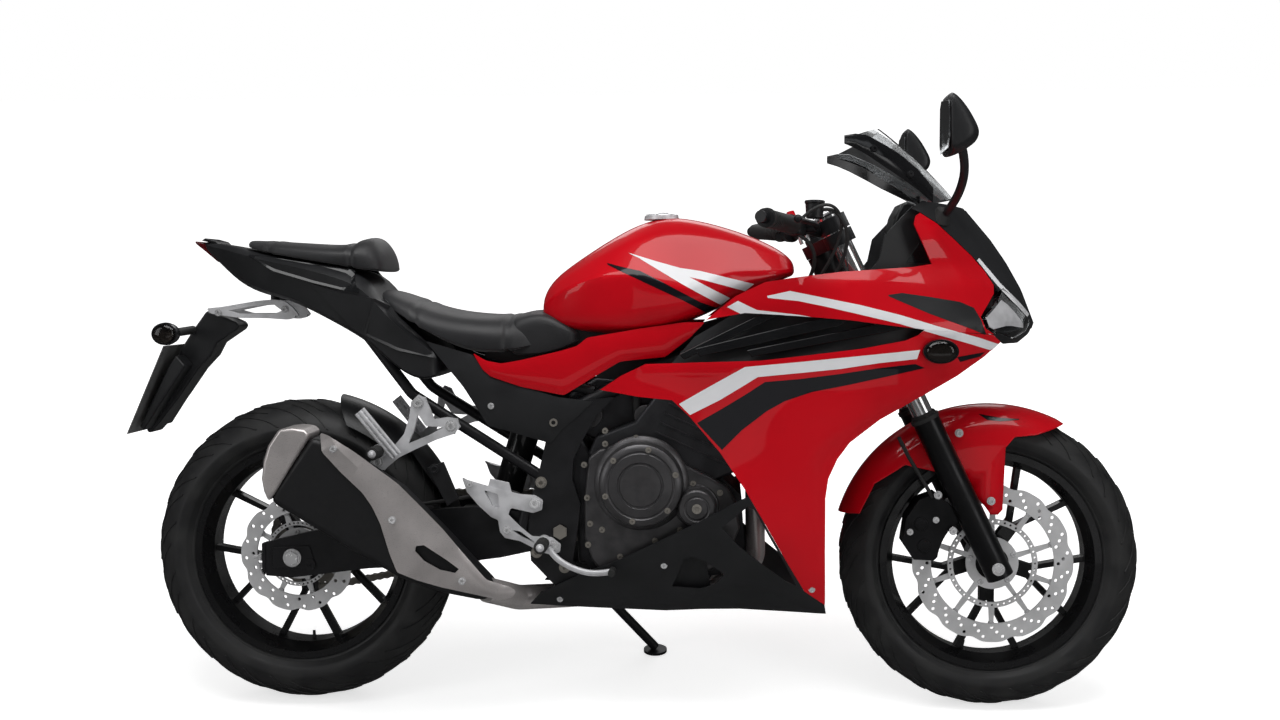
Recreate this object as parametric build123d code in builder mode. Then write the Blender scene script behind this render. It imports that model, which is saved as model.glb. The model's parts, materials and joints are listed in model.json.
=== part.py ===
"""A sport motorcycle with a full fairing, parked on its side stand, in millimetres.

The machine is drawn upright, +X forward, +Y to its left and +Z up from the ground. Shares of the
wheelbase run forward from the rear axle and shares of the height run up from the ground. Every
finished piece is then tipped over onto the side stand by one move.
"""
import os
from math import atan2, cos, hypot, pi, radians, sin, sqrt, tan

from build123d import *

os.makedirs("parts", exist_ok=True)

# Driving dimensions
wheelbase = 1410.0
rear_axle_x = -675.0
body_height = 1175.0
body_half_width = 235.0
rake_angle = 25.5
trail = 102.0
lean_angle = 10.0
stance_shift = -197.4
wall = 4.0
seat_gap = 0.3
running_fit = 0.05
wheel_gap = 0.5
overrun = 40.0

# Tyres, with the crown radius that meets the ground
front_tyre_radius = 300.0
front_tyre_width = 120.0
front_crown_radius = 62.0
rear_tyre_radius = 312.0
rear_tyre_width = 160.0
rear_crown_radius = 86.0
bead_radius = 216.0
bead_height = 8.0

# Rims and hubs
front_rim_width = 94.0
rear_rim_width = 124.0
rim_flange_radius = 222.0
rim_inner_radius = 194.0
rim_thickness = 7.0
spoke_count = 5
spoke_half_angle = 18.0
spoke_depth = 13.0
spoke_taper = 8.0
hub_radius = 36.0
axle_radius = 10.0

# Brake discs
front_disc_radius = 160.0
front_disc_inner_radius = 126.0
front_disc_y = -62.0
rear_disc_radius = 120.0
rear_disc_inner_radius = 84.0
rear_disc_y = -72.0
disc_thickness = 4.5
disc_wave_count = 10
disc_wave_radius = 16.0
disc_wave_depth = 4.0

# Fork
fork_half_spacing = 100.0
fork_tube_radius = 20.5
slider_radius = 27.0
slider_length = 328.0
slider_foot = 22.0
fork_length = 770.0
fork_tube_start = 215.0
lower_yoke_height = 470.0
top_yoke_height = 708.0
yoke_thickness = 26.0
yoke_ear = 10.0
stem_radius = 15.0
stem_bore = 8.5
stem_nut_radius = 20.0
head_tube_radius = 30.0

lean = radians(lean_angle)
rake = radians(rake_angle)
front_axle_x = rear_axle_x + wheelbase
front_axle_z = front_tyre_radius + front_crown_radius * (1 / cos(lean) - 1)
rear_axle_z = rear_tyre_radius + rear_crown_radius * (1 / cos(lean) - 1)
fork_offset = front_axle_z * sin(rake) - trail * cos(rake)
fork_origin = Vector(front_axle_x, 0, front_axle_z)
fork_forward = Vector(cos(rake), 0, sin(rake))
fork_up = Vector(-sin(rake), 0, cos(rake))


def fork_plane(height=0.0, forward=0.0):
    """Plane across the fork legs, a height above the front axle along them."""
    return Plane(
        origin=fork_origin + fork_up * height + fork_forward * forward, x_dir=fork_forward, z_dir=fork_up
    )


def on_fork(forward, side, height):
    """Point given along the fork: forward of the legs, to the left, and up from the axle."""
    return fork_origin + fork_forward * forward + Vector(0, side, 0) + fork_up * height


def place(shares):
    """Turn shares of the wheelbase and of the height into side-view points."""
    return [(rear_axle_x + x * wheelbase, z * body_height) for x, z in shares]


def side_face(shares):
    """Closed outline, given in shares, on the middle plane."""
    with BuildSketch(Plane.XZ) as face:
        with BuildLine():
            Polyline(*place(shares), close=True)
        make_face()
    return face.sketch


def slab(shares, near, far, mode=Mode.ADD):
    """Plate with a side-view outline between two distances to the right of the middle plane."""
    outline = side_face(shares).moved(Location((0, -near, 0)))
    return extrude(outline, amount=far - near, dir=(0, -1, 0), mode=mode)


def span(shares, half_width, mode=Mode.ADD):
    """Block with a side-view outline across the middle plane."""
    return extrude(side_face(shares), amount=half_width, both=True, mode=mode)


def rod(start, end, radius, inner=0.0, mode=Mode.ADD):
    """Round bar or tube between two points."""
    axis = Vector(*end) - Vector(*start)
    with BuildSketch(Plane(origin=start, z_dir=axis), mode=Mode.PRIVATE) as section:
        Circle(radius)
        if inner:
            Circle(inner, mode=Mode.SUBTRACT)
    return extrude(section.sketch, amount=axis.length, mode=mode)


def tube(points, bend, radius, mode=Mode.ADD):
    """Bent round tube along straight runs joined by arcs."""
    with BuildLine(mode=Mode.PRIVATE) as path:
        FilletPolyline(*points, radius=bend)
    with BuildSketch(Plane(origin=path.line @ 0, z_dir=path.line % 0), mode=Mode.PRIVATE) as section:
        Circle(radius)
    return sweep(section.sketch, path=path.line, mode=mode)


def point(x_share, y, z_share):
    """Point from a share of the wheelbase, a distance to the left and a share of the height."""
    return Vector(rear_axle_x + x_share * wheelbase, y, z_share * body_height)


def make_tyre(centre, radius, width, crown_radius, rim_width):
    """Revolve a tyre: one round crown, sidewalls drawn in, and beads on the rim."""
    shoulder = width / 2
    shoulder_height = radius - crown_radius + sqrt(crown_radius**2 - shoulder**2)
    bead = rim_width / 2 - rim_thickness - seat_gap
    bead_top = bead_radius + bead_height
    with BuildSketch(Plane(origin=centre, x_dir=(0, 1, 0), z_dir=(1, 0, 0))) as section:
        with BuildLine():
            ThreePointArc((-shoulder, shoulder_height), (0, radius), (shoulder, shoulder_height))
            Polyline(
                (shoulder, shoulder_height),
                (bead, bead_top),
                (bead, bead_radius),
                (-bead, bead_radius),
                (-bead, bead_top),
                (-shoulder, shoulder_height),
            )
        make_face()
    revolve(section.sketch, axis=Axis(centre, (0, 1, 0)))


def make_rim(centre, rim_width, hub_right, hub_left):
    """Cast wheel: rim ring, hub and spokes that split in two before they reach the rim."""
    flange = rim_width / 2
    seat = flange - rim_thickness
    seat_radius = bead_radius - seat_gap
    well_radius = rim_inner_radius + rim_thickness
    lip_inner = rim_flange_radius - rim_thickness * 2
    with BuildSketch(Plane(origin=centre, x_dir=(0, 1, 0), z_dir=(1, 0, 0))) as section:
        with BuildLine():
            Polyline(
                (-flange, rim_flange_radius),
                (-seat, rim_flange_radius),
                (-seat, seat_radius),
                (-seat / 2, well_radius),
                (seat / 2, well_radius),
                (seat, seat_radius),
                (seat, rim_flange_radius),
                (flange, rim_flange_radius),
                (flange, lip_inner),
                (seat / 2, rim_inner_radius),
                (-seat / 2, rim_inner_radius),
                (-flange, lip_inner),
                close=True,
            )
        make_face()
    revolve(section.sketch, axis=Axis(centre, (0, 1, 0)))
    wheel_plane = Plane(origin=centre, x_dir=(1, 0, 0), z_dir=(0, -1, 0))
    rod(Vector(*centre) + Vector(0, hub_left, 0), Vector(*centre) - Vector(0, hub_right, 0), hub_radius)
    stem_half_width = hub_radius * spoke_stem_share
    fork_radius = rim_inner_radius * spoke_fork_share
    end_radius = rim_inner_radius + rim_thickness / 2
    end_half_width = hub_radius * spoke_end_share
    with BuildSketch(wheel_plane) as spokes:
        for spoke in range(spoke_count):
            turn = Rot(0, 0, spoke * 360 / spoke_count + spoke_start_angle)
            with BuildSketch(mode=Mode.PRIVATE) as arm:
                with BuildLine():
                    Polyline(
                        (0, -stem_half_width),
                        (fork_radius, -stem_half_width),
                        (fork_radius, stem_half_width),
                        (0, stem_half_width),
                        close=True,
                    )
                make_face()
                for hand in (-1, 1):
                    angle = radians(hand * spoke_half_angle)
                    along = Vector(cos(angle), sin(angle))
                    across = Vector(-sin(angle), cos(angle)) * end_half_width
                    tip = along * end_radius
                    root = Vector(fork_radius, hand * (stem_half_width - end_half_width))
                    inner = Vector(fork_radius - hub_radius, hand * end_half_width)
                    with BuildLine():
                        Polyline(
                            inner,
                            root - Vector(0, hand * end_half_width),
                            tip - across * hand,
                            tip + across * hand,
                            root + Vector(0, hand * end_half_width),
                            close=True,
                        )
                    make_face()
            add(arm.sketch.moved(turn))
    extrude(spokes.sketch, amount=spoke_depth, both=True, taper=spoke_taper)
    rod(
        Vector(*centre) + Vector(0, hub_left + overrun, 0),
        Vector(*centre) - Vector(0, hub_right + overrun, 0),
        axle_radius + running_fit,
        mode=Mode.SUBTRACT,
    )


def make_disc(centre, y, radius, inner_radius, carrier_radius):
    """Wave-edged brake disc with a spoked carrier."""
    wave_centre = radius + disc_wave_radius - disc_wave_depth
    with BuildSketch(Plane(origin=(centre[0], y, centre[2]), x_dir=(1, 0, 0), z_dir=(0, -1, 0))) as face:
        Circle(radius)
        with PolarLocations(wave_centre, disc_wave_count):
            Circle(disc_wave_radius, mode=Mode.SUBTRACT)
        Circle(inner_radius, mode=Mode.SUBTRACT)
        with PolarLocations((inner_radius + carrier_radius) / 2, spoke_count):
            Rectangle(inner_radius - carrier_radius + wall * 2, carrier_radius / 2)
        Circle(carrier_radius + wall)
        Circle(hub_radius - wall * 2, mode=Mode.SUBTRACT)
    extrude(face.sketch, amount=disc_thickness / 2, both=True)


# Front wheel
spoke_stem_share = 0.45
spoke_fork_share = 0.46
spoke_end_share = 0.21
spoke_start_angle = 54.0
front_centre = (front_axle_x, 0, front_axle_z)
rear_centre = (rear_axle_x, 0, rear_axle_z)
front_hub_left = 52.0
front_hub_right = -front_disc_y - disc_thickness / 2

with BuildPart() as front_tyre:
    make_tyre(front_centre, front_tyre_radius, front_tyre_width, front_crown_radius, front_rim_width)

with BuildPart() as front_rim:
    make_rim(front_centre, front_rim_width, front_hub_right, front_hub_left)

with BuildPart() as front_disc:
    make_disc(front_centre, front_disc_y, front_disc_radius, front_disc_inner_radius, hub_radius * 2)

# Rear wheel
chain_y = 94.5
sprocket_thickness = 6.0
rear_sprocket_radius = 104.0
front_sprocket_radius = 38.0
rear_hub_left = chain_y - sprocket_thickness / 2
rear_hub_right = -rear_disc_y - disc_thickness / 2

with BuildPart() as rear_tyre:
    make_tyre(rear_centre, rear_tyre_radius, rear_tyre_width, rear_crown_radius, rear_rim_width)

with BuildPart() as rear_rim:
    make_rim(rear_centre, rear_rim_width, rear_hub_right, rear_hub_left)

with BuildPart() as rear_disc:
    make_disc(rear_centre, rear_disc_y, rear_disc_radius, rear_disc_inner_radius, hub_radius + wall * 3)

# Sprockets and chain
chain_pitch = 15.875
chain_plate_height = 15.0
chain_waist_height = 11.0
chain_inner_gap = 8.0
chain_width = 18.0
chain_roller_radius = 3.2
tooth_gap = 1.5
sprocket_bore_radius = hub_radius + wall
front_sprocket_shares = (0.4645, 0.3217)


def make_sprocket(centre_x, centre_z, pitch_radius, bore):
    """Toothed ring whose tips stay under the chain's rollers."""
    teeth = round(2 * pi * pitch_radius / chain_pitch)
    tip_radius = pitch_radius - chain_roller_radius - tooth_gap
    root_radius = tip_radius - chain_waist_height / 2
    with BuildSketch(Plane(origin=(centre_x, chain_y, centre_z), x_dir=(1, 0, 0), z_dir=(0, -1, 0))) as face:
        with BuildLine():
            corners = []
            for tooth in range(teeth):
                for share, ring in (
                    (0.0, root_radius), (0.3, root_radius), (0.45, tip_radius), (0.85, tip_radius),
                ):
                    angle = 2 * pi * (tooth + share) / teeth
                    corners.append((ring * cos(angle), ring * sin(angle)))
            Polyline(*corners, close=True)
        make_face()
        Circle(bore, mode=Mode.SUBTRACT)
        if bore > axle_radius * 2:
            with PolarLocations((root_radius + bore) / 2, spoke_count * 2):
                Circle((root_radius - bore) / 5, mode=Mode.SUBTRACT)
    extrude(face.sketch, amount=sprocket_thickness / 2, both=True)


with BuildPart() as rear_sprocket:
    make_sprocket(rear_axle_x, rear_axle_z, rear_sprocket_radius, sprocket_bore_radius - wall * 2)

front_sprocket_x = rear_axle_x + front_sprocket_shares[0] * wheelbase
front_sprocket_z = front_sprocket_shares[1] * body_height


def chain_line(distance):
    """Centre line of the chain: point and direction at a distance along its loop."""
    dx = front_sprocket_x - rear_axle_x
    dz = front_sprocket_z - rear_axle_z
    span_length = hypot(dx, dz)
    slope = atan2(dz, dx)
    spread = atan2(
        rear_sprocket_radius - front_sprocket_radius,
        sqrt(span_length**2 - (rear_sprocket_radius - front_sprocket_radius) ** 2),
    )
    run = span_length * cos(spread)
    top = slope - spread
    bottom = slope + spread
    front_arc = front_sprocket_radius * (pi - 2 * spread)
    rear_arc = rear_sprocket_radius * (pi + 2 * spread)
    total = 2 * run + front_arc + rear_arc
    distance = distance % total
    if distance < run:
        x = rear_axle_x - rear_sprocket_radius * sin(top) + distance * cos(top)
        z = rear_axle_z + rear_sprocket_radius * cos(top) + distance * sin(top)
        return x, z, top, total
    distance -= run
    if distance < front_arc:
        angle = top + pi / 2 - distance / front_sprocket_radius
        x = front_sprocket_x + front_sprocket_radius * cos(angle)
        z = front_sprocket_z + front_sprocket_radius * sin(angle)
        return x, z, angle - pi / 2, total
    distance -= front_arc
    if distance < run:
        x = front_sprocket_x + front_sprocket_radius * sin(bottom) - distance * cos(bottom)
        z = front_sprocket_z - front_sprocket_radius * cos(bottom) - distance * sin(bottom)
        return x, z, bottom + pi, total
    distance -= run
    angle = bottom - pi / 2 - distance / rear_sprocket_radius
    x = rear_axle_x + rear_sprocket_radius * cos(angle)
    z = rear_axle_z + rear_sprocket_radius * sin(angle)
    return x, z, angle - pi / 2, total


chain_length = chain_line(0)[3]
link_count = round(chain_length / chain_pitch / 2) * 2
with BuildPart() as chain:
    outer_edge = []
    inner_edge = []
    for half_link in range(link_count * 2):
        x, z, direction, _ = chain_line(chain_length * half_link / link_count / 2)
        height = chain_plate_height if half_link % 2 == 0 else chain_waist_height
        outer_edge.append((x - height / 2 * sin(direction), z + height / 2 * cos(direction)))
        inner_edge.append((x + height / 2 * sin(direction), z - height / 2 * cos(direction)))
    for near, far in ((-chain_width / 2, -chain_inner_gap / 2), (chain_inner_gap / 2, chain_width / 2)):
        with BuildSketch(Plane.XZ.offset(-chain_y + near)):
            with BuildLine():
                Polyline(*outer_edge, close=True)
            make_face()
            with BuildLine():
                Polyline(*inner_edge, close=True)
            make_face(mode=Mode.SUBTRACT)
        extrude(amount=far - near)
    with BuildSketch(Plane.XZ.offset(-chain_y - chain_inner_gap / 2)):
        for link in range(link_count):
            x, z, direction, _ = chain_line(chain_length * link / link_count)
            with Locations((x, z)):
                RegularPolygon(chain_roller_radius, 6)
    extrude(amount=chain_inner_gap)

# Fork, yokes and stem
with BuildPart() as yokes:
    for height in (lower_yoke_height, top_yoke_height):
        with BuildSketch(fork_plane(height)):
            ear = fork_tube_radius + yoke_ear
            with Locations((0, -fork_half_spacing), (0, fork_half_spacing)):
                Circle(ear)
            with Locations((-fork_offset, 0)):
                Circle(ear)
            with BuildLine():
                Polyline(
                    (ear, -fork_half_spacing),
                    (ear / 2, 0),
                    (ear, fork_half_spacing),
                    (-ear, fork_half_spacing),
                    (-fork_offset - ear, ear / 2),
                    (-fork_offset - ear, -ear / 2),
                    (-ear, -fork_half_spacing),
                    close=True,
                )
            make_face()
            with Locations((0, -fork_half_spacing), (0, fork_half_spacing)):
                Circle(fork_tube_radius + running_fit, mode=Mode.SUBTRACT)
        extrude(amount=yoke_thickness)
    rod(
        on_fork(-fork_offset, 0, lower_yoke_height),
        on_fork(-fork_offset, 0, top_yoke_height + yoke_thickness),
        stem_radius,
    )
    rod(
        on_fork(-fork_offset, 0, top_yoke_height + yoke_thickness),
        on_fork(-fork_offset, 0, top_yoke_height + yoke_thickness + stem_nut_radius / 2),
        stem_nut_radius,
    )
    rod(
        on_fork(-fork_offset, 0, top_yoke_height),
        on_fork(-fork_offset, 0, top_yoke_height + yoke_thickness + stem_nut_radius),
        stem_bore,
        mode=Mode.SUBTRACT,
    )

with BuildPart() as fork_tubes:
    for side in (-fork_half_spacing, fork_half_spacing):
        rod(on_fork(0, side, fork_tube_start), on_fork(0, side, fork_length), fork_tube_radius)

axle_end = fork_half_spacing + slider_radius + wall
with BuildPart() as fork_sliders:
    for side in (-fork_half_spacing, fork_half_spacing):
        rod(on_fork(0, side, -slider_foot), on_fork(0, side, slider_length), slider_radius)
        rod(
            on_fork(0, side, fork_tube_start - overrun),
            on_fork(0, side, slider_length + overrun),
            fork_tube_radius + running_fit,
            mode=Mode.SUBTRACT,
        )
    rod((front_axle_x, -axle_end, front_axle_z), (front_axle_x, axle_end, front_axle_z), axle_radius)
    spacer = axle_radius * 1.6
    for side, hub in ((-1, front_hub_right), (1, front_hub_left)):
        rod(
            (front_axle_x, side * (hub + wheel_gap), front_axle_z),
            (front_axle_x, side * fork_half_spacing, front_axle_z),
            spacer,
        )

# Mudguard over the front tyre
mudguard_wall = 3.0
mudguard_clearance = 14.0
mudguard_half_width = 78.0
mudguard_shares = [
    (0.7794, 0.3362), (0.7943, 0.4000), (0.8312, 0.4553), (0.8759, 0.5021), (0.9326, 0.5345),
    (0.9752, 0.5464), (1.0213, 0.5413), (1.0674, 0.5260), (1.1057, 0.4919),
    (1.0603, 0.4766), (1.0284, 0.4732), (1.0156, 0.4553), (1.0121, 0.3498), (1.0000, 0.3336),
    (0.9887, 0.3532), (0.9681, 0.3830), (0.9397, 0.4085),
    (0.8759, 0.4255), (0.8333, 0.3915), (0.8121, 0.3404),
]
with BuildPart() as front_mudguard:
    guard_inner = front_tyre_radius + mudguard_clearance
    with BuildSketch(Plane(origin=front_centre, x_dir=(0, 1, 0), z_dir=(1, 0, 0))):
        with BuildLine():
            half = mudguard_half_width
            arch = guard_inner + mudguard_wall
            low = front_tyre_radius / 3
            ThreePointArc((-half, guard_inner - half), (0, arch), (half, guard_inner - half))
            Polyline(
                (half, guard_inner - half),
                (half, low),
                (half - mudguard_wall, low),
                (half - mudguard_wall, guard_inner - half),
            )
            ThreePointArc(
                (half - mudguard_wall, guard_inner - half),
                (0, guard_inner),
                (-half + mudguard_wall, guard_inner - half),
            )
            Polyline(
                (-half + mudguard_wall, guard_inner - half),
                (-half + mudguard_wall, low),
                (-half, low),
                (-half, guard_inner - half),
            )
        make_face()
    revolve(axis=Axis(front_centre, (0, 1, 0)))
    span(mudguard_shares, mudguard_half_width + overrun, mode=Mode.INTERSECT)
    add(fork_sliders.part, mode=Mode.SUBTRACT)

# Brake caliper on the right fork leg, open over the disc
front_caliper_shares = [
    (0.9177, 0.3787), (0.9411, 0.3557), (0.9525, 0.3277), (0.9397, 0.2936), (0.9149, 0.2638),
    (0.8865, 0.2655), (0.8709, 0.2936), (0.8759, 0.3362), (0.8936, 0.3677),
]
caliper_half_width = 30.0
caliper_slot = 10.0
with BuildPart() as front_caliper:
    slab(front_caliper_shares, -front_disc_y - caliper_half_width, -front_disc_y + caliper_half_width)
    with BuildSketch(
        Plane(origin=(front_axle_x, front_disc_y, front_axle_z), x_dir=(1, 0, 0), z_dir=(0, -1, 0))
    ):
        Circle(front_disc_radius + wall * 2)
    extrude(amount=caliper_slot / 2, both=True, mode=Mode.SUBTRACT)
    with BuildSketch(Plane(origin=(front_axle_x, 0, front_axle_z), x_dir=(1, 0, 0), z_dir=(0, -1, 0))):
        Circle(front_disc_inner_radius - wall * 3)
    extrude(amount=-front_disc_y + caliper_half_width * 2, mode=Mode.SUBTRACT)
    add(fork_sliders.part, mode=Mode.SUBTRACT)

# Handlebars, grips and controls
bar_radius = 11.0
grip_radius = 17.0
bar_end_reach = 352.0
grip_inner_reach = 215.0
clamp_height = 30.0
bar_end_shares = (0.6645, 0.8374)
bar_root = on_fork(
    -fork_tube_radius - bar_radius, fork_half_spacing,
    top_yoke_height + yoke_thickness + clamp_height / 2 + wall / 2,
)
bar_tip = Vector(*point(bar_end_shares[0], bar_end_reach, bar_end_shares[1]))
bar_way = (bar_tip - bar_root).normalized()


def along_bar(reach, hand=1):
    """Point on the handlebar at a distance out from the middle plane."""
    at = bar_root + bar_way * ((reach - bar_root.Y) / bar_way.Y)
    return Vector(at.X, at.Y * hand, at.Z)


with BuildPart() as handlebars:
    for hand in (-1, 1):
        base = top_yoke_height + yoke_thickness + wall / 2
        side = hand * fork_half_spacing
        rod(on_fork(0, side, base), on_fork(0, side, base + clamp_height), fork_tube_radius + yoke_ear)
        rod(along_bar(fork_half_spacing - bar_radius, hand), along_bar(bar_end_reach, hand), bar_radius)
        rod(
            on_fork(0, side, base - overrun),
            on_fork(0, side, base + clamp_height + overrun),
            fork_tube_radius + running_fit,
            mode=Mode.SUBTRACT,
        )

with BuildPart() as grips:
    for hand in (-1, 1):
        rod(
            along_bar(grip_inner_reach, hand),
            along_bar(bar_end_reach - wall * 4, hand),
            grip_radius,
            inner=bar_radius + running_fit,
        )

control_length = 42.0
control_half_height = 19.0
control_half_depth = 19.0
lever_radius = 5.5
lever_reach = 60.0
with BuildPart() as hand_controls:
    for hand in (-1, 1):
        start = along_bar(grip_inner_reach - control_length - wall, hand)
        end = along_bar(grip_inner_reach - wall / 2, hand)
        with BuildSketch(Plane(origin=start, z_dir=end - start)):
            RectangleRounded(control_half_height * 2, control_half_depth * 2, control_half_height / 3)
        extrude(amount=control_length)
        rod(start - (end - start), end + (end - start), bar_radius + running_fit, mode=Mode.SUBTRACT)
        forward = Vector(lever_reach, 0, 0)
        knuckle = along_bar(grip_inner_reach - control_length / 2, hand)
        tip = along_bar(bar_end_reach - wall * 8, hand) + forward
        rod(knuckle + Vector(bar_radius + lever_radius * 2, 0, 0), knuckle + forward, lever_radius * 1.4)
        rod(knuckle + forward, tip, lever_radius)
        with Locations(knuckle + forward, tip):
            Sphere(lever_radius * 1.4)

# Brake hose from the caliper up the right fork leg
hose_radius = 4.0
hose_shares = [
    (0.9128, -92.0, 0.3719), (0.8957, -92.0, 0.4068), (0.8773, -104.0, 0.4426), (0.8617, -128.0, 0.4766),
]
with BuildPart() as brake_hose:
    hose_points = [point(*row) for row in hose_shares]
    tube(hose_points, [hose_radius * 6] * (len(hose_points) - 2), hose_radius)
    add(front_caliper.part, mode=Mode.SUBTRACT)

steering_pieces = {
    "yokes": yokes,
    "fork_tubes": fork_tubes,
    "fork_sliders": fork_sliders,
    "front_mudguard": front_mudguard,
    "front_caliper": front_caliper,
    "handlebars": handlebars,
    "grips": grips,
    "hand_controls": hand_controls,
    "brake_hose": brake_hose,
}
wheel_pieces = {
    "front_tyre": front_tyre,
    "front_rim": front_rim,
    "front_disc": front_disc,
    "rear_tyre": rear_tyre,
    "rear_rim": rear_rim,
    "rear_disc": rear_disc,
    "rear_sprocket": rear_sprocket,
    "chain": chain,
}

# Front bodywork: plan outlines stacked up the height, as setbacks from the tip and half widths
setback_shares = (0, 0.0099, 0.0284, 0.0567, 0.0922, 0.1560, 0.2624, 0.3688, 0.4752, 0.5816, 0.7092)
body_plan_shares = [
    (
        0.1668, 1.0319,
        [0.0213, 0.0426, 0.0851, 0.1489, 0.2553, 0.3830, 0.4426, 0.4596, 0.4681, 0.4596, 0.4255]
    ),
    (
        0.2213, 1.0319,
        [0.0426, 0.0638, 0.1277, 0.2340, 0.3617, 0.5021, 0.6043, 0.6383, 0.6468, 0.6383, 0.6043]
    ),
    (
        0.3404, 1.0319,
        [0.0851, 0.1277, 0.2128, 0.3617, 0.5106, 0.6596, 0.7830, 0.8085, 0.7830, 0.7319, 0.6894]
    ),
    (
        0.4681, 1.0319,
        [0.1277, 0.1915, 0.2979, 0.4681, 0.6170, 0.7830, 0.8851, 0.8723, 0.8085, 0.7404, 0.6979]
    ),
    (
        0.5957, 1.0355,
        [0.1702, 0.2638, 0.3915, 0.5702, 0.7149, 0.8723, 0.9617, 0.9106, 0.8085, 0.7234, 0.6809]
    ),
    (
        0.6638, 1.0645,
        [0.1277, 0.2723, 0.4340, 0.5872, 0.7064, 0.8426, 0.9362, 0.8766, 0.7745, 0.7021, 0.6596]
    ),
    (
        0.7234, 1.0454,
        [0.1191, 0.2298, 0.3660, 0.5021, 0.6298, 0.7574, 0.8511, 0.8000, 0.7021, 0.6596, 0.6383]
    ),
    (
        0.7702, 1.0234,
        [0.1106, 0.1872, 0.2809, 0.4000, 0.5191, 0.6553, 0.7660, 0.7319, 0.6809, 0.6383, 0.6170]
    ),
    (
        0.8085, 1.0014,
        [0.1106, 0.1787, 0.2809, 0.4085, 0.5362, 0.6723, 0.7489, 0.7234, 0.6809, 0.6383, 0.6170]
    ),
    (
        0.8766, 0.9539,
        [0.1106, 0.1957, 0.3149, 0.4298, 0.5362, 0.6383, 0.6979, 0.6809, 0.6383, 0.5957, 0.5532]
    ),
]


def body_loft(inset, floor):
    """Solid front body, drawn in by a wall and started at a floor height."""
    with BuildPart(mode=Mode.PRIVATE) as solid:
        sections = []
        for row, (z_share, tip_share, half_shares) in enumerate(body_plan_shares):
            height = z_share * body_height
            if row == 0:
                height += floor
            tip = rear_axle_x + tip_share * wheelbase - inset
            right = [
                (tip - back * wheelbase, max(half * body_half_width - inset, wall / 4))
                for back, half in zip(setback_shares, half_shares)
            ]
            ring = right + [(x, -y) for x, y in reversed(right)]
            with BuildSketch(Plane.XY.offset(height), mode=Mode.PRIVATE) as plan:
                with BuildLine():
                    Polyline(*ring, close=True)
                make_face()
            sections.append(plan.sketch)
        loft(sections, ruled=True)
    return solid.part


with BuildPart() as body_shell:
    add(body_loft(0, 0))
    add(body_loft(wall, -wall), mode=Mode.SUBTRACT)

upper_cowl_shares = [
    (0.5943, 0.6757), (0.6340, 0.7140), (0.6745, 0.7370), (0.7227, 0.7455), (0.7766, 0.7532),
    (0.8312, 0.7574), (0.8759, 0.7609), (0.9043, 0.7660), (0.8801, 0.8323),
    (0.8830, 0.8460), (0.8894, 0.8511), (0.9142, 0.8332), (0.9411, 0.8043), (0.9645, 0.7787),
    (0.9823, 0.7540), (0.9922, 0.7311), (0.9908, 0.7166), (0.9752, 0.6911),
    (0.9681, 0.6791), (0.9752, 0.6596), (0.9879, 0.6502), (0.9326, 0.6545), (0.8894, 0.6596),
    (0.8560, 0.6638), (0.7887, 0.6749), (0.7213, 0.6817), (0.6468, 0.6868),
]
nose_cowl_shares = [
    (0.8901, 0.8519), (0.9149, 0.8340), (0.9418, 0.8051), (0.9652, 0.7796), (0.9830, 0.7547),
    (0.9929, 0.7316), (0.9986, 0.7200), (1.0071, 0.7260),
    (1.0270, 0.7047), (1.0454, 0.6851), (1.0525, 0.6723), (1.0461, 0.6519), (1.0206, 0.6409),
    (0.9936, 0.6519), (0.9908, 0.6451), (1.0035, 0.6332), (1.0319, 0.6332),
    (1.0887, 0.6468), (1.0887, 0.8715), (0.8936, 0.8715), (0.8773, 0.8579),
]
headlight_shares = [
    (0.9773, 0.6834), (0.9943, 0.6996), (1.0050, 0.7234), (1.0156, 0.7153), (1.0265, 0.7037),
    (1.0447, 0.6846), (1.0518, 0.6723), (1.0451, 0.6531),
    (1.0199, 0.6420), (0.9950, 0.6536), (0.9809, 0.6630), (0.9752, 0.6723),
]
side_fairing_shares = [
    (0.4468, 0.5591), (0.4766, 0.5830), (0.5106, 0.6026), (0.5858, 0.6060), (0.6674, 0.6094),
    (0.7213, 0.6170), (0.8021, 0.6289), (0.8624, 0.6417), (0.8801, 0.6502),
    (0.8894, 0.6591), (0.9326, 0.6540), (0.9869, 0.6490), (0.9996, 0.6364), (0.9766, 0.6128),
    (0.9369, 0.5821), (0.8830, 0.5481), (0.8298, 0.5123), (0.7894, 0.4740),
    (0.7730, 0.4468), (0.7610, 0.4136), (0.7574, 0.3804), (0.7582, 0.2894), (0.7603, 0.1915),
    (0.7305, 0.2187), (0.7085, 0.2647), (0.6745, 0.3387), (0.6468, 0.3966),
    (0.6128, 0.4579), (0.5723, 0.5149), (0.5475, 0.5430), (0.5000, 0.5481),
]
belly_cowl_shares = [
    (0.3433, 0.1889), (0.3603, 0.2128), (0.4170, 0.2468), (0.4730, 0.2732), (0.5291, 0.3072),
    (0.5851, 0.3413), (0.6404, 0.3779), (0.6521, 0.3845), (0.6741, 0.3385),
    (0.7082, 0.2644), (0.7302, 0.2184), (0.7599, 0.1910), (0.7624, 0.1745), (0.6404, 0.1838),
    (0.5851, 0.1830), (0.5362, 0.1796), (0.4447, 0.1838),
]

stand_notch_shares = [
    (0.3156, 0.1277), (0.3156, 0.2553), (0.4362, 0.2553), (0.4674, 0.2230), (0.4674, 0.1277),
]

with BuildPart() as upper_cowl:
    add(body_shell.part)
    span(upper_cowl_shares, body_half_width + overrun, mode=Mode.INTERSECT)

with BuildPart() as nose_cowl:
    add(body_shell.part)
    span(nose_cowl_shares, body_half_width + overrun, mode=Mode.INTERSECT)

with BuildPart() as headlights:
    add(body_shell.part)
    span(headlight_shares, body_half_width + overrun, mode=Mode.INTERSECT)

with BuildPart() as side_fairings:
    add(body_shell.part)
    span(side_fairing_shares, body_half_width + overrun, mode=Mode.INTERSECT)

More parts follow.
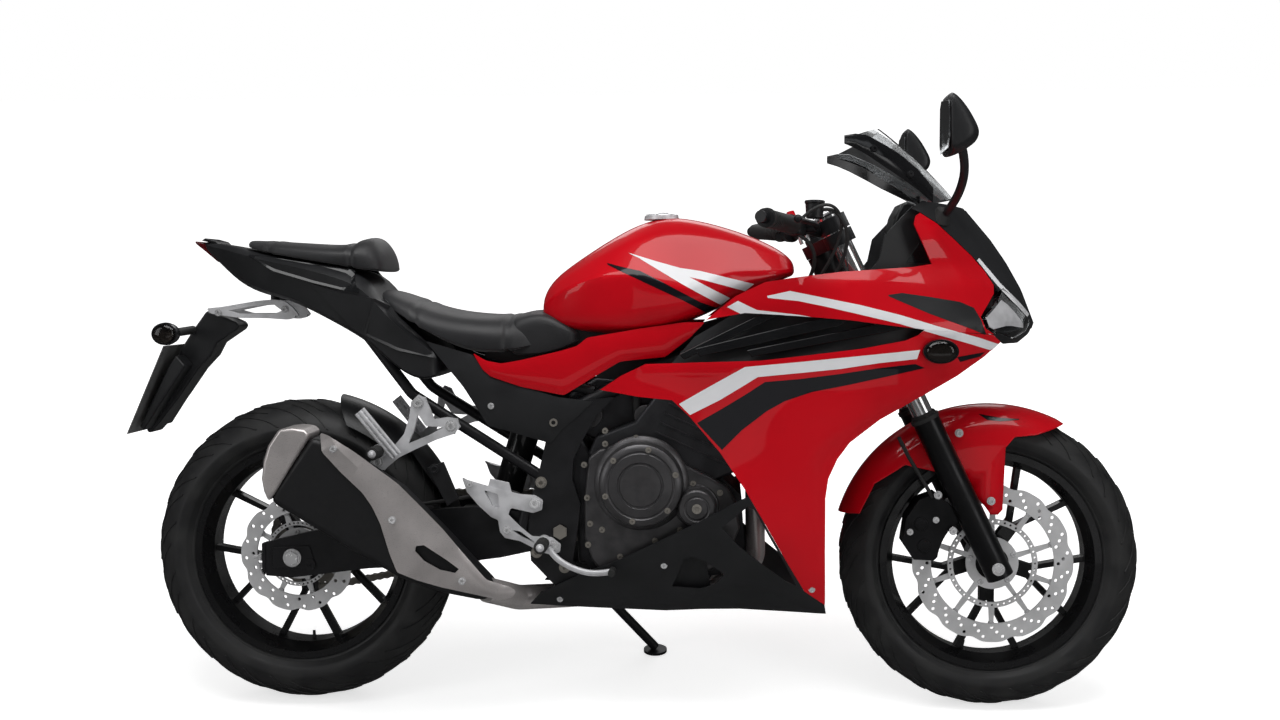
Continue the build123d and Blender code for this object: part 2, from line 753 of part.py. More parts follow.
with BuildPart() as belly_cowl:
    add(body_shell.part)
    span(belly_cowl_shares, body_half_width + overrun, mode=Mode.INTERSECT)
    slab(stand_notch_shares, -body_half_width, 0, mode=Mode.SUBTRACT)

# Windscreen and its side trims: arcs across the machine, as centre and side points
screen_thickness = 3.0
screen_shares = [
    ((0.8418, 0.9974), (0.7879, 0.9702), 0.8766),
    ((0.8972, 0.9413), (0.8589, 0.9243), 0.6723),
    ((0.9482, 0.8783), (0.9099, 0.8720), 0.3745),
]


def screen_section(row, inset):
    """Arc-shaped slice of the screen in the plane through its three points."""
    centre, side, half_share = row
    (centre_x, centre_z), (side_x, side_z) = place([centre, side])
    rise = Vector(centre_x - side_x, 0, centre_z - side_z)
    half = half_share * body_half_width - inset
    plane = Plane(origin=(side_x, 0, side_z), x_dir=(0, 1, 0), z_dir=Vector(0, 1, 0).cross(rise))
    with BuildSketch(plane) as face:
        with BuildLine():
            ThreePointArc((-half, 0), (0, rise.length), (half, 0))
            Line((half, 0), (half - screen_thickness, 0))
            ThreePointArc(
                (half - screen_thickness, 0), (0, rise.length - screen_thickness), (
                    -half + screen_thickness, 0,
                )
            )
            Line((-half + screen_thickness, 0), (-half, 0))
        make_face()
    return face.sketch


with BuildPart() as windscreen:
    loft([screen_section(row, 0) for row in screen_shares])

trim_shares = [
    (0.7794, 0.9021, 0.9651, 6.0),
    (0.8121, 0.8085, 0.9566, 14.0),
    (0.8589, 0.6740, 0.9243, 15.0),
    (0.9099, 0.3787, 0.8800, 9.0),
]
trim_thickness = 5.0
with BuildPart() as screen_trims:
    for hand in (-1, 1):
        slices = []
        for x_share, half_share, z_share, half_height in trim_shares:
            centre = point(x_share, hand * (half_share * body_half_width + trim_thickness), z_share)
            with BuildSketch(Plane(origin=centre, x_dir=(0, 1, 0), z_dir=(1, 0, 0)), mode=Mode.PRIVATE) as piece:
                Rectangle(trim_thickness, half_height * 2)
            slices.append(piece.sketch)
        loft(slices)
    add(windscreen.part, mode=Mode.SUBTRACT)

# Instrument panel between the screen and the fork
instrument_shares = [
    (0.8617, 0.8128), (0.8546, 0.8272), (0.8730, 0.8732), (0.8887, 0.8681), (0.9043, 0.8383),
    (0.9014, 0.8128),
]
instrument_half_width = 62.0
with BuildPart() as instrument_panel:
    span(instrument_shares, instrument_half_width)

# Mirrors on stalks
mirror_shares = [
    (0.9028, 1.0255), (0.9092, 1.0272), (0.9270, 1.0043), (0.9426, 0.9719), (0.9447, 0.9617),
    (0.9362, 0.9455), (0.9213, 0.9345), (0.9064, 0.9294),
]
mirror_near = 240.0
mirror_far = 372.0
stalk_radius = 9.0
stalk_shares = [(0.9235, 0.3855, 0.8454), (0.9355, 0.8085, 0.8885), (0.9298, 1.1149, 0.9498)]
with BuildPart() as mirrors:
    slab(mirror_shares, mirror_near, mirror_far)
    (x1, w1, z1), (x2, w2, z2), (x3, w3, z3) = stalk_shares
    rod(point(x1, -w1 * body_half_width, z1), point(x2, -w2 * body_half_width, z2), stalk_radius)
    rod(point(x2, -w2 * body_half_width, z2), point(x3, -w3 * body_half_width, z3), stalk_radius)
    with Locations(point(x2, -w2 * body_half_width, z2)):
        Sphere(stalk_radius)
    add(body_loft(-seat_gap, 0), mode=Mode.SUBTRACT)
    mirror(about=Plane.XZ)

# Fuel tank: sections across the machine, each listed from its top to its bottom
tank_shares = [
    (0.3610, [(0, 0.7438), (0.1447, 0.7387), (0.2638, 0.7200), (0.2468, 0.6962), (0.1872, 0.6860)]),
    (0.4007, [(0, 0.7728), (0.2468, 0.7643), (0.4426, 0.7285), (0.4170, 0.6860), (0.3234, 0.6596)]),
    (0.4574, [(0, 0.8170), (0.3319, 0.7983), (0.5702, 0.7353), (0.5362, 0.6860), (0.4426, 0.6502)]),
    (0.5213, [(0, 0.8528), (0.3745, 0.8323), (0.6468, 0.7421), (0.5872, 0.6936), (0.4766, 0.6604)]),
    (0.5851, [(0, 0.8468), (0.4170, 0.8272), (0.6723, 0.7540), (0.6043, 0.7106), (0.4766, 0.6774)]),
    (0.6489, [(0, 0.8247), (0.3489, 0.8111), (0.5277, 0.7574), (0.5021, 0.7336), (0.4255, 0.7132)]),
    (0.7021, [(0, 0.7949), (0.2979, 0.7864), (0.4255, 0.7643), (0.4085, 0.7523), (0.3404, 0.7421)]),
    (0.7241, [(0, 0.7643), (0.2128, 0.7626), (0.3234, 0.7600), (0.2979, 0.7566), (0.2383, 0.7540)]),
]


def across(rows):
    """Sections across the machine, each mirrored to a closed ring, for a loft along it."""
    faces = []
    for x_share, half_ring in rows:
        plane = Plane(origin=(rear_axle_x + x_share * wheelbase, 0, 0), x_dir=(0, 1, 0), z_dir=(1, 0, 0))
        ring = [(y * body_half_width, z * body_height) for y, z in half_ring]
        other = [(-y, z) for y, z in reversed(ring) if y != 0]
        with BuildSketch(plane, mode=Mode.PRIVATE) as face:
            with BuildLine():
                Polyline(*(ring + other), close=True)
            make_face()
        faces.append(face.sketch)
    return faces


with BuildPart() as fuel_tank:
    loft(across(tank_shares))
    cap_radius = 36.0
    cap_share, cap_foot_share, cap_top_share = 0.5284, 0.8340, 0.8579
    rod(point(cap_share, 0, cap_foot_share), point(cap_share, 0, cap_top_share), cap_radius)

# Seats
rider_seat_shares = [
    (
        0.1241,
        [(0, 0.7260), (0.2553, 0.7251), (0.3574, 0.7191), (0.3404, 0.7132), (0.2553, 0.7123), (0, 0.7123)]
    ),
    (
        0.1560,
        [(0, 0.7174), (0.3830, 0.7166), (0.5106, 0.6979), (0.4936, 0.6817), (0.4255, 0.6809), (0, 0.6809)]
    ),
    (
        0.2163,
        [(0, 0.6928), (0.4255, 0.6919), (0.5957, 0.6681), (0.5787, 0.6443), (0.4766, 0.6281), (0, 0.6281)]
    ),
    (
        0.2730,
        [(0, 0.6834), (0.4085, 0.6826), (0.5957, 0.6553), (0.5574, 0.6179), (0.4596, 0.6111), (0, 0.6111)]
    ),
    (
        0.3262,
        [(0, 0.6817), (0.3234, 0.6809), (0.5277, 0.6596), (0.5277, 0.6204), (0.4426, 0.6162), (0, 0.6162)]
    ),
    (
        0.3567,
        [(0, 0.6877), (0.2213, 0.6860), (0.4085, 0.6689), (0.4426, 0.6281), (0.3574, 0.6255), (0, 0.6255)]
    ),
]
with BuildPart() as rider_seat:
    loft(across(rider_seat_shares))

pillion_seat_shares = [
    (-0.0801, [(0, 0.8162), (0.1532, 0.8153), (0.1872, 0.8085), (0.1702, 0.8003), (0, 0.8003)]),
    (-0.0461, [(0, 0.8128), (0.2809, 0.8119), (0.3574, 0.8017), (0.3319, 0.7902), (0, 0.7902)]),
    (0.0248, [(0, 0.8077), (0.3915, 0.8068), (0.4766, 0.7949), (0.4511, 0.7770), (0, 0.7770)]),
    (0.0816, [(0, 0.8060), (0.4170, 0.8051), (0.5021, 0.7915), (0.4681, 0.7661), (0, 0.7661)]),
    (0.1099, [(0, 0.8187), (0.3574, 0.8153), (0.4766, 0.7915), (0.4426, 0.7587), (0, 0.7587)]),
    (0.1326, [(0, 0.7872), (0.2979, 0.7830), (0.3830, 0.7702), (0.3660, 0.7557), (0, 0.7557)]),
]
with BuildPart() as pillion_seat:
    loft(across(pillion_seat_shares))

# Tail cowl: open below, hollow over the seat rails
tail_shares = [
    (-0.1496, [(0, 0.8153), (0.1106, 0.8145), (0.1447, 0.8102), (0.1021, 0.8051), (0, 0.8034)]),
    (-0.0887, [(0, 0.8034), (0.2723, 0.8026), (0.3660, 0.7957), (0.2638, 0.7404), (0, 0.7370)]),
    (-0.0177, [(0, 0.7838), (0.3745, 0.7830), (0.5021, 0.7762), (0.4085, 0.7013), (0, 0.6979)]),
    (0.0532, [(0, 0.7728), (0.4426, 0.7711), (0.5702, 0.7600), (0.4766, 0.6655), (0, 0.6621)]),
    (0.1099, [(0, 0.7591), (0.4255, 0.7557), (0.5957, 0.7387), (0.5191, 0.6281), (0, 0.6247)]),
    (0.1667, [(0, 0.6791), (0.4426, 0.6774), (0.5872, 0.6553), (0.5277, 0.5719), (0, 0.5685)]),
    (0.2234, [(0, 0.6366), (0.4766, 0.6349), (0.6128, 0.6128), (0.5447, 0.5447), (0, 0.5413)]),
]
tail_cut_shares = [
    (-0.1631, 0.8255), (-0.1312, 0.8153), (-0.0872, 0.8085), (-0.0837, 0.7991), (-0.0504, 0.7898),
    (0.0135, 0.7779), (0.0716, 0.7660), (0.1128, 0.7540), (0.1312, 0.7098),
    (0.1603, 0.6723), (0.1943, 0.6383), (0.2291, 0.5957), (0.2021, 0.5685), (0.1738, 0.5685),
    (0.1525, 0.5872), (0.1199, 0.6230), (0.0887, 0.6400),
    (0.0738, 0.6604), (0.0312, 0.6826), (-0.0121, 0.7055), (-0.0440, 0.7098), (-0.0716, 0.7132),
    (-0.1021, 0.7183), (-0.1106, 0.7540), (-0.1255, 0.7770),
]


def inset_ring(ring):
    """Half section drawn in by the wall at its top and sides, and opened at its foot."""
    sides = [(max(y - wall / body_half_width, 0), z - wall / body_height) for y, z in ring[:-1]]
    return sides[:-1] + [
        (sides[-1][0], sides[-1][1] - wall * 3 / body_height), (0, ring[-1][1] - wall * 4 / body_height),
    ]


with BuildPart() as tail_cowl:
    loft(across(tail_shares), ruled=True)
    loft(across([(x, inset_ring(ring)) for x, ring in tail_shares[1:]]), ruled=True, mode=Mode.SUBTRACT)
    span(tail_cut_shares, body_half_width, mode=Mode.INTERSECT)

tail_light_half_width = 30.0
tail_light_shares = [
    (-0.1631, 0.8153), (-0.1525, 0.8136), (-0.1355, 0.8102), (-0.1184, 0.7881), (-0.1071, 0.7728),
    (-0.1241, 0.7711), (-0.1454, 0.7949),
]
with BuildPart() as tail_light:
    span(tail_light_shares, tail_light_half_width)
    add(tail_cowl.part, mode=Mode.SUBTRACT)

# Hanger for the plate and the rear indicators
hanger_shares = [
    (-0.1418, 0.6911), (-0.1113, 0.6766), (-0.0851, 0.6749), (-0.0972, 0.6596), (-0.1270, 0.6349),
    (-0.1369, 0.6128), (-0.1560, 0.5872), (-0.1844, 0.5396),
    (-0.2149, 0.4936), (-0.2333, 0.4706), (-0.2390, 0.4783), (-0.2234, 0.5447), (-0.1915, 0.5957),
    (-0.1773, 0.6298), (-0.1596, 0.6596),
]
hanger_arm_shares = [
    (-0.1383, 0.6953), (-0.0638, 0.7081), (-0.0213, 0.7081), (-0.0007, 0.6834), (-0.0177, 0.6740),
    (-0.0901, 0.6774), (-0.1326, 0.6860),
]
hanger_half_width = 34.0
hanger_arm_half_width = 46.0
with BuildPart() as plate_hanger:
    span(hanger_shares, hanger_half_width)
    span(hanger_arm_shares, hanger_arm_half_width)
    lamp_arm_share, lamp_arm_height_share = -0.1681, 0.6536
    rod(
        point(lamp_arm_share, -hanger_arm_half_width * 3, lamp_arm_height_share),
        point(lamp_arm_share, hanger_arm_half_width * 3, lamp_arm_height_share),
        wall * 2,
    )

plate_shares = [(-0.1858, 0.6315), (-0.1894, 0.6315), (-0.2461, 0.4783), (-0.2426, 0.4766)]
plate_half_width = 100.0
with BuildPart() as number_plate:
    span(plate_shares, plate_half_width)
    add(plate_hanger.part, mode=Mode.SUBTRACT)

# Indicators: pods on short stems, rear and front
indicator_radius = 21.0
indicator_length = 30.0
rear_indicator_shares = (-0.1681, 0.6536)
front_indicator_shares = (0.9099, 0.6238)
front_indicator_share = 0.8340
with BuildPart() as indicators:
    for hand in (-1, 1):
        near = hand * (hanger_arm_half_width * 3 + seat_gap)
        rear_x, rear_z = rear_indicator_shares
        rod(
            point(rear_x, near, rear_z), point(rear_x, near + hand * indicator_length, rear_z),
            indicator_radius,
        )
        front_x, front_z = front_indicator_shares
        near = hand * (front_indicator_share * body_half_width)
        rod(
            point(front_x, near, front_z), point(front_x, near + hand * indicator_length, front_z),
            indicator_radius,
        )
    add(side_fairings.part, mode=Mode.SUBTRACT)

# Main frame: head tube, rails, pivot plates and seat rails
rail_radius = 16.0
strut_radius = 11.0
pivot_x_share, pivot_z_share = (0.3879, 0.3166)
plate_inner = 121.0
plate_outer = 133.0
pivot_plate_shares = [
    (0.3511, 0.5319), (0.4645, 0.5447), (0.4404, 0.5140), (0.4199, 0.4723), (0.4064, 0.4383),
    (0.4050, 0.4043), (0.4163, 0.3617), (0.4121, 0.3183),
    (0.4050, 0.2672), (0.4149, 0.2332), (0.4007, 0.2162), (0.3865, 0.2153), (0.3454, 0.2664),
    (0.3426, 0.3234), (0.3454, 0.3694), (0.3582, 0.4204),
    (0.3681, 0.4715), (0.3525, 0.5021),
]
rail_shares = [
    (0.7950, 26.0, 0.7013), (0.7128, 92.0, 0.6723), (0.5426, 113.0, 0.6043), (0.4007, 114.0, 0.5209),
]
lower_rail_shares = [
    (0.8071, 26.0, 0.6655), (0.7411, 90.0, 0.6145), (0.6206, 112.0, 0.6060), (0.5567, 113.0, 0.6145),
]
seat_rail_shares = [
    (0.4362, 116.0, 0.5549), (0.2447, 104.0, 0.6000), (0.0816, 80.0, 0.6996), (-0.0603, 44.0, 0.7489),
]
seat_strut_shares = [(0.3617, 113.0, 0.4068), (0.1738, 102.0, 0.5481), (0.0816, 80.0, 0.6877)]
stay_shares = (0.9326, 0.7336)
stay_half_width = 139.9
stay_radius = 9.0
bar_stay_radius = 7.0
post_radius = 6.0

# Side stand hinge below the left pivot plate
stand_pivot_share, stand_pivot_y, stand_pivot_height_share = 0.3993, 126.0, 0.1940
stand_pivot = Vector(*point(stand_pivot_share, stand_pivot_y, stand_pivot_height_share))
stand_tilt = radians(30)
stand_axis = Vector(0, cos(stand_tilt), sin(stand_tilt))
stand_lug_half = 7.0
stand_lug_radius = 15.0
stand_ring_length = 22.0
stand_pin_radius = 5.0
stand_lug_shares = [(0.3851, 0.2230), (0.4177, 0.2349), (0.4106, 0.1923), (0.3887, 0.1889)]

hanger_post_shares = (-0.0390, 30.0, 0.7081)
instrument_post_shares = (0.8830, 0.7209, 0.8128)
tank_post_shares = (0.7695, 0.7028, 0.7344)
seat_bar_shares = [(-0.0461, 48.0, 0.7455), (0.0816, 80.0, 0.6962)]
pivot_bar_shares = (0.3723, 0.5021)

with BuildPart() as main_frame:
    rod(
        on_fork(-fork_offset, 0, lower_yoke_height + yoke_thickness + wheel_gap),
        on_fork(-fork_offset, 0, top_yoke_height - wheel_gap),
        head_tube_radius,
    )
    slab(pivot_plate_shares, plate_inner, plate_outer)
    slab(pivot_plate_shares, -plate_outer, -plate_inner)
    for hand in (-1, 1):
        for rows, radius in (
            (rail_shares, rail_radius),
            (lower_rail_shares, rail_radius),
            (seat_rail_shares, strut_radius),
            (seat_strut_shares, strut_radius),
        ):
            points = [point(x, hand * y, z) for x, y, z in rows]
            tube(points, [radius * 4] * (len(points) - 2), radius)
    for bar_x, bar_half, bar_z in seat_bar_shares:
        rod(point(bar_x, -bar_half, bar_z), point(bar_x, bar_half, bar_z), strut_radius)
    for hand in (-1, 1):
        hanger_x, hanger_y, hanger_top = hanger_post_shares
        post = point(hanger_x, hand * hanger_y, hanger_top)
        rod(
            post + Vector(0, 0, seat_gap), point(hanger_x, hand * hanger_y, seat_bar_shares[0][2]),
            stay_radius,
        )
    tray_x, tray_foot_z, tray_z = instrument_post_shares
    rod(point(tray_x, 0, tray_foot_z), point(tray_x, 0, tray_z) - Vector(0, 0, seat_gap), post_radius)
    post_front_x, post_end_x, tank_post_z = tank_post_shares
    rod(point(post_front_x, 0, tank_post_z), point(post_end_x, 0, tank_post_z), stay_radius)
    bar_x, bar_z = pivot_bar_shares
    rod(point(bar_x, -plate_inner, bar_z), point(bar_x, plate_inner, bar_z), rail_radius)
    pivot_bolt = point(pivot_x_share, -plate_outer - wall, pivot_z_share)
    rod(pivot_bolt, point(pivot_x_share, plate_outer + wall, pivot_z_share), axle_radius)
    stay_root = on_fork(-fork_offset + head_tube_radius / 2, 0, (lower_yoke_height + top_yoke_height) / 2)
    rod(stay_root, point(stay_shares[0], 0, stay_shares[1]), stay_radius)
    rod(
        point(stay_shares[0], -stay_half_width, stay_shares[1]),
        point(stay_shares[0], stay_half_width, stay_shares[1]),
        bar_stay_radius,
    )
    slab(stand_lug_shares, -plate_outer, -plate_inner + stand_lug_half * 2)
    rod(
        stand_pivot + stand_axis * stand_lug_half,
        stand_pivot + stand_axis * (stand_lug_half + overrun),
        stand_lug_radius + wall,
        mode=Mode.SUBTRACT,
    )
    rod(
        stand_pivot - stand_axis * stand_lug_half,
        stand_pivot + stand_axis * stand_lug_half,
        stand_lug_radius,
    )
    rod(
        stand_pivot,
        stand_pivot + stand_axis * (stand_lug_half + wheel_gap + stand_ring_length),
        stand_pin_radius,
    )
    rod(
        on_fork(-fork_offset, 0, lower_yoke_height),
        on_fork(-fork_offset, 0, top_yoke_height),
        stem_radius + running_fit,
        mode=Mode.SUBTRACT,
    )

# Swingarm with its rear axle
arm_inner = 105.0
arm_outer = 119.0
arm_pivot_radius = 26.0
arm_shares = [
    (0.3794, 0.3421), (0.4078, 0.3336), (0.4092, 0.2996), (0.3794, 0.2894), (0.3014, 0.2689),
    (0.2149, 0.2553), (0.1099, 0.2485), (-0.0028, 0.2315),
    (-0.0390, 0.2349), (-0.0418, 0.2919), (0.0128, 0.3081), (0.1000, 0.3302), (0.1865, 0.3506),
    (0.2660, 0.3557),
]
arm_bridge_shares = [
    (0.3440, 0.3404), (0.3440, 0.2936), (0.2660, 0.2851), (0.2343, 0.2979), (0.2287, 0.3362),
]
spool_radius = 4.0
spool_depth = 14.0
spool_boss_radius = 12.0
spool_shares = (0.0248, 0.2553)
with BuildPart() as swingarm:
    slab(arm_shares, arm_inner, arm_outer)
    slab(arm_shares, -arm_outer, -arm_inner)
    bridge_half = chain_y - chain_width / 2 - wall * 2
    span(arm_bridge_shares, bridge_half)
    slab(
        [arm_bridge_shares[0], arm_bridge_shares[1], arm_bridge_shares[2], (0.2660, 0.3404)], 0,
        arm_inner,
    )
    rod(
        point(pivot_x_share, -arm_outer, pivot_z_share), point(pivot_x_share, arm_outer, pivot_z_share),
        arm_pivot_radius,
    )
    rod(
        point(pivot_x_share, -arm_outer - overrun, pivot_z_share),
        point(pivot_x_share, arm_outer + overrun, pivot_z_share),
        axle_radius + running_fit,
        mode=Mode.SUBTRACT,
    )
    rod(
        (rear_axle_x, -arm_outer - wall * 2, rear_axle_z),
        (rear_axle_x, arm_outer + wall * 2, rear_axle_z),
        axle_radius,
    )
    for side, hub in ((-1, rear_hub_right), (1, chain_y + sprocket_thickness / 2)):
        rod(
            (rear_axle_x, side * (hub + wheel_gap), rear_axle_z),
            (rear_axle_x, side * arm_inner, rear_axle_z),
            axle_radius * 1.6,
        )
    for side in (-1, 1):
        spool_x, spool_z = spool_shares
        rod(
            point(spool_x, side * arm_inner, spool_z), point(spool_x, side * (arm_outer + wall), spool_z),
            spool_boss_radius,
        )
        rod(
            point(spool_x, side * (arm_outer + wall - spool_depth), spool_z),
            point(spool_x, side * (arm_outer + wall), spool_z),
            spool_radius,
            mode=Mode.SUBTRACT,
        )

# Rear caliper over the disc
rear_caliper_shares = [
    (0.0603, 0.3447), (0.0922, 0.3277), (0.0993, 0.2936), (0.0816, 0.2809), (0.0532, 0.2979),
    (0.0447, 0.3234),
]
with BuildPart() as rear_caliper:
    slab(rear_caliper_shares, -rear_disc_y - caliper_half_width / 1.5, arm_inner)
    with BuildSketch(
        Plane(origin=(rear_axle_x, rear_disc_y, rear_axle_z), x_dir=(1, 0, 0), z_dir=(0, -1, 0))
    ):
        Circle(rear_disc_radius + wall * 2)
    extrude(amount=caliper_slot / 2, both=True, mode=Mode.SUBTRACT)

# Rear shock between the frame and the swingarm
shock_radius = 30.0
shock_shares = [(0.2929, 0.3438), (0.3333, 0.5021)]
with BuildPart() as rear_shock:
    (x1, z1), (x2, z2) = shock_shares
    rod(point(x1, 0, z1), point(x2, 0, z2), shock_radius)
    add(swingarm.part, mode=Mode.SUBTRACT)

# Hugger over the rear tyre
hugger_gap = 16.0
hugger_half_width = 86.0
hugger_shares = [
    (0.2660, 0.2809), (0.2447, 0.4766), (0.1809, 0.5106), (0.0816, 0.5447), (0.0532, 0.5447),
    (0.0816, 0.4766), (0.1667, 0.4426), (0.2149, 0.3574), (0.2149, 0.3404),
]
with BuildPart() as rear_hugger:
    inner = rear_tyre_radius + hugger_gap
    with BuildSketch(Plane(origin=rear_centre, x_dir=(0, 1, 0), z_dir=(1, 0, 0))):
        with BuildLine():
            ThreePointArc(
                (-hugger_half_width, inner - hugger_half_width / 2), (0, inner + wall),
                (hugger_half_width, inner - hugger_half_width / 2),
            )
            Line(
                (hugger_half_width, inner - hugger_half_width / 2),
                (hugger_half_width - wall, inner - hugger_half_width / 2),
            )
            ThreePointArc(
                (hugger_half_width - wall, inner - hugger_half_width / 2), (0, inner), (
                    wall - hugger_half_width, inner - hugger_half_width / 2,
                )
            )
            Line(
                (wall - hugger_half_width, inner - hugger_half_width / 2),
                (-hugger_half_width, inner - hugger_half_width / 2),
            )
        make_face()
    revolve(axis=Axis(rear_centre, (0, 1, 0)))
    span(hugger_shares, hugger_half_width + overrun, mode=Mode.INTERSECT)
    add(swingarm.part, mode=Mode.SUBTRACT)

# Engine: crankcase, cylinders leaning forward and head
case_half_width = 104.0
cylinder_half_width = 92.0
case_shares = [
    (0.4135, 0.4255), (0.4574, 0.4426), (0.5213, 0.4426), (0.5993, 0.4255), (0.6433, 0.3745),
    (0.6475, 0.2894), (0.6135, 0.2400), (0.5213, 0.2281), (0.4362, 0.2349), (0.4191, 0.2638),
]
cylinder_shares = [
    (0.5071, 0.4409), (0.5383, 0.5447), (0.5567, 0.5872), (0.6064, 0.5872), (0.6645, 0.5447),
    (0.6688, 0.5021), (0.6135, 0.4085),
]
sprocket_pocket_shares = [
    (0.4007, 0.2689), (0.4007, 0.3796), (0.4858, 0.3796), (0.5113, 0.3404), (0.5071, 0.2894),
    (0.4787, 0.2689),
]
sprocket_boss_radius = 24.0
with BuildPart() as engine:
    span(case_shares, case_half_width)
    span(cylinder_shares, cylinder_half_width)
    pocket_near = chain_y - chain_width / 2 - wall
    slab(sprocket_pocket_shares, -case_half_width - overrun, -pocket_near, mode=Mode.SUBTRACT)
    make_sprocket(front_sprocket_x, front_sprocket_z, front_sprocket_radius, axle_radius)
    rod(
        (front_sprocket_x, pocket_near - wall, front_sprocket_z),
        (front_sprocket_x, chain_y + chain_width / 2, front_sprocket_z), sprocket_boss_radius,
    )

cover_rows = [
    (0.5028, 0.4000, 84.0, 46.0),
    (0.5809, 0.3609, 42.0, 38.0),
]
cover_shares = [
    (0.4277, 0.4426), (0.4645, 0.4638), (0.5213, 0.4664), (0.5674, 0.4298), (0.6241, 0.3932),
    (0.6404, 0.3234), (0.6064, 0.2553), (0.5213, 0.2230), (0.4504, 0.2383), (0.4220, 0.3064),
]
cover_depth = 34.0
with BuildPart() as engine_covers:
    slab(cover_shares, case_half_width + seat_gap, case_half_width + cover_depth)
    slab(cover_shares, -case_half_width - cover_depth, -case_half_width - seat_gap)
    for x_share, z_share, radius, reach in cover_rows:
        for hand in (-1, 1):
            rod(
                point(x_share, hand * (case_half_width + cover_depth / 2), z_share),
                point(x_share, hand * (case_half_width + cover_depth + reach), z_share),
                radius,
            )

# Airbox between the tank and the cylinders
airbox_shares = [
    (0.4362, 0.6340), (0.5213, 0.6451), (0.6064, 0.6723), (0.6915, 0.7191), (0.7128, 0.6553),
    (0.6915, 0.5957), (0.5213, 0.5957), (0.4362, 0.5617),
]
airbox_half_width = 75.5
with BuildPart() as airbox:
    span(airbox_shares, airbox_half_width)
    add(engine.part, mode=Mode.SUBTRACT)

# Radiator ahead of the cylinders
radiator_shares = [(0.6844, 0.3234), (0.7043, 0.3166), (0.7284, 0.5447), (0.7085, 0.5515)]
radiator_half_width = 148.0
radiator_post_shares = (0.7163, 0.5447, 0.6145)
with BuildPart() as radiator:
    span(radiator_shares, radiator_half_width)
    post_x, post_foot, post_top = radiator_post_shares
    for hand in (-1, 1):
        (start_x, start_y, start_z), (end_x, end_y, end_z) = lower_rail_shares[1:3]
        post_y = start_y + (end_y - start_y) * (post_x - start_x) / (end_x - start_x)
        rod(point(post_x, hand * post_y, post_foot), point(post_x, hand * post_y, post_top), stay_radius)
        rod(
            point(start_x, hand * start_y, start_z),
            point(end_x, hand * end_y, end_z),
            rail_radius + seat_gap,
            mode=Mode.SUBTRACT,
        )

# Exhaust: two downpipes, a collector under the engine and the silencer
pipe_radius = 19.0
collector_radius = 25.0
collector_half_spacing = 16.0
header_shares = [
    (0.6560, 0.5260), (0.6823, 0.4919), (0.6638, 0.3660), (0.6645, 0.2553), (0.5993, 0.2009),
    (0.4929, 0.1940),
]
collector_shares = [
    (0.4957, 0.0, 0.1940), (0.3936, -30.0, 0.1889), (0.3241, -94.0, 0.1957), (0.2872, -172.0, 0.2230),
]
with BuildPart() as exhaust_headers:
    for hand in (-1, 1):
        points = [point(x, hand * 46.0, z) for x, z in header_shares]
        tube(
            points[:-1] + [
                point(header_shares[-1][0], hand * collector_half_spacing, header_shares[-1][1]),
            ],
            [pipe_radius * 2] * (len(points) - 2), pipe_radius,
        )
    points = [point(*row) for row in collector_shares]
    tube(points, [collector_radius * 1.5] * (len(points) - 2), collector_radius)
    add(engine.part, mode=Mode.SUBTRACT)

muffler_shares = [
    (0.0482, 0.4860), (0.0652, 0.4766), (0.1702, 0.3966), (0.2305, 0.3234), (0.2887, 0.2485),
    (0.3099, 0.2230), (0.2872, 0.2094), (0.2305, 0.2230), (0.1681, 0.2485),
    (0.0957, 0.2979), (-0.0116, 0.3745),
]
muffler_inner = 132.0
muffler_outer = 222.0
with BuildPart() as muffler:
    slab(muffler_shares, muffler_inner, muffler_outer)
    add(exhaust_headers.part, mode=Mode.SUBTRACT)

muffler_tip_shares = [
    (0.0050, 0.4987), (0.0418, 0.4970), (0.0482, 0.4868), (-0.0121, 0.3745), (-0.0220, 0.4000),
    (-0.0177, 0.4426),
]
muffler_shield_shares = [
    (0.0631, 0.4911), (0.0745, 0.4868), (0.1702, 0.4077), (0.2312, 0.3336), (0.2922, 0.2468),
    (0.3333, 0.2349), (0.3199, 0.2145), (0.2851, 0.2230),
    (0.2305, 0.2349), (0.1681, 0.2596), (0.1454, 0.3404), (0.1213, 0.3915), (0.0652, 0.4596),
]
shield_thickness = 4.0
with BuildPart() as muffler_covers:
    slab(muffler_tip_shares, muffler_inner, muffler_outer + wall)
    slab(muffler_shield_shares, muffler_outer + seat_gap, muffler_outer + seat_gap + shield_thickness)

# Side panels under the tank and covers over the frame
side_panel_shares = [
    (0.2660, 0.6196), (0.2844, 0.6068), (0.3057, 0.6017), (0.3340, 0.6077), (0.3901, 0.6230),
    (0.4135, 0.6315), (0.4270, 0.6451), (0.5021, 0.6604),
    (0.5631, 0.6706), (0.5922, 0.6706), (0.5716, 0.6451), (0.5369, 0.6128), (0.4738, 0.6051),
    (0.4362, 0.5787), (0.3943, 0.5481), (0.3333, 0.5626), (0.2915, 0.5796),
    (0.2801, 0.5906),
]
side_panel_inner = 135.0
side_panel_outer = 142.0
with BuildPart() as side_panels:
    slab(side_panel_shares, side_panel_inner, side_panel_outer)
    mirror(about=Plane.XZ)

frame_cover_shares = [
    (0.1986, 0.6400), (0.2660, 0.6162), (0.2915, 0.5770), (0.3865, 0.5447), (0.4362, 0.5379),
    (0.4149, 0.5140), (0.3901, 0.4885), (0.3752, 0.4664),
    (0.3546, 0.4732), (0.3085, 0.4894), (0.2858, 0.4962), (0.2745, 0.5191), (0.2518, 0.5617),
    (0.2404, 0.5787),
]
frame_cover_inner = 133.3
frame_cover_outer = 139.0
with BuildPart() as frame_covers:
    slab(frame_cover_shares, frame_cover_inner, frame_cover_outer)
    mirror(about=Plane.XZ)
    add(side_panels.part, mode=Mode.SUBTRACT)

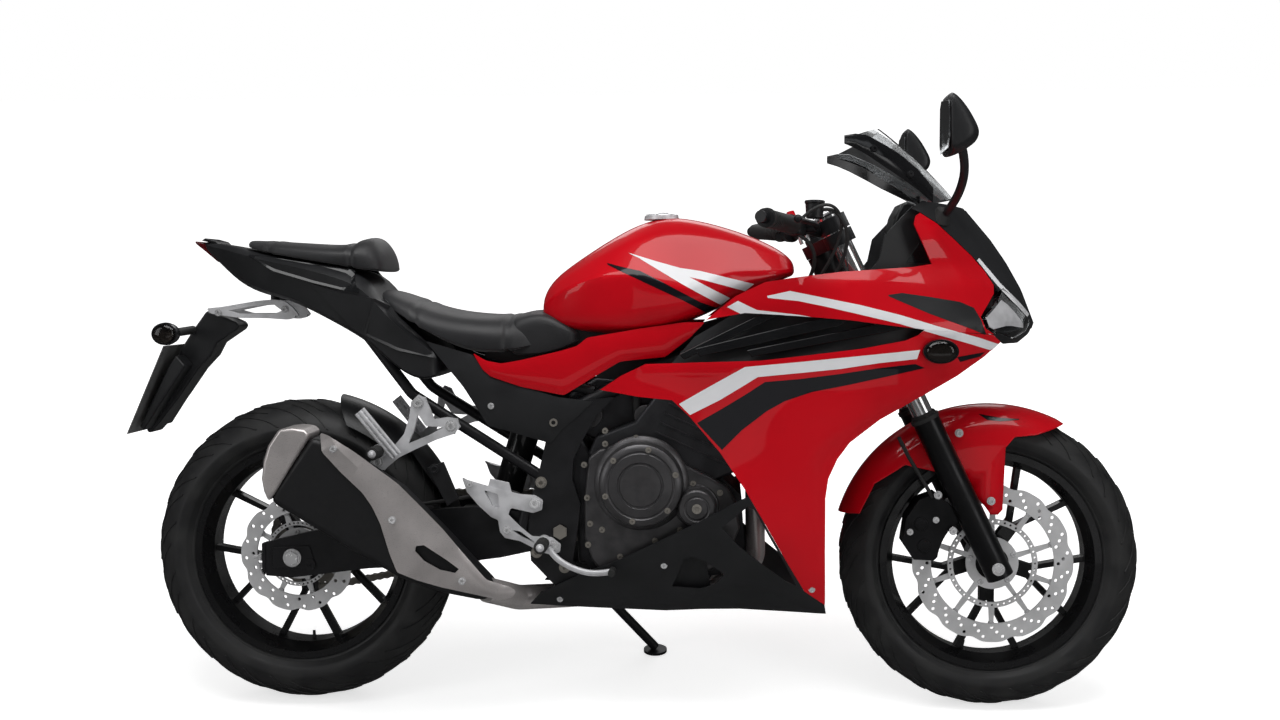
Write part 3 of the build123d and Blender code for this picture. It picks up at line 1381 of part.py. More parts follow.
# Foot peg hangers and foot controls
peg_radius = 10.0
peg_reach = 78.0
pillion_hanger_shares = [
    (0.1809, 0.5447), (0.1979, 0.5413), (0.2348, 0.5106), (0.2404, 0.4936), (0.2305, 0.4868),
    (0.1667, 0.4638), (0.1298, 0.4426), (0.1241, 0.4638), (0.1667, 0.5106),
]
pillion_peg_shares = (0.1326, 0.4545)
hanger_boss_shares = [(0.1908, 0.5362), (0.2369, 0.5004)]
with BuildPart() as pillion_peg_hangers:
    for hand in (-1, 1):
        x_share, z_share = pillion_peg_shares
        rod(
            point(x_share, hand * plate_outer, z_share),
            point(x_share, hand * (plate_outer + peg_reach), z_share),
            peg_radius,
        )
        for boss_x, boss_z in hanger_boss_shares:
            rod(
                point(boss_x, hand * (plate_outer - strut_radius * 2), boss_z),
                point(boss_x, hand * (plate_outer + wall), boss_z),
                peg_radius,
            )
        (start_x, start_y, start_z), (end_x, end_y, end_z) = seat_strut_shares[:2]
        rod(
            point(start_x, hand * start_y, start_z),
            point(end_x, hand * end_y, end_z),
            strut_radius + seat_gap,
            mode=Mode.SUBTRACT,
        )
    slab(pillion_hanger_shares, plate_outer, plate_outer + wall * 2)
    slab(pillion_hanger_shares, -plate_outer - wall * 2, -plate_outer)

rider_hanger_shares = [
    (0.2660, 0.4187), (0.3121, 0.4000), (0.3184, 0.3787), (0.3567, 0.3745), (0.3723, 0.3574),
    (0.3865, 0.2979), (0.3723, 0.2894), (0.3567, 0.2979),
    (0.3191, 0.3404), (0.2979, 0.3523), (0.2716, 0.3932),
]
rider_peg_shares = (0.3652, 0.2996)
with BuildPart() as rider_foot_controls:
    for hand in (-1, 1):
        x_share, z_share = rider_peg_shares
        rod(
            point(x_share, hand * (plate_outer + wall), z_share),
            point(x_share, hand * (plate_outer + peg_reach), z_share),
            peg_radius,
        )
    slab(rider_hanger_shares, plate_outer + seat_gap, plate_outer + wall * 2)
    slab(rider_hanger_shares, -plate_outer - wall * 2, -plate_outer - seat_gap)
    rod(
        pivot_bolt, point(pivot_x_share, plate_outer + overrun, pivot_z_share), axle_radius + seat_gap,
        mode=Mode.SUBTRACT,
    )

# Side stand: a leg from its ring on the hinge pin to a foot flat on the ground
stand_foot_x_share = 0.5099
stand_foot_y = 226.0
stand_radius = 10.0
stand_foot_radius = 26.0
stand_foot_thickness = 6.0
with BuildPart() as side_stand:
    ring_start = stand_pivot + stand_axis * (stand_lug_half + wheel_gap)
    ring_end = ring_start + stand_axis * stand_ring_length
    foot = Vector(rear_axle_x + stand_foot_x_share * wheelbase, stand_foot_y, stand_foot_y * tan(lean))
    ground_plane = Plane(origin=foot, x_dir=(1, 0, 0), z_dir=(0, -sin(lean), cos(lean)))
    with BuildSketch(ground_plane):
        Circle(stand_foot_radius)
    extrude(amount=stand_foot_thickness)
    leg_end = foot + ground_plane.z_dir * (stand_foot_thickness / 2 + stand_radius * 0.7)
    rod((ring_start + ring_end) / 2, leg_end, stand_radius)
    rod(ring_start, ring_end, stand_lug_radius)
    rod(
        ring_start - stand_axis * stand_ring_length,
        ring_end + stand_axis * stand_ring_length,
        stand_pin_radius + running_fit,
        mode=Mode.SUBTRACT,
    )

chassis_pieces = {
    "main_frame": main_frame,
    "engine": engine,
    "engine_covers": engine_covers,
    "airbox": airbox,
    "radiator": radiator,
    "exhaust_headers": exhaust_headers,
    "muffler": muffler,
    "muffler_covers": muffler_covers,
    "swingarm": swingarm,
    "rear_caliper": rear_caliper,
    "rear_shock": rear_shock,
    "rear_hugger": rear_hugger,
    "fuel_tank": fuel_tank,
    "side_panels": side_panels,
    "frame_covers": frame_covers,
    "rider_seat": rider_seat,
    "pillion_seat": pillion_seat,
    "tail_cowl": tail_cowl,
    "tail_light": tail_light,
    "plate_hanger": plate_hanger,
    "number_plate": number_plate,
    "indicators": indicators,
    "pillion_peg_hangers": pillion_peg_hangers,
    "rider_foot_controls": rider_foot_controls,
    "upper_cowl": upper_cowl,
    "nose_cowl": nose_cowl,
    "headlights": headlights,
    "side_fairings": side_fairings,
    "belly_cowl": belly_cowl,
    "windscreen": windscreen,
    "screen_trims": screen_trims,
    "instrument_panel": instrument_panel,
    "mirrors": mirrors,
    "side_stand": side_stand,
}


# The whole machine tips onto its stand about the line where the tyres meet the ground
stance = Location((0, stance_shift, 0)) * Location((0, 0, 0), (-lean_angle, 0, 0))
for label, piece in {**wheel_pieces, **steering_pieces, **chassis_pieces}.items():
    piece.part = piece.part.moved(stance)
    piece.part.label = label
    export_step(piece.part, f"parts/{label}.step")
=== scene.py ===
"""Looks of a faired sport motorcycle that leans on its side stand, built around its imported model."""
import json
import math

import bmesh
import bpy
from bpy.props import FloatProperty, FloatVectorProperty, IntProperty, PointerProperty
from bpy.types import Operator, Panel, PropertyGroup
from mathutils import Matrix, Vector
from mathutils.geometry import delaunay_2d_cdt


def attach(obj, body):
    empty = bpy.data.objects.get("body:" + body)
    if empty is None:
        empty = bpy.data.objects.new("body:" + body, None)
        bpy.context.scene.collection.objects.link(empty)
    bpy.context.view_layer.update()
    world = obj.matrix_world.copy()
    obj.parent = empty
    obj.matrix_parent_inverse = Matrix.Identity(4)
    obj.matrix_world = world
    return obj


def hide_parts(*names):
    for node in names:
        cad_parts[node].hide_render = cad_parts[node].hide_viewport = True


bl_info = {
    "name": "Sport motorcycle finish",
    "version": (1, 0, 0),
    "blender": (4, 5, 0),
    "location": "3D View > Sidebar > Motorcycle",
    "description": "Detailed pieces, paint and materials for a sport motorcycle on its side stand",
    "category": "Object",
}

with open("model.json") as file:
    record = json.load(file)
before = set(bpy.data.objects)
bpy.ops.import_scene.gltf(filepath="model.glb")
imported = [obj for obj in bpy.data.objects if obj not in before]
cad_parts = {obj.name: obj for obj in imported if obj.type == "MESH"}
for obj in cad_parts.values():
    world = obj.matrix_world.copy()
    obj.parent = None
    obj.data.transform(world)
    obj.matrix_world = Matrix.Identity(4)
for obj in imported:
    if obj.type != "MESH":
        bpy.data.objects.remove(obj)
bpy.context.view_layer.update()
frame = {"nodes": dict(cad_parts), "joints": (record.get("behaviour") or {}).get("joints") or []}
NODES = frame["nodes"]
JOINTS = {joint["name"]: joint for joint in frame["joints"]}

# Both sides of the machine: its right and its left
HANDS = (-1, 1)

# The machine is described upright, +X forward and +Y to its left, and then leaned over like the model
MM = 0.001
REAR_AXLE_AT = Vector(JOINTS["rear_wheel_spin"]["pos_m"])
FRONT_AXLE_AT = Vector(JOINTS["front_wheel_spin"]["pos_m"])
LEAN = math.asin(-JOINTS["rear_wheel_spin"]["axis"][2])
REAR_AXLE_Z = REAR_AXLE_AT.z / math.cos(LEAN)
FRONT_AXLE_Z = FRONT_AXLE_AT.z / math.cos(LEAN)
STANCE_SHIFT = REAR_AXLE_AT.y - REAR_AXLE_Z * math.sin(LEAN)
STANCE = Matrix.Translation((0, STANCE_SHIFT, 0)) @ Matrix.Rotation(-LEAN, 4, "X")
UPRIGHT = STANCE.inverted()
REAR_AXLE = Vector((REAR_AXLE_AT.x, 0, REAR_AXLE_Z))
FRONT_AXLE = Vector((FRONT_AXLE_AT.x, 0, FRONT_AXLE_Z))
ACROSS = Vector((0, 1, 0))

# The photograph's camera, in the upright frame, and its picture
EYE = Vector((0.1868, -2.9255, 0.8564))
EYE_FORWARD = Vector((-0.05532946, 0.99716627, -0.0509713))
EYE_RIGHT = Vector((0.99846763, 0.05520496, -0.00384828))
EYE_UP = Vector((0.00102351, 0.05110612, 0.9986927))
EYE_FOCAL = 1418.9
PICTURE_SIZE = (1280, 720)
SENSOR_WIDTH = 36.0
FLOOR_SIZE = 30.0


def spot(x, y, z):
    """Upright point from millimetres."""
    return Vector((x, y, z)) * MM


def turns(count, start=0.0):
    """Angles of places spread evenly round a circle."""
    return [math.tau * number / count + start for number in range(count)]


def ray(pixel):
    """Direction from the camera through a pixel of the photograph, upright."""
    across = (pixel[0] - PICTURE_SIZE[0] / 2) / EYE_FOCAL
    down = (pixel[1] - PICTURE_SIZE[1] / 2) / EYE_FOCAL
    return EYE_FORWARD + EYE_RIGHT * across - EYE_UP * down


def sight(pixel, y):
    """Upright point where a pixel's ray meets the plane at a distance to the left, in millimetres."""
    way = ray(pixel)
    return EYE + way * ((y * MM - EYE.y) / way.y)


# Settings that a user would change
class PaintSettings(PropertyGroup):
    """Colours of the painted and moulded pieces."""

    body_red: FloatVectorProperty(
        name="Body red", description="Main paint", subtype="COLOR", size=3, min=0, max=1, default=(0.61, 0.0005, 0.008)
    )
    stripe_white: FloatVectorProperty(
        name="Stripe white", description="Pale stripes", subtype="COLOR", size=3, min=0, max=1, default=(0.8, 0.8, 0.82)
    )
    stripe_black: FloatVectorProperty(
        name="Stripe black", description="Dark stripes", subtype="COLOR", size=3, min=0, max=1,
        default=(0.006, 0.006, 0.009),
    )
    plastic_black: FloatVectorProperty(
        name="Plastic black", description="Unpainted panels", subtype="COLOR", size=3, min=0, max=1,
        default=(0.010, 0.0103, 0.0115),
    )
    seat_black: FloatVectorProperty(
        name="Seat black", description="Cover of both seats", subtype="COLOR", size=3, min=0, max=1,
        default=(0.009, 0.009, 0.0105),
    )


class TyreSettings(PropertyGroup):
    """Tread of both tyres."""

    pitches: IntProperty(name="Pitches", description="Repeats of the tread round the tyre", default=16, min=4, max=40)
    groove_depth: FloatProperty(
        name="Groove depth", description="Depth of the tread", subtype="DISTANCE", default=0.002, min=0.001, max=0.006
    )


class LightSettings(PropertyGroup):
    """Studio light and camera."""

    key_power: FloatProperty(name="Key power", description="Watts of the overhead softbox", default=58.0, min=0)
    side_power: FloatProperty(name="Side power", description="Watts of the side softboxes", default=20.0, min=0)
    reflected: FloatProperty(
        name="Reflected", description="Strength of the world in reflections", default=0.05, min=0, max=1
    )
    ambient: FloatProperty(
        name="Ambient", description="Strength of the world on the object", default=0.24, min=0, max=1
    )


# Shared effects, as node groups that put out a vector, masks and values
def new_group(name, inputs, outputs):
    """Empty shader group with its sockets; returns the group and its two end nodes."""
    group = bpy.data.node_groups.new(name, "ShaderNodeTree")
    for label, kind, default in inputs:
        socket = group.interface.new_socket(name=label, in_out="INPUT", socket_type=kind)
        if default is not None:
            socket.default_value = default
    for label, kind in outputs:
        group.interface.new_socket(name=label, in_out="OUTPUT", socket_type=kind)
    return group, group.nodes.new("NodeGroupInput"), group.nodes.new("NodeGroupOutput")


def noise(tree, vector, scale, detail=3.0):
    """Noise texture node on a vector, with its scale linked or set."""
    node = tree.nodes.new("ShaderNodeTexNoise")
    node.inputs["Detail"].default_value = detail
    tree.links.new(vector, node.inputs["Vector"])
    if isinstance(scale, (int, float)):
        node.inputs["Scale"].default_value = scale
    else:
        tree.links.new(scale, node.inputs["Scale"])
    return node


def calc(tree, operation, first, second):
    """Math node of two sockets; returns its output."""
    node = tree.nodes.new("ShaderNodeMath")
    node.operation = operation
    tree.links.new(first, node.inputs[0])
    tree.links.new(second, node.inputs[1])
    return node.outputs[0]


def ramp(tree, value, low, high, out_low, out_high):
    """Value carried smoothly from one range into another."""
    node = tree.nodes.new("ShaderNodeMapRange")
    node.interpolation_type = "SMOOTHSTEP"
    for label, given in (("From Min", low), ("From Max", high), ("To Min", out_low), ("To Max", out_high)):
        node.inputs[label].default_value = given
    tree.links.new(value, node.inputs["Value"])
    return node.outputs["Result"]


def upright_group():
    """Object coordinates turned back to the upright machine."""
    group, start, end = new_group("Upright place", [], [("Vector", "NodeSocketVector")])
    place = group.nodes.new("ShaderNodeTexCoord")
    turn = group.nodes.new("ShaderNodeMapping")
    turn.vector_type = "TEXTURE"
    turn.inputs["Location"].default_value = (0, STANCE_SHIFT, 0)
    turn.inputs["Rotation"].default_value = (-LEAN, 0, 0)
    group.links.new(place.outputs["Object"], turn.inputs["Vector"])
    group.links.new(turn.outputs["Vector"], end.inputs["Vector"])
    group.nodes.remove(start)
    return group


def grain_group():
    """Pebbled grain of moulded plastic and seat covers."""
    group, start, end = new_group(
        "Pebble grain",
        [("Vector", "NodeSocketVector", None), ("Scale", "NodeSocketFloat", 900.0)],
        [("Height", "NodeSocketFloat"), ("Shade", "NodeSocketFloat")],
    )
    cells = group.nodes.new("ShaderNodeTexVoronoi")
    group.links.new(start.outputs["Vector"], cells.inputs["Vector"])
    group.links.new(start.outputs["Scale"], cells.inputs["Scale"])
    broad = noise(group, start.outputs["Vector"], 9.0)
    group.links.new(ramp(group, cells.outputs["Distance"], 0.0, 0.7, 1.0, 0.0), end.inputs["Height"])
    group.links.new(ramp(group, broad.outputs["Fac"], 0.3, 0.7, 0.0, 1.0), end.inputs["Shade"])
    return group


def brush_group():
    """Fine lines of brushed or turned metal along one way."""
    group, start, end = new_group(
        "Brushed lines",
        [
            ("Vector", "NodeSocketVector", None), ("Stretch", "NodeSocketVector", (1, 1, 1)),
            ("Scale", "NodeSocketFloat", 300.0),
        ],
        [("Lines", "NodeSocketFloat"), ("Cloud", "NodeSocketFloat")],
    )
    stretch = group.nodes.new("ShaderNodeVectorMath")
    stretch.operation = "MULTIPLY"
    group.links.new(start.outputs["Vector"], stretch.inputs[0])
    group.links.new(start.outputs["Stretch"], stretch.inputs[1])
    lines = noise(group, stretch.outputs["Vector"], start.outputs["Scale"], 4.0)
    cloud = noise(group, start.outputs["Vector"], 14.0)
    group.links.new(lines.outputs["Fac"], end.inputs["Lines"])
    group.links.new(cloud.outputs["Fac"], end.inputs["Cloud"])
    return group


def cast_group():
    """Sandy skin of cast metal, and the broad clouds on it."""
    group, start, end = new_group(
        "Cast skin",
        [("Vector", "NodeSocketVector", None), ("Scale", "NodeSocketFloat", 700.0)],
        [("Height", "NodeSocketFloat"), ("Cloud", "NodeSocketFloat")],
    )
    sand = noise(group, start.outputs["Vector"], start.outputs["Scale"], 6.0)
    cloud = noise(group, start.outputs["Vector"], 22.0, 5.0)
    group.links.new(sand.outputs["Fac"], end.inputs["Height"])
    group.links.new(ramp(group, cloud.outputs["Fac"], 0.35, 0.7, 0.0, 1.0), end.inputs["Cloud"])
    return group


EFFECTS = {}


def effect(tree, name, **values):
    """Places a shared effect in a material and sets its inputs; returns the node."""
    makers = {"upright": upright_group, "grain": grain_group, "brush": brush_group, "cast": cast_group}
    if name not in EFFECTS:
        EFFECTS[name] = makers[name]()
    node = tree.nodes.new("ShaderNodeGroup")
    node.node_tree = EFFECTS[name]
    for label, value in values.items():
        node.inputs[label].default_value = value
    return node


def new_material(name, colour, roughness, metallic=0.0, **shader_values):
    """Material with a Principled shader; returns it, its tree, the shader and the upright vector."""
    material = bpy.data.materials.new(name)
    material.use_nodes = True
    tree = material.node_tree
    shader = tree.nodes["Principled BSDF"]
    shader.inputs["Base Color"].default_value = (*colour, 1)
    shader.inputs["Roughness"].default_value = roughness
    shader.inputs["Metallic"].default_value = metallic
    for label, value in shader_values.items():
        shader.inputs[label.replace("_", " ")].default_value = value
    vector = effect(tree, "upright").outputs["Vector"]
    return material, tree, shader, vector


def tint(tree, shader, colour, other, mask):
    """Base colour mixed between two by a mask."""
    mix = tree.nodes.new("ShaderNodeMix")
    mix.data_type = "RGBA"
    mix.inputs[6].default_value = (*colour, 1)
    mix.inputs[7].default_value = (*other, 1)
    tree.links.new(mask, mix.inputs[0])
    tree.links.new(mix.outputs[2], shader.inputs["Base Color"])


def emboss(tree, shader, height, strength, distance):
    """Bump from a height, in metres."""
    bump = tree.nodes.new("ShaderNodeBump")
    bump.inputs["Strength"].default_value = strength
    bump.inputs["Distance"].default_value = distance
    tree.links.new(height, bump.inputs["Height"])
    tree.links.new(bump.outputs["Normal"], shader.inputs["Normal"])


def shades(colour, share):
    """Colour scaled by a share."""
    return tuple(min(1.0, channel * share) for channel in colour)


def paint_material(name, colour, deep_share=0.8):
    """Lacquered paint: a deep colour under a clear coat, with fine orange peel."""
    material, tree, shader, vector = new_material(
        name, colour, 0.34, Coat_Weight=0.55, Coat_Roughness=0.035, Specular_IOR_Level=0.12
    )
    cloud = noise(tree, vector, 3.0)
    tint(tree, shader, colour, shades(colour, deep_share), ramp(tree, cloud.outputs["Fac"], 0.35, 0.65, 0.0, 1.0))
    peel = noise(tree, vector, 420.0, 1.0)
    emboss(tree, shader, peel.outputs["Fac"], 0.05, 0.0004)
    tree.links.new(ramp(tree, peel.outputs["Fac"], 0.2, 0.8, 0.3, 0.38), shader.inputs["Roughness"])
    return material


def plastic_material(name, colour, roughness, grain=900.0, strength=0.12, **extra):
    """Moulded plastic or rubber: pebbled grain and slightly uneven gloss."""
    material, tree, shader, vector = new_material(name, colour, roughness, **extra)
    pebble = effect(tree, "grain", Scale=grain)
    tree.links.new(vector, pebble.inputs["Vector"])
    emboss(tree, shader, pebble.outputs["Height"], strength, 0.0003)
    tint(tree, shader, colour, shades(colour, 1.35), pebble.outputs["Shade"])
    tree.links.new(
        ramp(tree, pebble.outputs["Shade"], 0.0, 1.0, roughness - 0.04, roughness + 0.05), shader.inputs["Roughness"]
    )
    return material


def cast_material(name, colour, roughness, metallic=0.7, strength=0.25, **extra):
    """Cast or powder-coated metal with a sandy skin, darker in patches."""
    material, tree, shader, vector = new_material(name, colour, roughness, metallic, **extra)
    skin = effect(tree, "cast")
    tree.links.new(vector, skin.inputs["Vector"])
    emboss(tree, shader, skin.outputs["Height"], strength, 0.0004)
    tint(tree, shader, colour, shades(colour, 0.7), skin.outputs["Cloud"])
    tree.links.new(
        ramp(tree, skin.outputs["Cloud"], 0.0, 1.0, roughness - 0.05, roughness + 0.08), shader.inputs["Roughness"]
    )
    return material


def metal_material(name, colour, roughness, stretch=(1, 1, 1), scale=300.0, strength=0.1, polish=0.5, **extra):
    """Bare machined or brushed metal."""
    material, tree, shader, vector = new_material(name, colour, roughness, polish, **extra)
    brush = effect(tree, "brush", Stretch=stretch, Scale=scale)
    tree.links.new(vector, brush.inputs["Vector"])
    emboss(tree, shader, brush.outputs["Lines"], strength, 0.0002)
    tint(tree, shader, colour, shades(colour, 0.8), ramp(tree, brush.outputs["Cloud"], 0.3, 0.75, 0.0, 1.0))
    low, high = max(0.02, roughness - 0.08), roughness + 0.1
    tree.links.new(ramp(tree, brush.outputs["Lines"], 0.25, 0.75, low, high), shader.inputs["Roughness"])
    return material


def tyre_material(name):
    """Tyre rubber: a sandy skin, paler and duller in patches."""
    colour = (0.0125, 0.0125, 0.0135)
    material, tree, shader, vector = new_material(name, colour, 0.6)
    sand = effect(tree, "cast", Scale=420.0)
    tree.links.new(vector, sand.inputs["Vector"])
    emboss(tree, shader, sand.outputs["Height"], 0.2, 0.0005)
    tint(tree, shader, colour, (0.021, 0.021, 0.021), sand.outputs["Cloud"])
    tree.links.new(ramp(tree, sand.outputs["Cloud"], 0.0, 1.0, 0.5, 0.68), shader.inputs["Roughness"])
    return material


def clear_material(name, colour, roughness=0.02, tinted=1.0):
    """Clear or tinted moulded lens: lets light through, with faint ripples."""
    material, tree, shader, vector = new_material(
        name, colour, roughness, Transmission_Weight=tinted, IOR=1.46, Specular_IOR_Level=0.5
    )
    ripple = noise(tree, vector, 26.0, 1.0)
    emboss(tree, shader, ripple.outputs["Fac"], 0.01, 0.0003)
    cloud = noise(tree, vector, 60.0, 2.0)
    tree.links.new(ramp(tree, cloud.outputs["Fac"], 0.3, 0.7, roughness, roughness + 0.02), shader.inputs["Roughness"])
    return material


MATERIALS = {}


def make_materials():
    """All finishes of the machine, by name."""
    paint = bpy.context.scene.motorcycle_paint
    red = tuple(paint.body_red)
    black = tuple(paint.plastic_black)
    MATERIALS.update(
        red=paint_material("Red lacquer", red),
        # This white paint also colours the painted highlight on the lamps' strips
        white=paint_material("White stripe", tuple(paint.stripe_white), 0.94),
        dark=paint_material("Black stripe", tuple(paint.stripe_black)),
        plastic=plastic_material("Black plastic", black, 0.42),
        gloss=plastic_material("Dark gloss plastic", shades(black, 0.7), 0.16, 500.0, 0.03),
        seat=plastic_material("Saddle cover", tuple(paint.seat_black), 0.5, 620.0, 0.4, Sheen_Weight=0.12),
        rubber=plastic_material("Rubber", (0.018, 0.018, 0.018), 0.62, 700.0, 0.2),
        tyre=tyre_material("Tyre rubber"),
        frame=cast_material("Frame black", (0.016, 0.016, 0.018), 0.38, 0.3, strength=0.12),
        wheel=cast_material("Wheel black", (0.012, 0.012, 0.013), 0.3, 0.4, strength=0.06, Coat_Weight=0.35),
        engine=cast_material("Engine black", (0.055, 0.055, 0.06), 0.46, 0.6, strength=0.35),
        cover=cast_material("Engine cover grey", (0.115, 0.112, 0.116), 0.4, 0.75, strength=0.2),
        silver=cast_material("Silver hanger", (0.74, 0.74, 0.76), 0.36, 0.35, strength=0.06),
        steel=metal_material("Brushed steel", (0.72, 0.675, 0.665), 0.34, (1, 1, 30), 160.0, 0.03, polish=0.72),
        disc=metal_material("Disc steel", (0.78, 0.78, 0.79), 0.36, (1, 1, 1), 500.0, 0.05),
        bright=metal_material("Bright metal", (0.75, 0.75, 0.76), 0.2, (1, 1, 1), 240.0, 0.05),
        chrome=metal_material("Fork chrome", (0.82, 0.82, 0.83), 0.1, (1, 1, 1), 120.0, 0.02, 0.9),
        slider=cast_material("Fork slider black", (0.008, 0.008, 0.0092), 0.34, 0.5, strength=0.08),
        chain=metal_material("Chain steel", (0.3, 0.28, 0.25), 0.42, (1, 1, 1), 420.0),
        spring=paint_material("Spring black", (0.012, 0.012, 0.013)),
        silencer=cast_material("Silencer black", (0.012, 0.012, 0.0135), 0.5, 0.2, strength=0.1),
        lens=clear_material("Clear lens", (0.93, 0.95, 0.97)),
        amber=clear_material("Smoked indicator lens", (0.16, 0.13, 0.11), 0.08),
        ruby=clear_material("Ruby lens", (0.1, 0.006, 0.008), 0.06, 0.4),
        screen=clear_material("Screen", (0.93, 0.95, 0.96), 0.01),
        mirror=metal_material("Mirror glass", (0.5, 0.52, 0.54), 0.04, (1, 1, 1), 40.0, 0.0, 1.0),
        plate=plastic_material("Plate blank", (0.1, 0.1, 0.1), 0.4),
        radiator=metal_material("Radiator core", (0.05, 0.05, 0.055), 0.5, (1, 30, 1), 60.0),
        display=plastic_material("Display", (0.02, 0.025, 0.028), 0.12, 300.0, 0.02),
    )


NODE_FINISH = {
    "yokes": "frame", "fork_tubes": "chrome", "fork_sliders": "slider", "front_mudguard": "red",
    "front_caliper": "slider", "handlebars": "frame", "grips": "rubber", "hand_controls": "plastic",
    "brake_hose": "rubber", "main_frame": "frame", "engine": "engine", "engine_covers": "cover",
    "airbox": "plastic", "radiator": "radiator", "exhaust_headers": "steel", "muffler": "silencer",
    "muffler_covers": "steel", "swingarm": "frame", "rear_caliper": "slider", "rear_shock": "spring",
    "rear_hugger": "plastic", "chain": "chain", "fuel_tank": "red", "side_panels": "red", "frame_covers": "plastic",
    "rider_seat": "seat", "pillion_seat": "seat", "tail_cowl": "plastic", "tail_light": "ruby",
    "plate_hanger": "plastic", "number_plate": "plate", "indicators": "amber", "pillion_peg_hangers": "silver",
    "rider_foot_controls": "silver", "upper_cowl": "red", "nose_cowl": "plastic", "headlights": "lens",
    "side_fairings": "red", "belly_cowl": "plastic", "windscreen": "screen", "screen_trims": "gloss",
    "instrument_panel": "plastic", "mirrors": "plastic", "side_stand": "frame", "front_tyre": "tyre",
    "front_rim": "wheel", "front_disc": "disc", "rear_tyre": "tyre", "rear_rim": "wheel", "rear_disc": "disc",
    "rear_sprocket": "chain",
}


# Mesh tools
def add_object(name, data):
    """New object in the scene."""
    thing = bpy.data.objects.new(name, data)
    bpy.context.scene.collection.objects.link(thing)
    return thing


def leaned_mesh(name, bm):
    """Mesh of an upright bmesh, leaned over like the model; the bmesh is freed."""
    mesh = bpy.data.meshes.new(name)
    bm.to_mesh(mesh)
    bm.free()
    mesh.transform(STANCE)
    return mesh


def dress(name, mesh, finish, body):
    """Makes a leaned mesh a smooth piece that rides on a body, with its finish."""
    mesh.shade_smooth()
    mesh.materials.append(MATERIALS[finish])
    piece = add_object(name, mesh)
    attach(piece, body)
    return piece


def add_piece(name, bm, finish, replaces=(), smooth=35.0, levels=0, bevel=0.0, body="chassis", slot=None):
    """Leans an upright bmesh over, makes it a piece of a body and dresses it."""
    bmesh.ops.recalc_face_normals(bm, faces=bm.faces)
    mesh = leaned_mesh(name, bm)
    piece = dress(name, mesh, finish, body)
    mesh.set_sharp_from_angle(angle=math.radians(smooth))
    if bevel:
        rounded = piece.modifiers.new("Rounded edges", "BEVEL")
        rounded.width = bevel
        rounded.segments = 2
        rounded.limit_method = "ANGLE"
        rounded.angle_limit = math.radians(smooth)
        rounded.harden_normals = True
    if levels:
        smoothing = piece.modifiers.new("Smooth skin", "SUBSURF")
        smoothing.levels = levels
        smoothing.render_levels = levels
    if replaces:
        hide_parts(*replaces)
    return piece


def bar(bm, start, end, radius, end_radius=None, segments=24):
    """Round bar or cone between two upright points."""
    way = end - start
    turn = way.to_track_quat("Z", "Y").to_matrix().to_4x4()
    made = bmesh.ops.create_cone(
        bm, cap_ends=True, segments=segments, radius1=radius, radius2=radius if end_radius is None else end_radius,
        depth=way.length, matrix=Matrix.Translation((start + end) / 2) @ turn,
    )
    return made["verts"]


def ball(bm, centre, radius):
    """Ball about an upright point."""
    bmesh.ops.create_uvsphere(bm, u_segments=20, v_segments=10, radius=radius, matrix=Matrix.Translation(centre))


def bolt(bm, at, way, radius, height):
    """Bolt head with a washer and a socket, standing on a surface."""
    way = way.normalized()
    washer = at + way * height * 0.3
    bar(bm, at, washer, radius * 1.35, segments=20)
    verts = bar(bm, washer, at + way * height, radius, radius * 0.94, segments=16)
    faces = {face for vert in verts for face in vert.link_faces}
    tops = [face for face in faces if face.normal.dot(way) > 0.9 and len(face.verts) > 4]
    if tops:
        bmesh.ops.inset_region(bm, faces=tops, thickness=radius * 0.42)
        bmesh.ops.inset_region(bm, faces=tops, thickness=radius * 0.02, depth=-height * 0.5)


def sheet_face(bm, outline):
    """One flat face from upright points."""
    return bm.faces.new([bm.verts.new(corner) for corner in outline])


def thicken(bm, face, way):
    """Extrudes a face along a vector into a closed block."""
    made = bmesh.ops.extrude_face_region(bm, geom=[face], use_keep_orig=True)
    moved = [item for item in made["geom"] if isinstance(item, bmesh.types.BMVert)]
    bmesh.ops.translate(bm, vec=way, verts=moved)


def plate(bm, outline, near, far):
    """Plate with a side-view outline of (x, z) in millimetres, between two distances to the left."""
    thicken(bm, sheet_face(bm, [spot(x, near, z) for x, z in outline]), ACROSS * (far - near) * MM)


def add_plates(name, plates, finish, *replaces, **look):
    """Piece of one or more plates, each with its outline and its two distances to the left."""
    bm = bmesh.new()
    for outline, near, far in plates:
        plate(bm, outline, near, far)
    add_piece(name, bm, finish, replaces, **look)


def ring_path(bm, profile, centre, steps, axis=ACROSS):
    """Spins an open or closed profile of upright points all the way round an axis."""
    verts = [bm.verts.new(corner) for corner in profile]
    edges = [bm.edges.new(pair) for pair in zip(verts, verts[1:])]
    bmesh.ops.spin(bm, geom=verts + edges, cent=centre, axis=axis, angle=math.tau, steps=steps, use_merge=True)


def skin(bm, sections):
    """Closed sections bridged one after another into a skin with closed ends."""
    loops = []
    for section in sections:
        verts = [bm.verts.new(corner) for corner in section]
        loops.append([bm.edges.new(pair) for pair in zip(verts, verts[1:] + verts[:1])])
    for one, other in zip(loops, loops[1:]):
        bmesh.ops.bridge_loops(bm, edges=one + other)
    for loop in (loops[0], loops[-1]):
        bmesh.ops.contextual_create(bm, geom=loop)


def crease(bm, edges, amount):
    """Keeps edges sharp under a subdivision."""
    places = [edge.index for edge in edges]
    layer = bm.edges.layers.float.get("crease_edge") or bm.edges.layers.float.new("crease_edge")
    bm.edges.ensure_lookup_table()
    for place in places:
        bm.edges[place][layer] = amount


def mirrored(bm):
    """Adds the other half of a mesh across the middle plane."""
    bmesh.ops.mirror(bm, geom=bm.verts[:] + bm.edges[:] + bm.faces[:], axis="Y", merge_dist=0.00001)


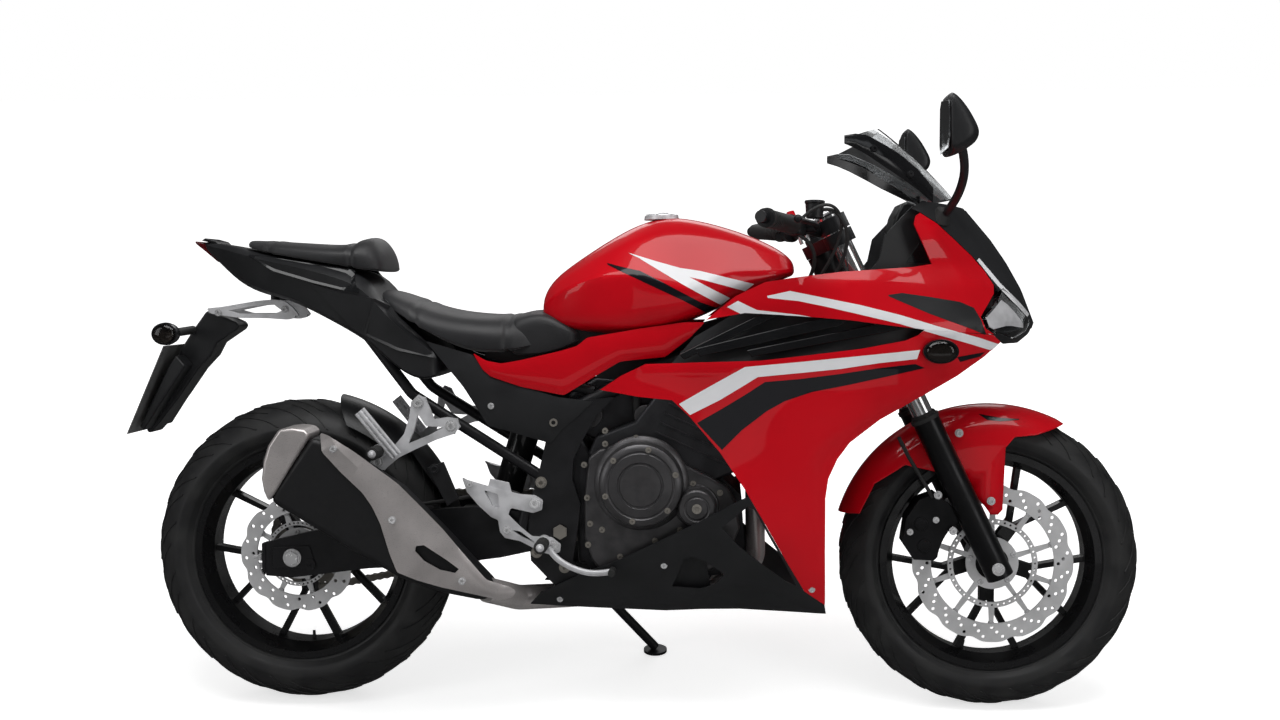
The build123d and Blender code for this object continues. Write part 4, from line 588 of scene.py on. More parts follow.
def cable(name, points, radius, finish, order=4, body="chassis"):
    """Smooth cable or pipe through upright points, as a mesh."""
    curve = bpy.data.curves.new(name, "CURVE")
    curve.dimensions = "3D"
    curve.bevel_depth = radius
    curve.bevel_resolution = 4
    curve.use_fill_caps = True
    spline = curve.splines.new("NURBS")
    spline.points.add(len(points) - 1)
    for control, place in zip(spline.points, points):
        control.co = (*(STANCE @ place), 1)
    spline.order_u = order
    spline.use_endpoint_u = True
    spline.resolution_u = 10
    holder = add_object(name, curve)
    depsgraph = bpy.context.evaluated_depsgraph_get()
    mesh = bpy.data.meshes.new_from_object(holder.evaluated_get(depsgraph))
    bpy.data.objects.remove(holder)
    mesh.name = name
    mesh.materials.clear()
    dress(name, mesh, finish, body)


def upright_copy(source):
    """Evaluated mesh of an object as a merged bmesh, turned upright."""
    depsgraph = bpy.context.evaluated_depsgraph_get()
    bm = bmesh.new()
    bm.from_object(source, depsgraph)
    bmesh.ops.transform(bm, matrix=UPRIGHT, verts=bm.verts)
    bmesh.ops.remove_doubles(bm, verts=bm.verts, dist=0.00002)
    return bm


def right_side(node):
    """Upright places of a node's own points on the right of the machine."""
    bm = upright_copy(NODES[node])
    places = [vert.co.copy() for vert in bm.verts if vert.co.y < 0]
    bm.free()
    return places


def flipped(places, hand):
    """Places of the machine's right side (1), or their mirror images on its left (-1)."""
    return [Vector((place.x, place.y * hand, place.z)) for place in places]


def mean(places):
    """Middle of some places."""
    return sum(places, Vector()) / len(places)


# Stripes: a piece of a panel's own skin, cut where the camera sees the stripe's edges, and lifted a little
STRIPE_LIFT = 0.00045


def cut_skin(source, corners):
    """Near-side skin of a panel inside a convex outline of pixels."""
    bm = upright_copy(source)
    centre = Vector((sum(c[0] for c in corners), sum(c[1] for c in corners))) / len(corners)
    middle = ray(centre)
    for first, second in zip(corners, corners[1:] + corners[:1]):
        normal = ray(first).cross(ray(second)).normalized()
        if normal.dot(middle) > 0:
            normal = -normal
        geometry = bm.verts[:] + bm.edges[:] + bm.faces[:]
        bmesh.ops.bisect_plane(bm, geom=geometry, dist=0.000001, plane_co=EYE, plane_no=normal, clear_outer=True)
    bm.normal_update()
    away = [f for f in bm.faces if f.normal.dot(f.calc_center_median() - EYE) > 0 or f.calc_center_median().y > -0.005]
    bmesh.ops.delete(bm, geom=away, context="FACES")
    return bm


def hide_rear_layers(bm, depth):
    """Drops skin that lies behind the nearest layer by more than a depth."""
    if not bm.verts:
        return
    nearest = min(vert.co.y for vert in bm.verts)
    behind = [f for f in bm.faces if f.calc_center_median().y > nearest + depth]
    bmesh.ops.delete(bm, geom=behind, context="FACES")


def add_stripe(name, sources, bands, finish, body="chassis"):
    """Stripe over one or more panels: bands of paired upper and lower pixels, mirrored to the other side."""
    whole = bmesh.new()
    for upper, lower in bands:
        for corners in zip(upper, upper[1:], lower[1:], lower):
            corners = [Vector(corner) for corner in corners]
            for source in sources:
                bm = cut_skin(source, corners)
                hide_rear_layers(bm, 0.06)
                mesh = bpy.data.meshes.new("cut")
                bm.to_mesh(mesh)
                bm.free()
                whole.from_mesh(mesh)
                bpy.data.meshes.remove(mesh)
    bmesh.ops.remove_doubles(whole, verts=whole.verts, dist=0.00003)
    whole.normal_update()
    for vert in whole.verts:
        vert.co += vert.normal * STRIPE_LIFT
    mirrored(whole)
    bmesh.ops.recalc_face_normals(whole, faces=whole.faces)
    for face in whole.faces:
        if face.normal.y * face.calc_center_median().y < 0:
            face.normal_flip()
    dress(name, leaned_mesh(name, whole), finish, body)


# Softboxes, in metres: place, aim, width, height, and the setting of which each has a share
SOFTBOXES = (
    ("Overhead softbox", (0.1, -0.6, 3.1), (0, -0.1, 0.5), 3.2, 1.5, "key_power", 1.0),
    ("Front softbox", (3.0, -2.6, 1.7), (0.4, 0, 0.6), 1.4, 2.2, "side_power", 1.0),
    ("Rear softbox", (-3.0, -2.2, 1.9), (-0.4, 0, 0.6), 1.2, 2.2, "side_power", 0.8),
    ("Left softbox", (0.2, 3.2, 2.2), (0, 0, 0.6), 3.0, 1.2, "side_power", 1.0),
    ("Low strip", (0.4, -3.4, 0.5), (0.1, 0, 0.5), 3.6, 0.5, "side_power", 0.12),
)


# Operators: the stage, then the pieces
class MOTORCYCLE_OT_stage(Operator):
    """Floor, lights, world and the photograph's camera"""

    bl_idname = "motorcycle.stage"
    bl_label = "Stage and camera"

    def execute(self, context):
        scene = context.scene
        light = scene.motorcycle_light
        scene.view_settings.view_transform = "Standard"
        data = bpy.data.cameras.new("Camera")
        data.sensor_width = SENSOR_WIDTH
        data.lens = EYE_FOCAL / PICTURE_SIZE[0] * SENSOR_WIDTH
        data.clip_start = 0.05
        camera = add_object("Camera", data)
        turn = Matrix((EYE_RIGHT, EYE_UP, -EYE_FORWARD)).transposed().to_4x4()
        camera.matrix_world = STANCE @ Matrix.Translation(EYE) @ turn
        scene.camera = camera

        floor_mesh = bmesh.new()
        bmesh.ops.create_grid(floor_mesh, x_segments=1, y_segments=1, size=FLOOR_SIZE)
        mesh = bpy.data.meshes.new("Floor")
        floor_mesh.to_mesh(mesh)
        floor_mesh.free()
        floor = add_object("Floor", mesh)
        mesh.materials.append(self.floor_material())

        world = bpy.data.worlds.new("Studio")
        scene.world = world
        world.use_nodes = True
        tree = world.node_tree
        path = tree.nodes.new("ShaderNodeLightPath")
        pale = calc(tree, "MAXIMUM", path.outputs["Is Camera Ray"], path.outputs["Is Transmission Ray"])
        dim = ramp(tree, path.outputs["Is Glossy Ray"], 0.0, 1.0, light.ambient, light.reflected)
        shown = calc(tree, "MAXIMUM", pale, dim)
        tree.links.new(shown, tree.nodes["Background"].inputs["Strength"])
        tree.nodes["Background"].inputs["Color"].default_value = (1, 1, 1, 1)

        for name, place, aim, width, height, setting, share in SOFTBOXES:
            lamp = bpy.data.lights.new(name, "AREA")
            lamp.shape = "RECTANGLE"
            lamp.size = width
            lamp.size_y = height
            lamp.energy = getattr(light, setting) * share
            holder = add_object(name, lamp)
            holder.location = place
            holder.rotation_euler = (Vector(aim) - Vector(place)).to_track_quat("-Z", "Y").to_euler()
        return {"FINISHED"}

    def floor_material(self):
        """White studio floor that keeps a soft shadow, and shows dark grey in reflections as painted shade."""
        material = bpy.data.materials.new("Studio floor")
        material.use_nodes = True
        tree = material.node_tree
        shader = tree.nodes["Principled BSDF"]
        shader.inputs["Roughness"].default_value = 0.9
        shader.inputs["Emission Color"].default_value = (1, 1, 1, 1)
        path = tree.nodes.new("ShaderNodeLightPath")
        # Painted shade: seen in reflections the floor is dark grey, so the paint and metal reflect a dim floor.
        tint(tree, shader, (0.9, 0.9, 0.9), (0.12, 0.12, 0.12), path.outputs["Is Glossy Ray"])
        place = tree.nodes.new("ShaderNodeTexCoord")
        away = tree.nodes.new("ShaderNodeVectorMath")
        away.operation = "LENGTH"
        tree.links.new(place.outputs["Object"], away.inputs[0])
        glow = ramp(tree, away.outputs["Value"], 1.0, 2.6, 0.66, 1.0)
        tree.links.new(calc(tree, "MULTIPLY", path.outputs["Is Camera Ray"], glow), shader.inputs["Emission Strength"])
        return material


class MOTORCYCLE_OT_finish_nodes(Operator):
    """Finishes on the model's own pieces"""

    bl_idname = "motorcycle.finish_nodes"
    bl_label = "Finish model pieces"

    def execute(self, context):
        make_materials()
        for name, finish in NODE_FINISH.items():
            node = NODES[name]
            node.data.materials.clear()
            node.data.materials.append(MATERIALS[finish])
        return {"FINISHED"}


# Tyres, in metres: radius, width, radius of the crown, distance of the bead from the middle
TYRES = (
    ("front_tyre_tread", "front_wheel", "front_tyre", FRONT_AXLE, 0.300, 0.120, 0.062, 0.0397),
    ("rear_tyre_tread", "rear_wheel", "rear_tyre", REAR_AXLE, 0.312, 0.160, 0.086, 0.0547),
)
BEAD_TOP = 0.224
TREAD_ROWS = 13
# Side wall below the shoulder: share of the half width, and share of the way down to the bead
WALL_SHARES = (
    (0.996, 0.12), (0.985, 0.26), (0.962, 0.38), (0.955, 0.42), (0.93, 0.52), (0.895, 0.62), (0.87, 0.655),
    (0.83, 0.76), (0.78, 0.85), (0.775, 0.9),
)


def tyre_profile(radius, width, crown, bead):
    """Half section of a tyre from the middle of the tread to the bead, as (across, height)."""
    half = width / 2
    steps = [half * math.sin(math.pi / 2 * index / TREAD_ROWS) for index in range(TREAD_ROWS + 1)]
    tread = [(y, radius - crown + math.sqrt(crown**2 - y**2)) for y in steps]
    shoulder = tread[-1][1]
    rise = shoulder - BEAD_TOP
    wall = [(max(half * share, bead), shoulder - rise * drop) for share, drop in WALL_SHARES]
    return tread + wall + [(bead + 0.002, BEAD_TOP - 0.002), (bead, BEAD_TOP - 0.006)]


# Grooves of one pitch of the tread: the step along the pitch, and the rows from the middle outwards
TREAD_GROOVES = ((0, 1, 9), (9, 4, 10), (16, 0, 5))
TREAD_STEPS = 24
TREAD_SWEEP = 0.5


class MOTORCYCLE_OT_tyres(Operator):
    """Tyres with sweeping tread grooves"""

    bl_idname = "motorcycle.tyres"
    bl_label = "Tyres"

    def execute(self, context):
        for tyre in TYRES:
            self.make_tyre(context.scene.motorcycle_tyres, *tyre)
        return {"FINISHED"}

    def make_tyre(self, settings, name, body, node, centre, radius, width, crown, bead):
        """Turns a tyre's section and presses the grooves into its tread."""
        half = tyre_profile(radius, width, crown, bead)
        shoulder = half[TREAD_ROWS][1]
        steps = settings.pitches * TREAD_STEPS
        profile = [(-y, r) for y, r in reversed(half[1:])] + half
        bm = bmesh.new()
        points = []
        for across, height in profile:
            share = min(1.0, abs(across) / (width / 2)) if height > shoulder - 0.0001 else 1.0
            lag = TREAD_SWEEP * share**1.4
            points.append(centre + Vector((math.sin(lag) * height, across, math.cos(lag) * height)))
        ring_path(bm, points, centre, steps)
        bm.normal_update()
        bm.faces.ensure_lookup_table()
        grooves = []
        for face in bm.faces:
            spot_at = face.calc_center_median() - centre
            across = spot_at.y
            height = math.hypot(spot_at.x, spot_at.z)
            if height < shoulder:
                continue
            side = 0 if across < 0 else 1
            row = sum(1 for y, _ in half[1:TREAD_ROWS + 1] if y < abs(across))
            share = min(1.0, abs(across) / (width / 2))
            turn = math.atan2(spot_at.x, spot_at.z) - TREAD_SWEEP * share**1.4
            step = round(turn / math.tau * steps - 0.5) + side * TREAD_STEPS // 2
            place = step % TREAD_STEPS
            if any(place == at and low <= row <= high for at, low, high in TREAD_GROOVES):
                grooves.append(face)
        bmesh.ops.inset_region(bm, faces=grooves, thickness=0.0004, depth=-settings.groove_depth, use_even_offset=True)
        add_piece(name, bm, "tyre", (node,), smooth=32.0, body=body)


# Front bodywork in plan: half widths at distances behind a leaning front edge, in millimetres
BODY_BACK = (0, 14, 40, 80, 130, 220, 370, 520, 670, 820, 1000)
BODY_ROWS = (
    (196, 780, (5, 10, 20, 35, 60, 90, 104, 108, 110, 108, 100)),
    (260, 780, (10, 15, 30, 55, 85, 118, 142, 150, 152, 150, 142)),
    (400, 780, (20, 30, 50, 85, 120, 155, 184, 190, 184, 172, 162)),
    (550, 780, (30, 45, 70, 110, 145, 184, 208, 205, 190, 174, 164)),
    (700, 785, (40, 62, 92, 134, 168, 205, 226, 214, 190, 170, 160)),
    (780, 826, (30, 64, 102, 138, 166, 198, 220, 206, 182, 165, 155)),
    (850, 799, (28, 54, 86, 118, 148, 178, 200, 188, 165, 155, 150)),
    (905, 768, (26, 44, 66, 94, 122, 154, 180, 172, 160, 150, 145)),
    (950, 737, (26, 42, 66, 96, 126, 158, 176, 170, 160, 150, 145)),
    (1030, 670, (26, 46, 74, 101, 126, 150, 164, 160, 150, 140, 130)),
)
UPPER_OUTLINE = (
    (163, 794), (219, 839), (276, 866), (344, 876), (420, 885), (497, 890), (560, 894), (600, 900), (566, 978),
    (570, 994), (579, 1000), (614, 979), (652, 945), (685, 915), (710, 886), (724, 859), (722, 842), (700, 812),
    (690, 798), (700, 775), (718, 764), (640, 769), (579, 775), (532, 780), (437, 793), (342, 801), (237, 807),
)
NOSE_OUTLINE = (
    (580, 1001), (615, 980), (653, 946), (686, 916), (711, 886.8), (725, 859.6), (733, 846), (745, 853),
    (773, 828), (799, 805), (809, 790), (800, 766), (764, 753), (726, 766), (722, 758), (740, 744), (780, 744),
    (900, 762), (900, 776), (900, 790), (900, 804), (900, 818), (900, 832), (900, 846), (900, 860), (900, 874),
    (900, 888), (900, 902), (900, 916), (900, 930), (900, 944), (900, 958), (900, 972), (900, 986), (900, 1000),
    (900, 1014), (585, 1024), (562, 1008),
)
LAMP_OUTLINE = (
    (703, 803), (727, 822), (742, 850), (757, 840.5), (772.4, 826.8), (798, 804.4), (808, 790), (798.6, 767.4),
    (763, 754.4), (728, 768), (708, 779), (700, 790),
)
FAIRING_OUTLINE = (
    (-45, 657), (-3, 685), (45, 708), (151, 712), (266, 716), (342, 725), (456, 739), (541, 754), (566, 764),
    (579, 774.4), (640, 768.4), (716.5, 762.6), (734.4, 747.8), (702, 720), (646, 684), (570, 644), (495, 602),
    (438, 557), (415, 525), (398, 486), (393, 447), (394, 340), (397, 225), (355, 257), (324, 311), (276, 398),
    (237, 466), (189, 538), (132, 605), (97, 638), (30, 644),
)
BELLY_OUTLINE = (
    (-191, 222), (-167, 250), (-87, 290), (-8, 321), (71, 361), (150, 401), (228, 444), (244.4, 451.8),
    (275.5, 397.7), (323.5, 310.7), (354.6, 256.6), (396.4, 224.4), (400, 205), (228, 216), (150, 215),
    (81, 211), (-48, 216),
)
SIDE_PANEL_OUTLINE = (
    (-300, 728), (-274, 713), (-244, 707), (-204, 714), (-125, 732), (-92, 742), (-73, 758), (33, 776),
    (119, 788), (160, 788), (131, 758), (82, 720), (-7, 711), (-60, 680), (-119, 644), (-205, 661), (-264, 681),
    (-280, 694),
)
FRAME_COVER_OUTLINE = (
    (-395, 752), (-300, 724), (-264, 678), (-130, 640), (-60, 632), (-90, 604), (-125, 574), (-146, 548),
    (-175, 556), (-240, 575), (-272, 583), (-288, 610), (-320, 660), (-336, 680),
)


def eased(places, values, at):
    """Value between listed places, on a smooth curve without overshoot."""
    last = len(places) - 1
    if at <= places[0]:
        return values[0]
    if at >= places[last]:
        return values[last]
    index = next(i for i in range(last) if at <= places[i + 1])
    slopes = [(values[i + 1] - values[i]) / (places[i + 1] - places[i]) for i in range(last)]

    def tangent(i):
        if i == 0 or i == last:
            return slopes[min(i, last - 1)]
        before, after = slopes[i - 1], slopes[i]
        return 0.0 if before * after <= 0 else 2 * before * after / (before + after)

    run = places[index + 1] - places[index]
    t = (at - places[index]) / run
    low, high = values[index], values[index + 1]
    return (
        low * (1 + 2 * t) * (1 - t) ** 2 + high * t * t * (3 - 2 * t)
        + run * t * (1 - t) * (tangent(index) * (1 - t) - tangent(index + 1) * t)
    )


def front_edge(z):
    """Distance ahead of the body's front edge at a height, in millimetres."""
    for (low, near, _), (high, far, _) in zip(BODY_ROWS, BODY_ROWS[1:]):
        if z <= high:
            return near + (far - near) * max(0.0, z - low) / (high - low)
    return BODY_ROWS[-1][1]


def body_half(x, z):
    """Half width of the smooth front body, in millimetres."""
    back = max(0.0, front_edge(z) - x)
    halves = [eased(BODY_BACK, half, back) for _, _, half in BODY_ROWS]
    half = eased([row[0] for row in BODY_ROWS], halves, z)
    if back < BODY_BACK[2]:
        half *= math.sqrt(back / BODY_BACK[2]) ** 0.8
    return half


def on_body(pixel):
    """Upright place in millimetres where the camera's ray meets the near side of the front body."""
    across = -180.0
    for _ in range(4):
        place = sight(pixel, across) / MM
        across = -body_half(place.x, place.z)
    return place.x, place.z


def segment_gap(x, z, line):
    """Distance from a point to a polyline, with a sign for its side."""
    best = (1e9, 1)
    for (ax, az), (bx, bz) in zip(line, line[1:]):
        dx, dz = bx - ax, bz - az
        t = max(0.0, min(1.0, ((x - ax) * dx + (z - az) * dz) / (dx * dx + dz * dz)))
        gap = math.hypot(x - ax - t * dx, z - az - t * dz)
        if gap < best[0]:
            best = (gap, 1 if dx * (z - az) - dz * (x - ax) > 0 else -1)
    return best


def inside(x, z, outline):
    """Whether a point lies inside a closed outline."""
    found = False
    for (ax, az), (bx, bz) in zip(outline, outline[1:] + outline[:1]):
        if (az > z) != (bz > z) and x < (bx - ax) * (z - az) / (bz - az) + ax:
            found = not found
    return found


def resampled(line, step, close=False):
    """Points along a polyline no farther apart than a step, its corners kept."""
    corners = list(line) + ([line[0]] if close else [])
    points = []
    for (ax, az), (bx, bz) in zip(corners, corners[1:]):
        parts = max(1, math.ceil(math.hypot(bx - ax, bz - az) / step))
        points += [(ax + (bx - ax) * i / parts, az + (bz - az) * i / parts) for i in range(parts)]
    return points if close else points + [corners[-1]]


def rounded(outline, radius):
    """Outline with its corners cut by short arcs, apart from those with no room for one."""
    points = []
    count = len(outline)
    for index, corner in enumerate(outline):
        before, after = outline[index - 1], outline[(index + 1) % count]
        one = math.hypot(before[0] - corner[0], before[1] - corner[1])
        two = math.hypot(after[0] - corner[0], after[1] - corner[1])
        reach = min(radius, one * 0.4, two * 0.4)
        if reach < 1:
            points.append(corner)
            continue
        start = [corner[i] + (before[i] - corner[i]) * reach / one for i in (0, 1)]
        end = [corner[i] + (after[i] - corner[i]) * reach / two for i in (0, 1)]
        for step in range(4):
            t = step / 3
            points.append(tuple(
                start[i] * (1 - t) ** 2 + corner[i] * 2 * t * (1 - t) + end[i] * t * t for i in (0, 1)
            ))
    return points


def panel_mesh(outline, depth, creases=(), holes=(), step=13.0):
    """Half skin over an outline: every point is set out by a depth function of (x, z), in millimetres."""
    rim = resampled(outline, step * 0.6, close=True)
    points = [Vector(p) for p in rim]
    edges = [(i, (i + 1) % len(rim)) for i in range(len(rim))]
    for hole in holes:
        ring = resampled(hole, step * 0.5, close=True)
        start = len(points)
        points += [Vector(p) for p in ring]
        edges += [(start + i, start + (i + 1) % len(ring)) for i in range(len(ring))]
    for line in creases:
        marks = resampled(line, step * 0.7)
        marks = [p for p in marks if inside(*p, rim) and segment_gap(*p, rim + rim[:1])[0] > 1.5]
        start = len(points)
        points += [Vector(p) for p in marks]
        edges += [(start + i, start + i + 1) for i in range(len(marks) - 1)
                  if math.hypot(marks[i][0] - marks[i + 1][0], marks[i][1] - marks[i + 1][1]) < step * 1.5]
    heights = [p[1] for p in outline]
    z = min(heights) + step / 2
    closed = rim + rim[:1]
    while z < max(heights):
        tip = front_edge(z)
        for place in (1.5, 4.5, 9.5):
            if inside(tip - place, z, rim) and segment_gap(tip - place, z, closed)[0] > 1:
                points.append(Vector((tip - place, z)))
        back = 18.0
        while back < 1100:
            x = tip - back
            if inside(x, z, rim) and segment_gap(x, z, closed)[0] > step * 0.35:
                if all(segment_gap(x, z, line)[0] > step * 0.35 for line in creases):
                    points.append(Vector((x, z)))
            back += step
        z += step
    verts, _, faces, _, _, _ = delaunay_2d_cdt(points, edges, [], 1 if not holes else 2, 0.01)
    bm = bmesh.new()
    made = [bm.verts.new(spot(p.x, -depth(p.x, p.y), p.y)) for p in verts]
    for face in faces:
        middle = sum((verts[i] for i in face), Vector((0, 0))) / len(face)
        if inside(middle.x, middle.y, rim) and not any(inside(middle.x, middle.y, hole) for hole in holes):
            try:
                bm.faces.new([made[i] for i in face])
            except ValueError:
                pass
    loose = [v for v in bm.verts if not v.link_faces]
    bmesh.ops.delete(bm, geom=loose, context="VERTS")
    bmesh.ops.recalc_face_normals(bm, faces=bm.faces)
    outward = sum(face.normal.y * face.calc_area() for face in bm.faces)
    if outward > 0:
        bmesh.ops.reverse_faces(bm, faces=bm.faces)
    return bm


def shell(bm, wall):
    """Gives a half skin a wall inwards and adds the other side."""
    bmesh.ops.solidify(bm, geom=bm.faces[:], thickness=wall * MM)
    mirrored(bm)


# Creases of the panels, in the photograph's pixels, each with how far it bends and how far that fades out
FLANK = (
    (827, 606), (818, 560), (810, 500), (808, 475), (812, 458), (822, 445), (838, 434), (860, 421), (900, 403),
    (940, 382), (978, 361),
)
WAIST = ((640, 366), (690, 370), (745, 366), (800, 361), (850, 356), (900, 352), (960, 350))
BROW = ((800, 287), (850, 281), (900, 277), (960, 276), (996, 290))
HORN = ((921, 216), (935, 235), (950, 256), (960, 274))
INSERT_TOP = ((760, 305), (800, 304), (850, 311), (900, 322), (950, 338))
NOSE_LINE = ((962, 212), (985, 240), (1003, 270), (1018, 300))
BELLY_LINE = ((560, 600), (630, 597), (690, 599), (731, 584), (770, 590), (820, 612))
BELLY_WINDOWS = (
    ((722, 528), (736, 517), (748, 507), (754, 510), (768, 535), (783, 561), (797, 587), (786, 582), (762, 565),
     (738, 546)),
    ((672, 587), (684, 559), (692, 557), (708, 563), (724, 575), (716, 584), (700, 589)),
)

# Screws and fillers in the photograph's pixels, and the heights of the nose's seam in millimetres
PANEL_SCREWS = ((812, 590), (664, 566), (560, 599))
COVER_SCREW = (491, 406)
NOSE_SEAM = (770, 1012)
UNDER_TANK = (
    (478, 334), (520, 332), (562, 322), (600, 318), (645, 322), (645, 342), (610, 352), (572, 362), (525, 366),
    (486, 358),
)
# Backs of the openings: outlines in millimetres
VENT_DUCT = (
    (88, 700), (140, 760), (230, 812), (420, 806), (520, 790), (640, 775), (600, 735), (440, 728), (200, 704),
)
BELLY_DUCT = ((20, 232), (40, 300), (110, 350), (160, 330), (170, 262), (120, 228))
VENT_VANES = (((150, 722), (420, 790), 26), ((250, 722), (540, 782), 22), ((120, 716), (300, 806), 18))
# The nearest distance to the left of the tank's cover screws
COVER_OUT = 139.5


def bent(line, side, amount, width, both=False):
    """Depth change beside a crease: a fall on one side, or a ridge on both."""

    def change(x, z):
        gap, way = segment_gap(x, z, line)
        if both:
            return amount * math.exp(-gap / width)
        return amount * min(1.0, gap / width) if way == side else 0.0

    return change


class MOTORCYCLE_OT_body(Operator):
    """Front bodywork as smooth creased panels with a wall, and the dark ducts behind their openings"""

    bl_idname = "motorcycle.body"
    bl_label = "Front bodywork"

    def execute(self, context):
        lines = {
            name: [on_body(pixel) for pixel in line]
            for name, line in (
                ("flank", FLANK), ("waist", WAIST), ("brow", BROW), ("horn", HORN), ("insert", INSERT_TOP),
                ("nose", NOSE_LINE), ("belly", BELLY_LINE),
            )
        }
        ridges = [
            bent(lines["flank"], -1, -9.0, 26.0), bent(lines["waist"], 1, 6.0, 30.0, True),
            bent(lines["brow"], 1, 5.0, 24.0, True), bent(lines["horn"], 1, 4.0, 20.0, True),
            bent(lines["insert"], -1, -5.0, 18.0), bent(lines["nose"], 1, 4.0, 18.0, True),
            bent(lines["belly"], 1, 5.0, 20.0, True),
        ]

        def depth(x, z):
            half = body_half(x, z)
            share = min(1.0, max(0.0, (front_edge(z) - x) / 60))
            return max(0.0, half + share * sum(ridge(x, z) for ridge in ridges))

        def lower(amount):
            return lambda x, z: max(0.0, depth(x, z) - amount)

        windows = [[on_body(pixel) for pixel in window] for window in BELLY_WINDOWS]
        rows = (
            ("upper_cowl_panels", "upper_cowl", UPPER_OUTLINE, "red", ("brow", "horn", "insert"), ()),
            ("nose_cowl_shell", "nose_cowl", NOSE_OUTLINE, "plastic", ("nose",), ()),
            ("side_fairing_panels", "side_fairings", FAIRING_OUTLINE, "red", ("flank", "waist"), ()),
            ("belly_cowl_shell", "belly_cowl", BELLY_OUTLINE, "plastic", ("belly",), windows),
            ("headlight_lens", "headlights", LAMP_OUTLINE, "lens", (), ()),
        )
        for name, node, outline, finish, names, holes in rows:
            outline = [(min(x, front_edge(z)), z) for x, z in outline]
            bm = panel_mesh(outline, depth, [lines[key] for key in names], holes)
            shell(bm, 2.6)
            add_piece(name, bm, finish, (node,), smooth=26)

        backs = (
            ("vent_duct", VENT_DUCT, 32.0, "plastic"),
            ("belly_duct", BELLY_DUCT, 16.0, "plastic"),
            ("headlight_housing", LAMP_OUTLINE, 24.0, "gloss"),
        )
        for name, outline, inward, finish in backs:
            outline = [(min(x, front_edge(z) - 2), z) for x, z in outline]
            bm = panel_mesh(outline, lower(inward), step=18.0)
            shell(bm, 2.0)
            add_piece(name, bm, finish, smooth=30)

        slats = bmesh.new()
        for start, end, width in VENT_VANES:
            outline = [
                (start[0], start[1]), (end[0], end[1] - width * 0.3), (end[0] + 20, end[1] + width * 0.4),
                (end[0] - 10, end[1] + width * 0.5), (start[0] - 10, start[1] + width * 0.6),
            ]
            far = -body_half(*end) + 14
            near = -body_half(*start) + 14
            rate = (far - near) / (end[0] - start[0])
            corners = [spot(x, near + rate * (x - start[0]), z) for x, z in outline]
            thicken(slats, sheet_face(slats, corners), ACROSS * 0.008)
        mirrored(slats)
        add_piece("vent_vanes", slats, "gloss", bevel=0.002)

        screws = bmesh.new()
        for pixel in PANEL_SCREWS:
            x, z = on_body(pixel)
            for hand in HANDS if x > 0 else (-1,):
                bolt(screws, spot(x, hand * (depth(x, z) - 0.6), z), ACROSS * hand, 0.0048, 0.0036)
        x, z = sight_xz(COVER_SCREW, -COVER_OUT)
        for hand in HANDS:
            bolt(screws, spot(x, hand * COVER_OUT, z), ACROSS * hand, 0.0048, 0.0036)
        add_piece("panel_screws", screws, "bright")

        seam = bmesh.new()
        skin(seam, [
            [spot(front_edge(z) + ahead, side, z) for ahead, side in ((-5, -8), (0.6, -5), (0.6, 5), (-5, 8))]
            for z in range(NOSE_SEAM[0], NOSE_SEAM[1], 12)
        ])
        add_piece("nose_seam", seam, "plastic", smooth=50, bevel=0.001)
        fillers = bmesh.new()
        for hand in HANDS:
            plate(fillers, [sight_xz(pixel, -88) for pixel in UNDER_TANK], hand * 84, hand * 89)
        add_piece("under_tank_panels", fillers, "plastic", bevel=0.001)
        flat = [
            ("side_panel_skins", "side_panels", SIDE_PANEL_OUTLINE, "red", 140.0),
            ("frame_cover_skins", "frame_covers", FRAME_COVER_OUTLINE, "plastic", 137.4),
        ]
        for name, node, outline, finish, out in flat:
            closed = outline + outline[:1]

            def crown(x, z, closed=closed, out=out):
                gap = segment_gap(x, z, closed)[0]
                return out + 5.0 * (1 - math.exp(-gap / 14.0)) - 3.0

            bm = panel_mesh(rounded(outline, 5), crown, step=9.0)
            shell(bm, 3.0)
            add_piece(name, bm, finish, (node,), smooth=32)
        return {"FINISHED"}


# Fuel tank: half sections across the machine, from the crest down and in under the edge, in millimetres
TANK_SECTIONS = (
    (-172, ((0, 836), (22, 835), (44, 828), (58, 818), (60, 808), (56, 800), (40, 796))),
    (-160, ((0, 862), (26, 860), (56, 848), (76, 828), (80, 806), (74, 792), (50, 786))),
    (-138, ((0, 886), (32, 883), (68, 868), (99, 845), (99, 806), (94, 784), (66, 776))),
    (-98, ((0, 915), (38, 911), (80, 892), (123, 862), (119, 808), (114, 778), (80, 766))),
    (-40, ((0, 953), (44, 948), (90, 924), (141, 882), (134, 818), (128, 774), (92, 760))),
    (20, ((0, 987), (50, 981), (97, 950), (153, 884), (147, 824), (140, 776), (100, 762))),
    (80, ((0, 1004), (56, 997), (102, 963), (159, 862), (156, 824), (147, 786), (104, 772))),
    (140, ((0, 997), (60, 990), (102, 956), (156, 848), (154, 828), (146, 804), (104, 790))),
    (200, ((0, 981), (58, 975), (90, 952), (134, 890), (140, 858), (130, 832), (96, 820))),
    (262, ((0, 959), (52, 954), (78, 936), (112, 888), (118, 872), (110, 858), (84, 850))),
    (316, ((0, 932), (44, 928), (64, 916), (90, 892), (95, 884), (90, 877), (70, 872))),
    (342, ((0, 906), (34, 904), (50, 898), (64, 890), (66, 886), (62, 882), (48, 879))),
)
TANK_CREASES = {2: 0.4, 3: 0.85, 4: 0.2}
CAP_AT = (70, 1001)


def half_ring(x, points):
    """Closed ring across the machine from a half listed from its top to its foot."""
    right = [spot(x, -y, z) for y, z in points]
    left = [spot(x, y, z) for y, z in reversed(points) if y != 0]
    return right + left


